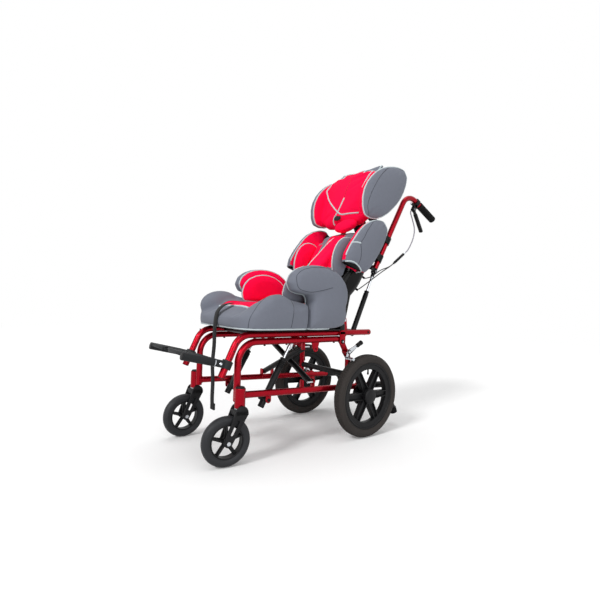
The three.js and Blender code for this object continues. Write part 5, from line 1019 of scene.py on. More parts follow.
@dataclass
class Casters:
    """Swivelling forks with slotted legs and solid tyres on five-spoke rims."""

    radius: float = 76.0
    tyre_width: float = 31.0
    tyre_depth: float = 24.0
    spokes: int = 5
    trail: float = 40.0
    gap: float = 37.0
    leg: float = 6.5
    depth: float = 42.0
    crown: float = 16.0
    barrel_z: tuple[float, float] = (173.5, 233.0)
    place: tuple[float, float] = (168.0, -383.0)

    def tyre(self) -> Shape:
        """A solid round-shouldered tyre."""
        w, r, d = self.tyre_width / 2, self.radius, self.tyre_depth
        half = [
            (r - d, w * 0.80), (r - d * 0.9, w * 0.9), (r - d * 0.7, w * 0.97), (r - d * 0.45, w),
                (r - d * 0.3, w * 0.95),
            (r - d * 0.18, w * 0.82), (r - d * 0.08, w * 0.6), (r - d * 0.02, w * 0.32), (r, w * 0.1),
        ]
        return turned([*half, *[(a, -b) for a, b in reversed(half)]], URETHANE, 96, "X")

    def rim(self) -> list[Shape]:
        """The caster's rim: a lipped band, a hub and five spokes with crossed ribs."""
        outer = self.radius - self.tyre_depth - 0.3
        w = self.tyre_width * 0.4
        band = [(outer, w), (outer - 2, w + 0.8), (outer - 4.5, w - 0.6), (outer - 4.5, 1 - w),
            (outer - 2, -w - 0.8), (outer, -w)]
        shapes = [turned(band, NYLON, 96, "X")]
        half = self.gap / 2 - 0.6
        hub = [(0, -half), (8, -half), (9, -half + 1), (9, -w), (11, -w + 2), (11, w - 2), (9, w),
            (9, half - 1), (8, half), (0, half)]
        shapes.append(turned(hub, NYLON, 48, "X"))
        blade = [(-2.5, 6), (2.5, 6), (2.5, outer - 3), (-2.5, outer - 3)]
        flange = [(-7, 6), (7, 6), (5, outer - 3), (-5, outer - 3)]
        for outline, depth in ((blade, 20), (flange, 4)):
            part = side_plate([outline], -depth / 2, depth / 2, NYLON, 0.9)
            shapes.append(RING.run(part.points, [], part.faces, NYLON, Count=self.spokes, Start_Angle=0.0))
        return shapes

    def fork(self) -> list[Shape]:
        """Stem with its cap, washer, crown and two slotted legs."""
        low, high = self.barrel_z
        top = low - 0.3
        crown_top, crown_foot = top - 3, top - 3 - self.crown
        half = self.gap / 2 + self.leg
        cap = [(0, high + 0.3), (14.3, high + 0.3), (14.3, high + 2.4), (12.6, high + 4.4), (9, high + 5),
            (0, high + 5)]
        washer = [(0, crown_top), (15.6, crown_top), (16.8, crown_top + 1), (16.8, top - 0.8), (16, top),
            (0, top)]
        stem = rod((0, 0, crown_foot), (0, 0, high + 1), 8, ZINC)
        outline = [
            (-self.depth / 2, crown_foot), (self.depth / 2, crown_foot),
            *arc(self.depth / 2 - 8, crown_top - 8, 8, 0, math.pi / 2, 8),
            *arc(-self.depth / 2 + 8, crown_top - 8, 8, math.pi / 2, math.pi, 8),
        ]
        shapes = [side_plate([outline], -half, half, NYLON, 2.0), turned(cap, NYLON, 40),
            turned(washer, ZINC, 40), stem]
        leg_top = crown_foot + self.crown / 2
        foot = (-self.trail, self.radius)
        along = lambda s: (foot[0] * s, leg_top + (foot[1] - leg_top) * s)
        leg = link((0, leg_top, self.depth / 2 - 0.3), (*foot, 13.0))
        slot = link((*along(0.3), 4.5), (*along(0.72), 4.2))
        for x0 in (-half, half - self.leg):
            shapes.append(side_plate([leg, slot], x0, x0 + self.leg, NYLON, 1.6))
        shapes.append(cross_rod(-half, half, *foot, 4, ZINC))
        for out in (1, -1):
            head = rod((out * (half - 0.5), *foot), (out * (half + 3.2), *foot), 6.5, ZINC, 6)
            shapes.append(head)
        return shapes

    def build(self) -> None:
        """Makes both casters at the turn that the frame gives them."""
        for side, sign in SIDES:
            along = JOINTS[f"caster_axle_{side}"]["axis"]
            turn = Matrix.Rotation(math.atan2(along[1], along[0]), 4, "Z")
            swivel = DATUM.chair @ Matrix.Translation((sign * self.place[0], self.place[1], 0)) @ turn
            wheel = swivel @ Matrix.Translation((0, -self.trail, self.radius))
            add_piece(f"fork_{side}", self.fork(), f"caster_swivel_{side}", [f"caster_fork_{side}"], swivel)
            add_piece(f"caster_{side}", [self.tyre()], f"caster_wheel_{side}", [f"caster_tyre_{side}"], wheel)
            add_piece(f"caster_hub_{side}", self.rim(), f"caster_wheel_{side}", [f"caster_rim_{side}"], wheel)


@dataclass
class BaseFittings:
    """Tipping levers and wheel locks."""

    half_width: float = 142.0
    tip_start: tuple[float, float] = (240.3, 179.0)
    tip_bend: tuple[float, float] = (318.0, 175.0)
    tip_end: tuple[float, float] = (370.0, 62.0)
    lock_pivot: tuple[float, float] = (74.0, 322.0)
    lock_x: float = 166.0
    shoe: tuple[float, float] = (62.0, 300.0)
    knob: tuple[float, float] = (112.0, 342.0)

    def tip_lever(self) -> list[Shape]:
        """The bent tube and its ribbed rubber foot."""
        x = self.half_width
        path = rounded_path([(x, *self.tip_start), (x, *self.tip_bend), (x, *self.tip_end)], [40.0])
        fall = np.array([0, self.tip_end[0] - self.tip_bend[0], self.tip_end[1] - self.tip_bend[1]])
        fall /= np.linalg.norm(fall)
        middle = np.array([x, *self.tip_end])
        shapes = [tube(path, 12.5, POWDER, 32)]
        ribs = 5
        for i in range(ribs):
            at = middle + fall * (-11 + 22 * i / ribs)
            shapes.append(rod(at, at + fall * 3.4, 16, GRIP, 32))
        shapes.append(rod(middle - fall * 11, middle + fall * 10.5, 14.6, GRIP, 32))
        return shapes

    def lock(self) -> list[Shape]:
        """The lock's arm, its roller shoe over the tyre and its knob."""
        x0, x1 = self.lock_x, self.lock_x + 5
        pivot = (*self.lock_pivot, 10)
        arms = [side_plate([link(pivot, (*place, 6))], x0, x1, ZINC, 0.8) for place in (self.shoe, self.knob)]
        shoe = cross_rod(x0, x0 + 40, *self.shoe, 6, ZINC)
        reach = np.array([0, self.knob[0] - pivot[0], self.knob[1] - pivot[1]])
        reach /= np.linalg.norm(reach)
        start = np.array([x0 + 2.5, *self.knob])
        grip = [rod(start + reach * 4, start + reach * 28, 8.2, NYLON, 32),
            rod(start + reach * 22, start + reach * 30, 9, NYLON, 32)]
        return [*arms, shoe, *grip]

    def build(self) -> None:
        """Makes both sides."""
        for side, sign in SIDES:
            add_piece(f"tipping_lever_{side}", to_side(sign, self.tip_lever()), "base", [f"tip_lever_{side}"])
            shapes = to_side(sign, self.lock())
            add_piece(f"lock_{side}", shapes, f"lock_lever_{side}", [f"wheel_lock_{side}"])


@dataclass
class SeatFrame:
    """Seat rails with their raked hangers, and the moulded pan under the cushion."""

    half_width: float = 139.5
    base_half_width: float = 142.0
    tube_radius: float = 11.1
    rail_z: float = 392.4
    corner_y: float = -377.5
    foot: tuple[float, float] = (-435.0, 264.0)
    rear_y: float = 208.0
    bend: float = 60.0
    tilt: tuple[float, float] = (50.0, 360.0)
    hinge: tuple[float, float] = (70.0, 440.0)
    hole_pitch: float = 25.0
    holes: int = 4

    def on_hanger(self, length: float) -> np.ndarray:
        """A place on the hanger's centre line, at a length above its foot."""
        rise = np.array([0, self.corner_y - self.foot[0], self.rail_z - self.foot[1]])
        rise /= np.linalg.norm(rise)
        return np.array([self.half_width, *self.foot]) + rise * length

    def rail(self) -> list[Shape]:
        """One rail with its plates, pins, plugs and the row of holes down its hanger."""
        x, r = self.half_width, self.tube_radius
        path = rounded_path([(x, *self.foot), (x, self.corner_y, self.rail_z),
            (x, self.rear_y, self.rail_z)], [self.bend])
        plate_x = self.base_half_width + r + 0.3
        ty, tz = self.tilt
        hy, hz = self.hinge
        hole = arc(ty, tz, 5.5, 0, math.tau, 25)[:-1]
        tilt_plate = side_plate([link((ty, tz, 14), (ty, self.rail_z, 13.7)), hole], plate_x, plate_x + 4.5,
            LACQUER, 0.9)
        pin_hole = arc(hy, hz, 4.5, 0, math.tau, 25)[:-1]
        hinge_plate = side_plate([link((hy, hz, 12), (hy, self.rail_z, 18)), pin_hole], x - 3, x + 3,
            LACQUER, 0.9)
        spacer = block(x, plate_x + 4.5, ty - 14, ty + 14, self.rail_z - 5.5, self.rail_z + 5.5, LACQUER)
        rear_plug = cross_plug((x, self.rear_y, self.rail_z), (0, 1, 0), r)
        low = self.on_hanger(0)
        foot_plug = cross_plug(low, low - self.on_hanger(10), r)
        end_bolt = bolt(x + r - 0.8, self.rear_y - 14, self.rail_z, 4.5, 1, NYLON)
        dot = rod((r - 1.2, 0, 0), (r + 0.25, 0, 0), 2.6, NYLON, 16)
        start = self.on_hanger(62)
        step = self.on_hanger(self.hole_pitch) - self.on_hanger(0)
        dots = ROW.run(dot.points + start, [], dot.faces, NYLON, Count=self.holes, Step=tuple(step))
        pins = [
            cross_rod(108, x, -146, 385, 4, ZINC, 16),
            cross_rod(108, x, 137, 386, 4, ZINC, 16),
        ]
        return [tube(path, r, LACQUER, 36), tilt_plate, hinge_plate, spacer, rear_plug, foot_plug, end_bolt,
            dots, *pins]

    def pan(self) -> list[Shape]:
        """The pan: a floor with a rolled lip and a raised tray at the rear."""
        bottom = self.rail_z + self.tube_radius + 0.3
        floor = plate([rounded_rectangle(352, 398, 40)], 4, NYLON, 1.5)
        tray = plate([rounded_rectangle(352, 26, 12)], 23.6, NYLON, 2.5)
        return [
            floor.placed(Matrix.Translation((0, -153, bottom + 2))),
            tray.placed(Matrix.Translation((0, 35, bottom + 12))),
        ]

    def build(self) -> None:
        """Makes both rails and the pan."""
        for side, sign in SIDES:
            add_piece(f"rail_{side}", to_side(sign, self.rail()), "seat", [f"seat_rail_{side}"])
        add_piece("pan", self.pan(), "seat", ["seat_pan"])


def cross_plug(centre: Point, along: Point, radius: float) -> Shape:
    """A domed plastic plug in the open end of a tube."""
    profile = [(0, -3), (radius - 1.3, -3), (radius - 1.3, 0), (radius - 0.2, 0.1), (radius - 0.4, 1.2),
        (radius - 3, 2.0), (0, 2.3)]
    turn = Vector(along).to_track_quat("Z", "X").to_matrix().to_4x4()
    return turned(profile, NYLON, 32).placed(Matrix.Translation(Vector(centre)) @ turn)


@dataclass
class Footrests:
    """Clamps on the hangers and flip-up ribbed footplates."""

    seat: SeatFrame
    along: float = 41.7
    pitch_deg: float = 13.5
    start: float = 38.0
    length: float = 110.0
    bar_radius: float = 12.0
    width: float = 121.0
    thickness: float = 5.0
    ribs: int = 7

    def frame_of(self, origin: np.ndarray) -> Matrix:
        """Local frame: X inboard to outboard, Y forward along the bar, Z up from the plate."""
        pitch = math.radians(self.pitch_deg)
        forward = Vector((0, -math.cos(pitch), math.sin(pitch)))
        up = Vector((0, math.sin(pitch), math.cos(pitch)))
        turn = Matrix((-Vector((1, 0, 0)), forward, up)).transposed().to_4x4()
        return Matrix.Translation(Vector(origin)) @ turn

    def clamp(self) -> list[Shape]:
        """The split clamp, its pinch bolt and the pin that the bar turns on."""
        centre = self.seat.on_hanger(self.along)
        rise = self.seat.on_hanger(self.along + 1) - centre
        turn = Vector(rise).to_track_quat("Z", "X").to_matrix().to_4x4()
        ring = [(11.8, -13), (16, -13), (17, -12), (17, 12), (16, 13), (11.8, 13)]
        place = self.frame_of(centre)
        arm = block(-12, 12, 8, self.start - 0.3, -11, 11, FOOT, 2.0).placed(place)
        pin = rod((0, 0, 0), (0, self.start + 24, 0), 5, ZINC).placed(place)
        screw = bolt(12, 26, 0, 5, 1).placed(place)
        screw_far = bolt(-12, 26, 0, 5, -1).placed(place)
        return [turned(ring, FOOT, 48).placed(Matrix.Translation(Vector(centre)) @ turn), arm, pin, screw,
            screw_far]

    def step(self) -> list[Shape]:
        """The bar with its end cap, the plate and the ribs under it, in the bar's own frame."""
        r, length = self.bar_radius, self.length
        bar = rod((0, 0, 0), (0, length - 2, 0), r, FOOT, 40)
        ring = rod((0, 3, 0), (0, 6, 0), r + 0.2, ZINC, 40)
        cap = cross_plug((0, length - 2.2, 0), (0, 1, 0), r)
        top = r - 0.3
        sheet = plate([rounded_rectangle(self.width, length, 7)], self.thickness, FOOT, 1.2)
        sheet = sheet.placed(Matrix.Translation((self.width / 2, length / 2, top - self.thickness / 2)))
        shapes = [bar, cap, sheet, ring]
        rib = block(2, self.width - 6, 0, 4, top - self.thickness - 7, top - self.thickness / 2, FOOT, 0.8)
        pitch = (length - 8) / (self.ribs - 1)
        rib = Shape(rib.points + vec(0, 2, 0), rib.faces, FOOT)
        shapes.append(ROW.run(rib.points, [], rib.faces, FOOT, Count=self.ribs, Step=(0, pitch, 0)))
        wall = block(self.width - 5, self.width, 5, length - 5, top - self.thickness - 3.5, top - 1, FOOT,
            0.8)
        groove = block(10, self.width - 12, 0, 2.2, top - 0.2, top + 0.5, FOOT, 0.2)
        groove = Shape(groove.points + vec(0, 8, 0), groove.faces, FOOT)
        shapes.append(wall)
        shapes.append(ROW.run(groove.points, [], groove.faces, FOOT, Count=12,
            Step=(0, (length - 18) / 11, 0)))
        return shapes

    def build(self) -> None:
        """Makes both footrests."""
        centre = self.seat.on_hanger(self.along)
        pitch = math.radians(self.pitch_deg)
        back_end = centre + vec(0, -math.cos(pitch), math.sin(pitch)) * self.start
        for side, sign in SIDES:
            add_piece(f"hanger_clamp_{side}", to_side(sign, self.clamp()), "seat", [f"foot_clamp_{side}"])
            shapes = [shape.placed(self.frame_of(back_end)) for shape in self.step()]
            add_piece(f"footrest_plate_{side}", to_side(sign, shapes), f"footrest_{side}",
                [f"footplate_{side}"])


@dataclass
class GasSprings:
    """Two gas springs that tilt the seat and two that recline the back."""

    rod_radius: float = 5.0
    eye_radius: float = 12.5
    eye_bore: float = 8.6
    eye_width: float = 10.0

    def cylinder(self, radius: float, low: float, high: float) -> list[Shape]:
        """A painted cylinder with a rolled collar and a rubber wiper."""
        profile = [
            (0, low), (radius - 1.5, low), (radius, low + 1.5), (radius, high - 12),
                (radius - 1.2, high - 10),
            (radius - 1.2, high - 7), (radius, high - 5), (radius, high - 1.5), (radius - 2, high),
            (self.rod_radius + 0.5, high), (self.rod_radius + 0.5, high - 30), (0, high - 30),
        ]
        return [turned(profile, POWDER, 40)]

    def piston(self, low: float, length: float) -> list[Shape]:
        """The polished rod and its eye."""
        shaft = rod((0, 0, low), (0, 0, length - self.eye_bore - 0.3), self.rod_radius, ZINC)
        collar = rod((0, 0, length - 24), (0, 0, length - self.eye_radius + 1.5), 7.5, POWDER, 24)
        w = self.eye_width / 2
        eye = [(self.eye_bore, -w), (self.eye_radius - 0.8, -w), (self.eye_radius, 0.8 - w),
               (self.eye_radius, w - 0.8), (self.eye_radius - 0.8, w), (self.eye_bore, w)]
        ring = turned(eye, POWDER, 40, "X").placed(Matrix.Translation((0, 0, length)))
        bush = [(self.eye_bore, -w * 0.9), (self.eye_bore, w * 0.9), (self.eye_bore + 0.8, w * 0.9),
            (self.eye_bore + 0.8, -w * 0.9)]
        liner = turned(bush, GRIP, 40, "X").placed(Matrix.Translation((0, 0, length)))
        return [shaft, collar, ring, liner]

    def build(self) -> None:
        """Makes the four springs along the axes that the frame gives."""
        tilt_length = math.hypot(116, 209)
        recline_length = self.reach_of_recline()
        for side, sign in SIDES:
            place = DATUM.strut(f"tilt_barrel_swing_{side}", f"tilt_piston_stroke_{side}")
            trunnion = rod((0, 0, 0), (sign * 20, 0, 0), 9.5, POWDER, 32)
            boot = [rod((0, 0, z), (0, 0, z + 3.2), 12.2, GRIP, 32) for z in (116, 122, 128, 134)]
            shapes = [*self.cylinder(11, -30, 150), trunnion, *boot]
            add_piece(f"tilt_spring_{side}", shapes, f"tilt_barrel_{side}", [f"tilt_cylinder_{side}"], place)
            shapes = self.piston(18.1, tilt_length)
            add_piece(f"tilt_piston_rod_{side}", shapes, f"tilt_piston_{side}", [f"tilt_rod_{side}"], place)
            place = DATUM.strut(f"recline_barrel_swing_{side}", f"recline_piston_stroke_{side}")
            eye = turned([(4.6, -5), (9.4, -5), (10, -4.4), (10, 4.4), (9.4, 5), (4.6, 5)], POWDER, 40, "X")
            shapes = [eye, *self.cylinder(10, 6, 186)]
            add_piece(f"recline_spring_{side}", shapes, f"recline_barrel_{side}",
                [f"recline_cylinder_{side}"], place)
            shapes = self.piston(76, recline_length)
            add_piece(f"recline_piston_rod_{side}", shapes, f"recline_piston_{side}",
                [f"recline_rod_{side}"], place)

    def reach_of_recline(self) -> float:
        """Length of the recline spring at rest, from its foot to its head pin."""
        head = DATUM.back @ Vector((0, 57, 262))
        foot = Vector(JOINTS["recline_barrel_swing_left"]["pos_m"])
        return math.hypot(head.y - foot.y, head.z - foot.z) / MM


@dataclass
class BackFrame:
    """The moulded back shell, the push canes with their grips and levers, and the cable."""

    half_width: float = 150.0
    foot_half_width: float = 134.0
    wall: float = 5.0
    corner: float = 34.0
    rear_y: float = 4.0
    foot_rear_y: float = -14.0
    side_depth: float = 74.0
    foot_side_depth: float = 40.0
    foot_z: float = 34.0
    waist_z: float = 170.0
    top_z: float = 400.0
    cane_foot: tuple[float, float] = (27.0, 253.0)
    cane_corner: tuple[float, float] = (20.0, 642.0)
    handle_end: tuple[float, float] = (222.0, 658.0)
    tube_radius: float = 11.1
    grip_length: float = 114.0
    grip_radius: float = 15.5
    clamp_y: float = 91.0

    def shell_ring(self, z: float) -> np.ndarray:
        """One section of the shell, open at the front."""
        ease = lambda t: (lambda s: s * s * (3 - 2 * s))(min(max(t, 0.0), 1.0))
        rise = ease((z - self.foot_z) / (self.waist_z - self.foot_z))
        close = ease((z - self.waist_z) / (self.top_z - self.waist_z))
        half = self.foot_half_width + (self.half_width - self.foot_half_width) * rise
        rear = self.foot_rear_y + (self.rear_y - self.foot_rear_y) * rise
        depth = self.foot_side_depth + (self.side_depth - self.foot_side_depth) * rise * (1 - close / 3)
        front, c, w = rear - depth, self.corner, self.wall
        outer, inner = [(half - 1, front)], [(half - w + 1, front)]
        outer.append((half, front + 1.2))
        inner.append((half - w, front + 1.2))
        for angle in np.linspace(0, math.pi / 2, 12):
            outer.append((half - c + c * math.cos(angle), rear - c + c * math.sin(angle)))
            inner.append((half - c + (c - w) * math.cos(angle), rear - c + (c - w) * math.sin(angle)))
        across = lambda run: [*run, *[(-x, y) for x, y in reversed(run)]]
        return np.array([(x, y, z) for x, y in [*across(outer), *across(inner)[::-1]]])

    def shell(self) -> list[Shape]:
        """The shell with its cane saddles, post guide, ears and stiffening ribs."""
        levels = np.linspace(self.foot_z, self.top_z, 30)
        shapes = [loft([self.shell_ring(z) for z in levels], SHELL)]
        for sign in (1, -1):
            for z in (300.0, 388.0):
                x0, x1 = sorted((sign * 132.0, sign * 162.0))
                shapes.append(block(x0, x1, -15, 24, z - 15, z + 15, SHELL, 2.0))
                shapes.append(rod((sign * 150, 24, z - 15), (sign * 150, 24, z + 15), 15, SHELL, 32))
            ear = link((0, 0, 12.0), (-34, 95, 15.6))
            x0 = 136.2 - 6 if sign > 0 else -136.2
            shapes.append(side_plate([ear], x0, x0 + 6, SHELL, 1.0))
            shapes.append(cross_rod(sign * 133.2, sign * 148.2, 0, 0, 4, ZINC, 16))
            shapes.append(bolt(sign * 142.6, 0, 0, 7, sign))
        for x0, x1 in ((-35, -30.3), (30.3, 35)):
            shapes.append(block(x0, x1, 1.5, 15.5, 328, 400, SHELL, 1.0))
        shapes.append(block(-35, 35, 10.7, 15.5, 328, 400, SHELL, 1.0))
        return shapes

    def cane(self) -> list[Shape]:
        """One bent cane with the plugs at its foot."""
        x = self.half_width
        corners = [(x, *self.cane_foot), (x, *self.cane_corner), (x, *self.handle_end)]
        foot = Vector(corners[0])
        return [
            tube(rounded_path(corners, [62.0]), self.tube_radius, LACQUER, 36),
            cross_plug(foot, foot - Vector(corners[1]), self.tube_radius),
            bolt(x + self.tube_radius - 0.8, 24, 300, 4.5, 1),
            bolt(x + self.tube_radius - 0.8, 22.6, 388, 4.5, 1),
        ]

    def handle_frame(self) -> Matrix:
        """A frame at the handle's tip with +Z back along the handle."""
        tip = Vector((self.half_width, *self.handle_end))
        back = Vector((0, self.cane_corner[0] - tip.y, self.cane_corner[1] - tip.z))
        turn = back.to_track_quat("Z", "X").to_matrix().to_4x4()
        return Matrix.Translation(tip) @ turn

    def grip(self) -> list[Shape]:
        """A closed rubber grip with rings and rows of pips."""
        r, length = self.grip_radius, self.grip_length
        profile = [(0, -3.3), (r * 0.75, -3.3), (r * 0.93, -2), (r, 1), (r, 4)]
        rings = 16
        for i in range(rings):
            z = 8 + (length - 24) * i / rings
            profile += [(r * 0.93, z), (r * 0.93, z + 2.6), (r * 0.985, z + 3.4), (r * 0.985, z + 5.0)]
        profile += [(r * 0.93, length - 13), (r, length - 11), (r, length - 4.6), (r * 0.95, length - 3.6),
            (11.4, length - 3.3),
                    (11.4, length - 8), (0, length - 8)]
        return [turned(profile, GRIP, 48).placed(self.handle_frame())]

    def clamp(self) -> list[Shape]:
        """The lever's clamp with its yoke, barrel adjuster and pivot."""
        x = self.half_width
        rise = (self.handle_end[1] - self.cane_corner[1]) / (self.handle_end[0] - self.cane_corner[0])
        z = self.cane_corner[1] + rise * (self.clamp_y - self.cane_corner[0])
        ring = [(11.5, -9), (15, -9), (16, -8), (16, 8), (15, 9), (11.5, 9)]
        turn = self.handle_frame().to_3x3().to_4x4()
        shapes = [turned(ring, NYLON, 48).placed(Matrix.Translation((x, self.clamp_y, z)) @ turn)]
        for x0 in (x - 7.5, x + 4.1):
            shapes.append(block(x0, x0 + 3.4, 82, 100, 602, 634, NYLON, 1.0))
        shapes.append(block(x - 7.5, x + 7.5, 82, 100, 619, 640, NYLON, 2.0))
        shapes.append(cross_rod(x - 8, x + 8, 91, 610, 2.6, ZINC, 16))
        shapes.append(rod((x, 82, 626), (x, 67, 622), 5, NYLON, 24))
        shapes.append(rod((x, 68, 622.2), (x, 61, 620.5), 3.6, ZINC, 20))
        return shapes

    def lever(self) -> list[Shape]:
        """The release lever: a narrow root and a broad blade with a rounded tip."""
        x = self.half_width
        root = link((91, 610, 7.7), (115, 598, 6.0))
        hole = arc(91, 610, 3.1, 0, math.tau, 17)[:-1]
        blade = link((113.5, 598.7, 6.2), (184, 563, 6.3))
        return [
            side_plate([root, hole], x - 3.75, x + 3.75, NYLON, 1.0),
            side_plate([blade], x - 7.5, x + 7.5, NYLON, 3.0),
        ]

    def bar(self) -> list[Shape]:
        """The bar between the canes with the lugs that the recline rods hang on."""
        y = self.cane_foot[0] + (self.cane_corner[0] - self.cane_foot[0]) * 9 / 389
        shapes = [cross_rod(-138.6, 138.6, y, 262, 8, POWDER)]
        for sign in (1, -1):
            x0, x1 = sorted((sign * 125.0, sign * 129.0))
            shapes.append(side_plate([link((y, 262, 9.3), (57, 262, 9))], x0, x1, POWDER, 0.8))
            shapes.append(cross_rod(sign * 108, sign * 129, 57, 262, 4, ZINC, 16))
            shapes.append(bolt(sign * 128.6, 57, 262, 6, sign))
        return shapes

    def post(self) -> list[Shape]:
        """The flat steel post that the head support slides on."""
        lean = math.radians(14.3)
        turn = lambda out, up: (-63 + out * math.cos(lean) - up * math.sin(lean),
            439 + out * math.sin(lean) + up * math.cos(lean))
        y = self.rear_y + 3.3
        route = [(0, y, 300), (0, y, 428), *[(0, *turn(-2.7, 204 * share)) for share in (0.2, 0.64)]]
        middle = rounded_path(route, [12.0, 20.0], 8.0)
        rings = []
        for i, place in enumerate(middle):
            run = middle[min(i + 1, len(middle) - 1)] - middle[max(i - 1, 0)]
            normal = np.array([0, run[2], -run[1]]) / np.linalg.norm(run)
            section = ((-30, -2.2), (-29.2, -3), (29.2, -3), (30, -2.2), (30, 2.2), (29.2, 3), (-29.2, 3),
                (-30, 2.2))
            rings.append(np.array([place + vec(u, 0, 0) + normal * v for u, v in section]))
        return [loft(rings, POWDER)]

    def build(self) -> None:
        """Makes the back's rigid pieces."""
        place = DATUM.back
        add_piece("shell", self.shell(), "back", ["back_shell"], place)
        add_piece("cane_bar", self.bar(), "back", ["back_bar"], place)
        add_piece("post", self.post(), "head", ["head_post"], place)
        for side, sign in SIDES:
            add_piece(f"cane_{side}", to_side(sign, self.cane()), "back", [f"push_cane_{side}"], place)
            add_piece(f"grip_{side}", to_side(sign, self.grip()), "back", [f"handle_grip_{side}"], place)
            add_piece(f"clamp_{side}", to_side(sign, self.clamp()), "back", [f"lever_clamp_{side}"], place)
            lever = to_side(sign, self.lever())
            add_piece(f"lever_{side}", lever, f"hand_lever_{side}", [f"release_lever_{side}"], place)


@dataclass
class Cable:
    """The release cable: one sheath from the lever to a splitter, and two tails to the shell."""

    radius: float = 2.5
    route: tuple = ((143, 87, 600.6), (143.5, 91, 590), (147, 114, 570), (150, 143, 542), (150, 158, 500),
                    (150, 156, 442), (150, 145, 416))
    splitter_end: tuple = (150, 109, 335)
    tails: tuple = (
        ((146, 96, 310), (140, 66, 272), (137, 42, 228), (136, 20, 204), (136, 10, 197), (136, 0, 196)),
        ((147, 99, 313), (142, 74, 268), (137, 51, 222), (133, 25, 172), (132, 9, 145), (132, -3, 138)),
    )

    def build(self) -> None:
        """Makes the cable as one piece on the back."""
        start = np.array(self.route[-1], float)
        end = np.array(self.splitter_end, float)
        run = (end - start) / np.linalg.norm(end - start)
        length = np.linalg.norm(end - start)
        profile = [(0, 0), (2.8, 0), (3.2, 8), (5.5, 10), (5.5, length - 12), (4.2, length - 10),
            (4.2, length - 2), (3, length), (0, length)]
        turn = Vector(run).to_track_quat("Z", "X").to_matrix().to_4x4()
        # The run from the lever to the splitter wears the silver-grey sheath colour, a painted highlight on
        # the black sheath.
        shapes = [
            tube(smooth_path(self.route, 8), self.radius, PAINTED_HIGHLIGHT_SHEATH, 16),
            turned(profile, NYLON, 32).placed(Matrix.Translation(Vector(start)) @ turn),
            rod(start - run * 2, start + run * 9, 4.2, ZINC, 24),
        ]
        for tail in self.tails:
            shapes.append(tube(smooth_path([self.splitter_end, *tail], 8), self.radius * 0.8, SHEATH, 16))
            tip = np.array(tail[-1], float)
            shapes.append(rod(tip, tip + vec(0, 9, 0.5), 4.2, NYLON, 20))
        item = make_mesh("cable", shapes, DATUM.back)
        fit_piece(item, "back", ["release_cable"])


@dataclass
class Panel:
    """A region of a cushion with its own cloth: the part inside all of its half spaces."""

    finish: Finish
    sides: Sequence[tuple[Point, Point]]


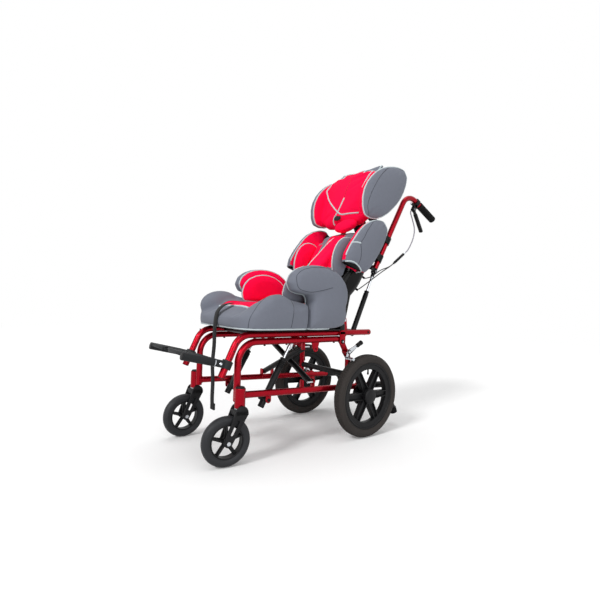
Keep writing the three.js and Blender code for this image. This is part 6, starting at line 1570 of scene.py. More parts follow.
@dataclass
class Cushion:
    """A padded piece that grows out of its CAD solid: remeshed, filled by a cloth simulation, then sewn."""

    name: str
    nodes: Sequence[str]
    body: str
    matrix: Matrix
    panels: Sequence[Panel] = ()
    pinned: Callable[[np.ndarray], np.ndarray] | None = None
    forms: Sequence[Shape] = ()
    cloth: Finish = GREY
    voxel_mm: float = 5.0
    slack_mm: float = 1.0
    cap_mm: float = 9.0
    fill: float = 0.8
    smoothing: int = 5
    item: bpy.types.Object | None = None
    start: np.ndarray | None = None
    mesh: bpy.types.Mesh | None = None

    def source(self) -> bpy.types.Object:
        """The solid that the cushion grows from: its CAD nodes and any forms of its own."""
        gathered = bmesh.new()
        for node in self.nodes:
            gathered.from_mesh(NODES[node].data)
        if self.forms:
            shaped = make_mesh(f"{self.name}_forms", self.forms, self.matrix)
            gathered.from_mesh(shaped.data)
            bpy.data.objects.remove(shaped)
        bmesh.ops.remove_doubles(gathered, verts=gathered.verts, dist=1e-5)
        mesh = bpy.data.meshes.new(self.name)
        gathered.to_mesh(mesh)
        gathered.free()
        item = bpy.data.objects.new(self.name, mesh)
        bpy.context.scene.collection.objects.link(item)
        return item

    def prepare(self) -> None:
        """Remeshes the source and draws it in by the slack."""
        item = self.source()
        mesh = item.data
        remesh = item.modifiers.new("remesh", "REMESH")
        remesh.mode = "VOXEL"
        remesh.voxel_size = self.voxel_mm * MM
        ease = item.modifiers.new("ease", "SMOOTH")
        ease.factor = 0.5
        ease.iterations = self.smoothing
        draw_in = item.modifiers.new("draw_in", "DISPLACE")
        draw_in.strength = -self.slack_mm * MM
        draw_in.mid_level = 0.0
        graph = bpy.context.evaluated_depsgraph_get()
        made = bpy.data.meshes.new_from_object(item.evaluated_get(graph), depsgraph=graph)
        item.modifiers.clear()
        item.data = made
        bpy.data.meshes.remove(mesh)
        self.item = item
        self.start = shape_of(made, self.cloth).points
        self.add_cloth()

    def add_cloth(self) -> None:
        """Adds the cloth whose pressure fills the cushion, held along its pinned seams."""
        modifier = self.item.modifiers.new("fill", "CLOTH")
        settings = modifier.settings
        settings.quality = 4
        settings.use_pressure = True
        settings.uniform_pressure_force = 4.0
        settings.effector_weights.gravity = 0.0
        modifier.point_cache.frame_start = 1
        modifier.point_cache.frame_end = 20
        if self.pinned is not None:
            group = self.item.vertex_groups.new(name="seams")
            local = self.local(self.start)
            group.add([int(i) for i in np.flatnonzero(self.pinned(local))], 1.0, "REPLACE")
            settings.vertex_group_mass = "seams"

    def local(self, points: np.ndarray) -> np.ndarray:
        """Row-frame points in the cushion's own millimetres."""
        inverse = np.array(self.matrix.inverted())
        return points @ inverse[:3, :3].T + inverse[:3, 3]

    def settle(self) -> None:
        """Takes the filled form with its travel capped, and refines it once."""
        graph = bpy.context.evaluated_depsgraph_get()
        filled = bpy.data.meshes.new_from_object(self.item.evaluated_get(graph), depsgraph=graph)
        points = shape_of(filled, self.cloth).points
        bpy.data.meshes.remove(filled)
        travel = points - self.start
        reach = np.linalg.norm(travel, axis=1, keepdims=True)
        cap = self.cap_mm * MM
        travel *= np.minimum(1.0, cap / np.maximum(reach, 1e-9))
        self.item.modifiers.clear()
        self.item.vertex_groups.clear()
        self.item.data.vertices.foreach_set("co", (self.start + travel).ravel())
        finer = self.item.modifiers.new("finer", "SUBSURF")
        finer.levels = finer.render_levels = 1
        graph = bpy.context.evaluated_depsgraph_get()
        self.mesh = bpy.data.meshes.new_from_object(self.item.evaluated_get(graph), depsgraph=graph)
        bpy.data.objects.remove(self.item)

    def finish(self) -> bpy.types.Object:
        """Cuts the panels' borders into the mesh, dresses each panel and seats the piece."""
        work = bmesh.new()
        work.from_mesh(self.mesh)
        turn = self.matrix.to_3x3().normalized()
        for panel in self.panels:
            for place, normal in panel.sides:
                everything = [*work.verts, *work.edges, *work.faces]
                bmesh.ops.bisect_plane(
                    work, geom=everything, dist=1e-6, plane_co=self.matrix @ Vector(place),
                        plane_no=turn @ Vector(normal).normalized()
                )
        finishes = [self.cloth, *dict.fromkeys(p.finish for p in self.panels if p.finish != self.cloth)]
        mesh = bpy.data.meshes.new(self.name)
        work.to_mesh(mesh)
        work.free()
        centres = np.empty(len(mesh.polygons) * 3)
        mesh.polygons.foreach_get("center", centres)
        local = self.local(centres.reshape(-1, 3))
        marks = np.zeros(len(local), int)
        for panel in self.panels:
            inside = np.ones(len(local), bool)
            for place, normal in panel.sides:
                inside &= (local - np.array(place)) @ np.array(normal, float) > 0
            marks[inside] = finishes.index(panel.finish)
        for made in finishes:
            mesh.materials.append(made.material())
        mesh.polygons.foreach_set("material_index", marks)
        mesh.shade_smooth()
        mesh.update()
        item = bpy.data.objects.new(self.name, mesh)
        bpy.context.scene.collection.objects.link(item)
        fit_piece(item, self.body, self.nodes)
        return item

    def section(self, place: Point, normal: Point, keep: Callable[[np.ndarray],
            bool] | None = None) -> list[np.ndarray]:
        """Where a plane meets the cushion's surface.

        Args:
            place: A point of the plane, in local millimetres.
            normal: Its direction.
            keep: Tells for a local point whether the run goes there.

        Returns:
            Runs of points in row metres, each open or closed, smoothed and evenly spaced.
        """
        work = bmesh.new()
        work.from_mesh(self.mesh)
        everything = [*work.verts, *work.edges, *work.faces]
        turn = self.matrix.to_3x3().normalized()
        made = bmesh.ops.bisect_plane(
            work, geom=everything, dist=1e-6, plane_co=self.matrix @ Vector(place),
                plane_no=turn @ Vector(normal).normalized()
        )
        near = {}
        for edge in made["geom_cut"]:
            if not isinstance(edge, bmesh.types.BMEdge):
                continue
            ends = [v.co.copy().freeze() for v in edge.verts]
            middle = self.local(np.array([(ends[0] + ends[1]) / 2]))[0]
            if keep is not None and not keep(middle):
                continue
            near.setdefault(tuple(ends[0]), []).append(tuple(ends[1]))
            near.setdefault(tuple(ends[1]), []).append(tuple(ends[0]))
        work.free()
        return [even_run(run, closed) for run, closed in chains(near) if len(run) > 8]

    def trace(self, points: Sequence[Point], toward: Point, reach_mm: float = 70.0) -> tuple[np.ndarray,
            bool]:
        """Lays a smooth line onto the cushion.

        Args:
            points: Local points near the surface that the line passes.
            toward: The local direction in which the line is dropped.
            reach_mm: How far off the surface the drop starts.

        Returns:
            An open run in row metres.
        """
        tree = BVHTree.FromPolygons([v.co for v in self.mesh.vertices],
            [p.vertices for p in self.mesh.polygons])
        local_heading = Vector(toward).normalized()
        heading = self.matrix.to_3x3().normalized() @ local_heading
        landed = []
        for point in smooth_path(points, 10):
            hit = tree.ray_cast(self.matrix @ (Vector(point) - local_heading * reach_mm), heading)[0]
            if hit is not None:
                landed.append(tuple(hit))
        return even_run(landed, False)


def chains(near: dict) -> list[tuple[list, bool]]:
    """Orders linked points into runs, and says of each whether it closes."""
    made, left = [], set(near)
    ends = [p for p in near if len(near[p]) == 1]
    for first in [*ends, *near]:
        if first not in left:
            continue
        run, here = [first], first
        left.discard(first)
        while True:
            following = [p for p in near[here] if p in left]
            if not following:
                break
            here = following[0]
            left.discard(here)
            run.append(here)
        made.append((run, first in near[here] and len(run) > 2))
    return made


def even_run(run: Sequence[Point], closed: bool, step: float = 0.004) -> tuple[np.ndarray, bool]:
    """A run of points at even steps, with its jitter eased out."""
    points = np.array([tuple(p) for p in run], float)
    if closed:
        points = np.concatenate([points, points[:1]])
    lengths = np.concatenate([[0.0], np.cumsum(np.linalg.norm(np.diff(points, axis=0), axis=1))])
    count = max(int(lengths[-1] / step), 6)
    places = np.linspace(0, lengths[-1], count + 1)
    made = np.stack([np.interp(places, lengths, points[:, k]) for k in range(3)], axis=1)
    if closed:
        made = made[:-1]
    for _ in range(3):
        if closed:
            made = (np.roll(made, 1, axis=0) + 2 * made + np.roll(made, -1, axis=0)) / 4
        else:
            made[1:-1] = (made[:-2] + 2 * made[1:-1] + made[2:]) / 4
    return made, closed


def sew(name: str, runs: Sequence[tuple[np.ndarray, bool]], radius: float, finish: Finish, body: str) -> None:
    """Lays a cord or thread along runs on a cushion, as one piece."""
    shapes = [tube(points / MM, radius, finish, 10, closed) for points, closed in runs if len(points) > 3]
    if not shapes:
        LOG.warning("%s has no run", name)
        return
    item = make_mesh(name, shapes, Matrix.Scale(MM, 4), 60.0)
    fit_piece(item, body)


def between(value: np.ndarray, centre: float, reach: float) -> np.ndarray:
    """Whether values lie within a reach of a centre."""
    return np.abs(value - centre) < reach


@dataclass
class Upholstery:
    """Every padded piece of the chair, with its seams and bindings."""

    arm_x: float = 178.0
    arm_half: float = 38.7
    hip_x: float = 124.5
    trunk_x: float = 122.0
    wing_x: float = 151.0
    wing_half: float = 26.0
    bolster_x: float = 173.0
    bolster_half: float = 25.0
    rim_share: float = 0.45
    front_shares: tuple[float, float] = (-0.3, 0.4)
    channel_x: float = 104.0
    seat_red_y: float = -326.0
    back_red_x: tuple[float, float] = (46.0, 66.0)
    back_red_z: float = 300.0
    bolster_foot: float = 172.0
    hem_peak: tuple[float, float] = (-100.0, 183.0)
    hem_rises: tuple[float, float] = (0.39, -0.086)
    flank_x: float = 105.0
    head_red_y: float = -14.0
    crest_half: float = 120.0
    crest_z: tuple[float, float] = (130.0, 249.0)
    crest_y: float = -70.0
    crest_lean: float = 0.5
    crest_front: float = 16.0
    crest_foot: float = 186.0
    insert_half: float = 46.0
    insert_z: tuple[float, float] = (109.0, 357.0)
    insert_y: tuple[float, float] = (-132.0, -65.0)
    roll_place: tuple[float, float] = (36.0, -48.0)
    roll_half: tuple[float, float] = (62.0, 27.0)
    roll_y: float = -64.0
    slit_place: tuple[float, float] = (-9.0, -12.0)
    slit_half: tuple[float, float] = (21.0, 13.0)
    corner_place: tuple[float, float, float] = (-155.0, -300.0, 479.0)
    corner_radii: tuple[float, float, float] = (47.0, 80.0, 56.0)
    brow_y: float = -66.0
    brow_z: tuple[float, float] = (340.0, 386.0)
    brow_half: float = 88.0
    binding: float = 2.9
    thread: float = 0.9
    cushions: dict[str, Cushion] = field(default_factory=dict)

    def add(self, cushion: Cushion) -> None:
        """Keeps a cushion for the simulation."""
        self.cushions[cushion.name] = cushion

    def plan(self) -> None:
        """States each cushion, the panels of its cover and the seams that hold it in."""
        channel = self.channel_x
        self.add(Cushion(
            "seat_pad", ["seat_cushion"], "seat", DATUM.chair,
            [Panel(RED, [((channel, 0, 0), (-1, 0, 0)), ((-channel, 0, 0), (1, 0, 0)),
                         ((0, self.seat_red_y, 0), (0, 1, 0)), ((0, 0, 440), (0, 0, 1))])],
            lambda p: between(np.abs(p[:, 0]), channel, 3) & (p[:, 2] > 440) | (p[:, 2] < 413),
                forms=[self.corner_form()],
        ))
        for side, sign in SIDES:
            reach = self.arm_half * self.rim_share
            self.add(Cushion(
                f"arm_pad_{side}", [f"armrest_{side}"], "seat", DATUM.chair,
                [Panel(RED, [((sign * (self.arm_x - reach), 0, 0), (-sign, 0, 0))])],
                lambda p, sign=sign, reach=reach: between(p[:, 0] * sign, self.arm_x - reach,
                    3) | (p[:, 2] < 413),
            ))
            self.add(Cushion(
                f"hip_cushion_{side}", [f"hip_pad_{side}"], "seat", DATUM.chair,
                [Panel(RED, [((sign * (self.hip_x - 3), 0, 0), (-sign, 0, 0))])],
                voxel_mm=4.0, slack_mm=1.0, cap_mm=4.0, smoothing=4,
            ))
            self.add(Cushion(
                f"trunk_cushion_{side}", [f"trunk_pad_{side}"], "back", DATUM.back,
                [Panel(RED, [((sign * (self.trunk_x - 3), 0, 0), (-sign, 0, 0))])],
                voxel_mm=4.0, slack_mm=1.0, cap_mm=4.0, smoothing=4,
            ))
        near, far = self.borders(self.wing_x, self.wing_half)
        walls = [((near, 0, 0), (-1, 0, 0)), ((far, 0, 0), (1, 0, 0))]
        place, normal = self.crest_plane()
        self.add(Cushion(
            "head_pad", ["head_support"], "head", DATUM.head,
            [Panel(RED, [*walls, ((0, self.head_red_y, 0), (0, -1, 0)),
                ((0, 0, self.crest_foot + 4), (0, 0, -1))]),
             Panel(RED, [*walls, (place, normal), ((0, 0, self.crest_foot), (0, 0, 1))])],
            lambda p, near=near, far=far: between(p[:, 0], near, 3) | between(p[:, 0], far, 3),
                forms=[self.crest_form()],
        ))
        near, far = self.borders(self.bolster_x, self.bolster_half)
        low, high = self.insert_z
        panels = [Panel(RED, [((0, -60, 0), (0, -1, 0)), ((self.insert_half, 0, 0), (-1, 0, 0)),
            ((0, 0, low), (0, 0, 1)),
                              ((-self.insert_half, 0, 0), (1, 0, 0)), ((0, 0, high), (0, 0, -1))])]
        for sign, edge, border in ((1, near, self.back_red_x[0]), (-1, far, self.back_red_x[1])):
            outer, front = ((edge, 0, 0), (-sign, 0, 0)), ((0, -22, 0), (0, -1, 0))
            for start, ends in ((border, [((0, 0, self.bolster_foot), (0, 0, 1)), ((0, 0, self.back_red_z),
                    (0, 0, -1))]),
                                (100, [((0, 0, self.back_red_z), (0, 0, 1))])):
                panels.append(Panel(RED, [((sign * start, 0, 0), (sign, 0, 0)), outer, front, *ends]))
            hem = (0, *self.hem_peak)
            below = [(hem, (0, rise, -1)) for rise in self.hem_rises]
            panels.append(Panel(SHELL, [((sign * self.flank_x, 0, 0), (sign, 0, 0)), *below]))
        self.add(Cushion(
            "back_pad", ["back_cushion"], "back", DATUM.back, panels,
            lambda p, near=near, far=far: between(p[:, 0], near, 3) | between(p[:, 0], far, 3),
                forms=[self.brow_form()],
        ))
        self.add(Cushion(
            "back_insert", [], "back", DATUM.back, forms=[self.insert_form()], cloth=RED,
            voxel_mm=4.0, slack_mm=0.5, cap_mm=3.0, smoothing=4,
        ))
        self.add(Cushion(
            "neck_roll", [], "head", DATUM.head, forms=[self.roll_form()], cloth=RED,
            voxel_mm=4.0, slack_mm=0.5, cap_mm=3.0, smoothing=4,
        ))

    def borders(self, centre: float, half: float) -> tuple[float, float]:
        """Where the red front of a side pad ends, on the near and on the far side."""
        near, far = self.front_shares
        return centre - half * near, -(centre - half * far)

    def crest_plane(self) -> tuple[Point, Point]:
        """The leaning plane of the head support's upper edge where its front panel ends, facing forward."""
        return (0, self.crest_y - self.crest_front, self.crest_z[0]), (0, -1, self.crest_lean)

    def corner_form(self) -> Shape:
        """The soft swelling of the seat's far front corner."""
        wide, deep, high = self.corner_radii
        profile = [(math.cos(a), math.sin(a)) for a in np.linspace(-math.pi / 2, math.pi / 2, 13)]
        ball = turned([(abs(r), z) for r, z in profile], GREY, 24)
        return Shape(ball.points * np.array([wide, deep, high]) + np.array(self.corner_place), ball.faces,
            GREY)

    def brow_form(self) -> Shape:
        """The soft upper edge of the back cushion between its bolsters."""
        half = [(0, 0), (0.9, 0.05), (1, 0.4), (0.8, 0.85), (0.4, 1)]
        low, high = self.brow_z
        shares = [*half, *[(-u, v) for u, v in reversed(half[1:])]]
        outline = smooth_path([(u * self.brow_half, low + (high - low) * v, 0) for u, v in shares], 4,
            closed=True)
        return crowned(
            [(p[0], p[1]) for p in outline], (0, (low + high) / 2), 12.0, lambda u, v,
                lift: (u, self.brow_y + lift, v), GREY
        )

    def insert_form(self) -> Shape:
        """The slanted red pad on the middle of the back: its foot stands further forward than its top."""
        half = [(0, 0), (0.8, 0.02), (1, 0.12), (1, 0.85), (0.75, 0.97), (0, 1)]
        shares = [*half, *[(-u, v) for u, v in reversed(half[1:-1])]]
        low, high = self.insert_z
        outline = smooth_path([(u * self.insert_half, low + (high - low) * v, 0) for u, v in shares], 5,
            closed=True)
        middle = lambda v: self.insert_y[0] + (self.insert_y[1] - self.insert_y[0]) * (v - low) / (high - low)
        return crowned(
            [(p[0], p[1]) for p in outline], (0, (low + high) / 2), 32.0, lambda u, v,
                lift: (u, middle(v) + lift, v), RED
        )

    def crest_form(self) -> Shape:
        """The head support's upper edge: it leans back and rises into a corner at each wing."""
        half = [(0, 0), (0.6, 0.02), (0.88, 0.08), (0.97, 0.4), (1, 0.9), (0.98, 1), (0.9, 0.97),
            (0.64, 0.87), (0.41, 0.83), (0, 0.72)]
        low, high = self.crest_z
        shares = [*half, *[(-u, v) for u, v in reversed(half[1:-1])]]
        outline = [(u * self.crest_half, low + (high - low) * v) for u, v in shares]
        foot, lean = self.crest_y, self.crest_lean
        return crowned(outline, (0, (low + high) / 2), 14.0, lambda u, v,
            lift: (u, foot + lean * (v - low) + lift, v), RED)

    def roll_form(self) -> Shape:
        """The red roll under the head support."""
        (x, z), (wide, high) = self.roll_place, self.roll_half
        tilt = 0.1
        outline = [(x + wide * math.cos(a), z + high * math.sin(a) + tilt * wide * math.cos(a))
                   for a in np.linspace(0, math.tau, 29)[:-1]]
        return crowned(outline, (x, z), 17.0, lambda u, v, lift: (u, self.roll_y + lift, v), RED)

    def simulate(self) -> None:
        """Prepares every cushion, runs the frames once for all of them and settles the results."""
        scene = bpy.context.scene
        scene.frame_start, scene.frame_end = 1, 20
        for cushion in self.cushions.values():
            cushion.prepare()
        for step in range(1, 21):
            scene.frame_set(step)
        for cushion in self.cushions.values():
            cushion.settle()
            LOG.info("%s: %d faces", cushion.name, len(cushion.mesh.polygons))
        scene.frame_set(1)

    def bind(self) -> None:
        """Lays the bindings and seams on the settled cushions."""
        self.bind_seat()
        for side, sign in SIDES:
            self.bind_side(side, sign)
        self.bind_head()
        self.bind_back()

    def bind_seat(self) -> None:
        """The seat's hem, channels, flap edge and the seams round its nose."""
        seat = self.cushions["seat_pad"]
        channels = [run for x in (self.channel_x, -self.channel_x)
                    for run in seat.section((x, 0, 0), (1, 0, 0),
                        lambda p: p[2] > 450 and p[1] > self.seat_red_y)]
        front = seat.section((0, self.seat_red_y, 0), (0, 1, 0),
            lambda p: p[2] > 450 and abs(p[0]) < self.channel_x)
        sew("seat_hem", seat.section((0, 0, 412), (0, 0, 1)), self.binding, PIPING, "seat")
        # The channel lines are dark red thread with painted shade of the channel grooves.
        sew("seat_channels", channels, self.thread, RED_STITCH_AND_SEAM_SHADE, "seat")
        sew("seat_front_binding", front, self.binding * 1.4, PIPING, "seat")
        corner = ((174, -368, 416), (177, -365, 443), (178, -353, 466), (169, -328, 491), (163, -298, 513),
            (150, -262, 524))
        side = ((200, -219, 416), (204, -219, 445), (204, -218, 474), (192, -214, 505))
        for line, toward, label in ((corner, (-0.7, 0.7, -0.15), "corner"), (side, (-1, 0, 0), "side")):
            runs = []
            for sign in (1, -1):
                points = [(sign * x, y, z) for x, y, z in line]
                runs.append(seat.trace(points, (sign * toward[0], toward[1], toward[2])))
            sew(f"seat_{label}_seams", runs, self.thread, STITCH_AND_SEAM_SHADE, "seat")

    def bind_side(self, side: str, sign: int) -> None:
        """The bindings of an armrest, a hip pad and a trunk pad."""
        arm = self.cushions[f"arm_pad_{side}"]
        reach = self.arm_half * self.rim_share
        edge = arm.section((sign * (self.arm_x - reach), 0, 0), (1, 0, 0), lambda p: p[2] > 430)
        loop = ((-45, 612), (-83, 622), (-136, 620), (-177, 610), (-204, 591), (-208, 574), (-205, 555),
            (-192, 542),
                (-152, 536), (-111, 543), (-65, 555))
        seam = arm.trace([(sign * 208, y, z) for y, z in loop], (-sign, 0, 0))
        sew(f"arm_binding_{side}", edge, self.binding, PIPING, "seat")
        sew(f"arm_seam_{side}", [seam], self.thread, STITCH_AND_SEAM_SHADE, "seat")
        sew(f"arm_hem_{side}", arm.section((0, 0, 412), (0, 0, 1)), self.binding, PIPING, "seat")
        hip = self.cushions[f"hip_cushion_{side}"]
        edge = hip.section((sign * (self.hip_x - 3), 0, 0), (1, 0, 0), lambda p: p[2] > 497)
        sew(f"hip_binding_{side}", edge, self.binding, PIPING, "seat")
        trunk = self.cushions[f"trunk_cushion_{side}"]
        edge = trunk.section((sign * (self.trunk_x - 3), 0, 0), (1, 0, 0), lambda p: p[1] < -84)
        sew(f"trunk_binding_{side}", edge, self.binding, PIPING, "back")

    def bind_head(self) -> None:
        """The head support's bindings, its forked piping, its seams in dark thread with painted shade, and a
        dark patch of painted shade for its opening.
        """
        pad = self.cushions["head_pad"]
        rims = [run for edge in self.borders(self.wing_x, self.wing_half) for run in pad.section((edge, 0,
            0), (1, 0, 0))]
        top = pad.section(*self.crest_plane(),
            lambda p: p[2] > self.crest_foot and abs(p[0]) < self.crest_half + 4)
        sew("head_binding", rims, self.binding, PIPING, "head")
        sew("head_top_binding", top, self.binding * 1.2, PIPING, "head")
        forward = (0, 1, 0)
        lines = (
            ((-104, 222), (-122, 182), (-129, 133), (-100, 88), (-53, 46), (-10, 12)),
            ((-10, 12), (3, 43), (12, 73)),
            ((-10, 12), (14, -1), (58, -2), (101, 0)),
            ((-10, 12), (-28, -6), (-38, -26), (-36, -34)),
            ((112, 236), (114, 205), (110, 165), (104, 130), (101, 104)),
        )
        runs = [pad.trace([(x, -80, z) for x, z in line], forward) for line in lines]
        sew("head_piping", runs, self.binding * 1.15, PIPING, "head")
        middle = pad.trace([(x, -80, z) for x, z in ((12, 73), (11, 106), (14, 140), (12, 188))], forward)
        sew("head_middle_seam", [middle], self.thread, RED_STITCH_AND_SEAM_SHADE, "head")
        line = ((60, 240), (-7, 222), (-56, 167), (-85, 100), (-96, 44), (-93, 3), (-71, -26))
        runs = [pad.trace([(sign * 176, y, z) for y, z in line], (-sign, 0, 0)) for sign in (1, -1)]
        sew("wing_seams", runs, self.thread, STITCH_AND_SEAM_SHADE, "head")
        x, z = self.slit_place
        wide, high = self.slit_half
        outline = [(x + wide * math.cos(a), z + high * math.sin(a)) for a in np.linspace(0, math.tau,
            25)[:-1]]
        front = self.slit_y(pad)
        # The opening is a thin dark patch on the panel: painted shade of the hollow behind the slit.
        slit = crowned(outline, (x, z), 3.0, lambda u, v, lift: (u, front + lift, v), OPENING_SHADE)
        fit_piece(make_mesh("head_opening_painted_shade", [slit], DATUM.head), "head")

    def slit_y(self, pad: Cushion) -> float:
        """How far forward the head panel stands where its opening lies."""
        x, z = self.slit_place
        run, _ = pad.trace([(x - 16, -80, z), (x, -80, z), (x + 16, -80, z)], (0, 1, 0))
        return float(np.median(pad.local(run)[:, 1]))

    def bind_back(self) -> None:
        """The back's bindings, the flap on each bolster and the edges of the slanted insert."""
        pad = self.cushions["back_pad"]
        rims = [run for edge in self.borders(self.bolster_x, self.bolster_half)
                for run in pad.section((edge, 0, 0), (1, 0, 0),
                    lambda p: p[1] < -60 and p[2] > 188 or p[2] > 380)]
        sew("back_binding", rims, self.binding, PIPING, "back")
        seam = ((-12, 420), (-60, 414), (-105, 383), (-123, 325), (-125, 289), (-129, 259), (-116, 241),
            (-100, 213), (-95, 190))
        hem = ((-156, 244), (-142, 254), (-129, 259))
        foot = ((-146, 166), (-128, 178), (-100, 184), (-64, 182), (-30, 178))
        for label, line, radius, finish in (
            ("seams", seam, self.thread, STITCH_AND_SEAM_SHADE), ("flap_hems", hem, self.binding, PIPING),
                ("foot_piping", foot, self.binding, PIPING)
        ):
            runs = [pad.trace([(sign * 196, y, z) for y, z in line], (-sign, 0, 0)) for sign in (1, -1)]
            sew(f"bolster_{label}", runs, radius, finish, "back")
        insert = self.cushions["back_insert"]
        low, high = self.insert_z
        edges = []
        for x in (40, -27):
            line = [(x, low + (high - low) * share) for share in (0.12, 0.4, 0.7, 0.86)]
            line.append((x * 0.65, low + (high - low) * 0.955))
            edges.append(insert.trace([(x, -100, z) for x, z in line], (0, 1, 0), 120.0))
        # The insert's crease is a dark red line: painted shade of the fold.
        sew("insert_crease", edges[:1], self.thread, RED_STITCH_AND_SEAM_SHADE, "back")
        sew("insert_piping", edges[1:], self.binding * 1.1, PIPING, "back")

    def build(self) -> None:
        """Makes every padded piece."""
        self.plan()
        self.simulate()
        for cushion in self.cushions.values():
            cushion.finish()
        self.bind()


@dataclass
class Strap:
    """The webbing strap that hangs from the nose of the seat."""

    width: float = 25.0
    thickness: float = 2.4
    end_z: float = 130.0
    drop_top: tuple[float, float] = (-391.0, 440.0)
    bow: float = 5.0
    flat_length: float = 0.4
    over: tuple = ((-330, 490.5), (-345, 488), (-357, 484.5), (-368, 479.5), (-378, 470.5), (-386.5, 458))

    def build(self) -> None:
        """Makes the strap as a ribbon with a folded end."""
        y, z = self.drop_top
        route = list(self.over)
        steps = 30
        for i in range(steps + 1):
            share = i / steps
            sway = self.bow * math.sin(math.pi * share) + 1.2 * math.sin(5 * math.pi * share)
            route.append((y - sway, z + (self.end_z - z) * share))
        path = smooth_path([(0, a, b) for a, b in route], 3)
        rings = []
        for i, place in enumerate(path):
            run = path[min(i + 1, len(path) - 1)] - path[max(i - 1, 0)]
            normal = np.array([0, run[2], -run[1]]) / np.linalg.norm(run)
            w, t = self.width / 2, self.thickness / 2
            section = ((-w, -t * 0.4), (-w + 0.6, -t), (w - 0.6, -t), (w, -t * 0.4), (w, t * 0.4),
                (w - 0.6, t), (-w + 0.6, t), (-w, t * 0.4))
            rings.append(np.array([place + vec(u, 0, 0) + normal * v for u, v in section]))
        fold = block(-13, 13, y - 3.2, y + 3.2, self.end_z, self.end_z + 22, WEBBING, 0.9)
        item = make_mesh("strap", [loft(rings, WEBBING), fold], DATUM.chair, 60.0)
        fit_piece(item, "seat", ["front_strap"])


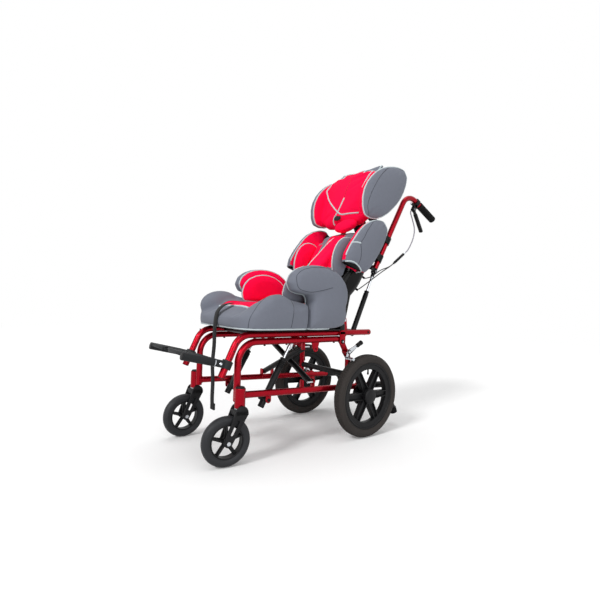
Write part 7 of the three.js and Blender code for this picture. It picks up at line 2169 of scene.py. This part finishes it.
@dataclass
class Studio:
    """Camera, soft lights and a plain pale floor."""

    azimuth: float = 0.9149910594551994
    elevation: float = -0.005664845077511897
    roll: float = 0.03591987708756763
    place: tuple[float, float, float] = (1254.5, -1001.4, 501.0)
    focal_px: float = 405.25
    frame_px: float = 600.0
    sensor_mm: float = 36.0
    fade: tuple[float, float] = (3.0, 6.0)
    floor_lift: float = 0.09
    surround: float = 0.4

    def camera(self) -> None:
        """Puts the camera where the photograph was taken."""
        data = bpy.data.cameras.new("camera")
        data.sensor_width = self.sensor_mm
        data.lens = self.focal_px / self.frame_px * self.sensor_mm
        data.clip_start, data.clip_end = 0.02, 60.0
        item = bpy.data.objects.new("camera", data)
        bpy.context.scene.collection.objects.link(item)
        a, e, r = self.azimuth, self.elevation, self.roll
        back = Vector((math.sin(a) * math.cos(e), -math.cos(a) * math.cos(e), math.sin(e)))
        right = Vector((math.cos(a), math.sin(a), 0))
        up = back.cross(right)
        turned_right = right * math.cos(r) + up * math.sin(r)
        turned_up = up * math.cos(r) - right * math.sin(r)
        turn = Matrix((turned_right, turned_up, back)).transposed().to_4x4()
        item.matrix_world = Matrix.Translation(DATUM.chair @ Vector(self.place)) @ turn
        bpy.context.scene.camera = item

    def lamp(self, name: str, source: Point, strength: float, spread_deg: float) -> None:
        """Adds an even soft light that comes from a direction."""
        data = bpy.data.lights.new(name, "SUN")
        data.energy = strength
        data.angle = math.radians(spread_deg)
        item = bpy.data.objects.new(name, data)
        bpy.context.scene.collection.objects.link(item)
        item.matrix_world = (-Vector(source)).to_track_quat("-Z", "Y").to_matrix().to_4x4()

    def world(self) -> None:
        """An even grey-white surround that the camera sees as white."""
        world = bpy.data.worlds.new("studio")
        bpy.context.scene.world = world
        world.use_nodes = True
        tree = world.node_tree
        tree.nodes.clear()
        rays = add_node(tree, "ShaderNodeLightPath")
        seen = rays.outputs["Is Camera Ray"]
        for kind in ("Is Glossy Ray", "Is Transmission Ray"):
            seen = add_node(tree, "ShaderNodeMath", {0: seen, 1: rays.outputs[kind]},
                operation="MAXIMUM").outputs[0]
        fill = add_node(tree, "ShaderNodeBackground", {"Color": (1, 1, 1, 1), "Strength": self.surround})
        white = add_node(tree, "ShaderNodeBackground", {"Color": (1, 1, 1, 1), "Strength": 1.0})
        mix = add_node(tree, "ShaderNodeMixShader", {0: seen, 1: fill.outputs[0], 2: white.outputs[0]})
        add_node(tree, "ShaderNodeOutputWorld", {"Surface": mix.outputs[0]})

    def floor(self) -> None:
        """A pale floor that keeps the shadow near the chair and fades to white far off."""
        mesh = bpy.data.meshes.new("floor")
        reach = 14.0
        mesh.from_pydata([(-reach, -reach, 0), (reach, -reach, 0), (reach, reach, 0), (-reach, reach, 0)],
            [], [(0, 1, 2, 3)])
        material = bpy.data.materials.new("pale_floor")
        material.use_nodes = True
        tree = material.node_tree
        tree.nodes.clear()
        place = add_node(tree, "ShaderNodeTexCoord").outputs["Object"]
        length = add_node(tree, "ShaderNodeVectorMath", {0: place}, operation="LENGTH")
        near, far = self.fade
        fade = add_node(tree, "ShaderNodeMapRange", {"Value": length.outputs["Value"], "From Min": near,
            "From Max": far})
        seen = add_node(tree, "ShaderNodeLightPath").outputs["Is Camera Ray"]
        lift = add_node(tree, "ShaderNodeMath", {0: seen, 1: self.floor_lift}, operation="MULTIPLY")
        matt = add_node(tree, "ShaderNodeBsdfDiffuse", {"Color": (0.93, 0.93, 0.93, 1)})
        glow = add_node(tree, "ShaderNodeEmission", {"Color": (1, 1, 1, 1), "Strength": lift.outputs[0]})
        near_floor = add_node(tree, "ShaderNodeAddShader", {0: matt.outputs[0], 1: glow.outputs[0]})
        white = add_node(tree, "ShaderNodeEmission", {"Color": (1, 1, 1, 1), "Strength": 1.0})
        factor = add_node(tree, "ShaderNodeMath", {0: seen, 1: fade.outputs[0]}, operation="MULTIPLY")
        mix = add_node(tree, "ShaderNodeMixShader", {0: factor.outputs[0], 1: near_floor.outputs[0],
            2: white.outputs[0]})
        add_node(tree, "ShaderNodeOutputMaterial", {"Surface": mix.outputs[0]})
        mesh.materials.append(material)
        item = bpy.data.objects.new("floor", mesh)
        bpy.context.scene.collection.objects.link(item)

    def build(self) -> None:
        """Sets the camera, the lamps, the world and the floor."""
        self.camera()
        self.lamp("key", (0.5, -2.4, 1.9), 1.5, 13.0)
        self.lamp("fill", (2.6, -0.6, 1.0), 0.9, 40.0)
        self.lamp("top", (-0.2, 0.0, 2.4), 0.9, 50.0)
        self.world()
        self.floor()
        bpy.context.scene.view_settings.view_transform = "Standard"


def main() -> None:
    """Builds the studio and every piece of the chair in order."""
    Studio().build()
    SideFrames().build()
    CrossMembers().build()
    RearWheels().build()
    Casters().build()
    BaseFittings().build()
    seat = SeatFrame()
    seat.build()
    Footrests(seat).build()
    GasSprings().build()
    BackFrame().build()
    Cable().build()
    Upholstery().build()
    Strap().build()


if __name__ == "__main__":
    logging.basicConfig(level=logging.INFO, format="%(name)s %(message)s")
    main()
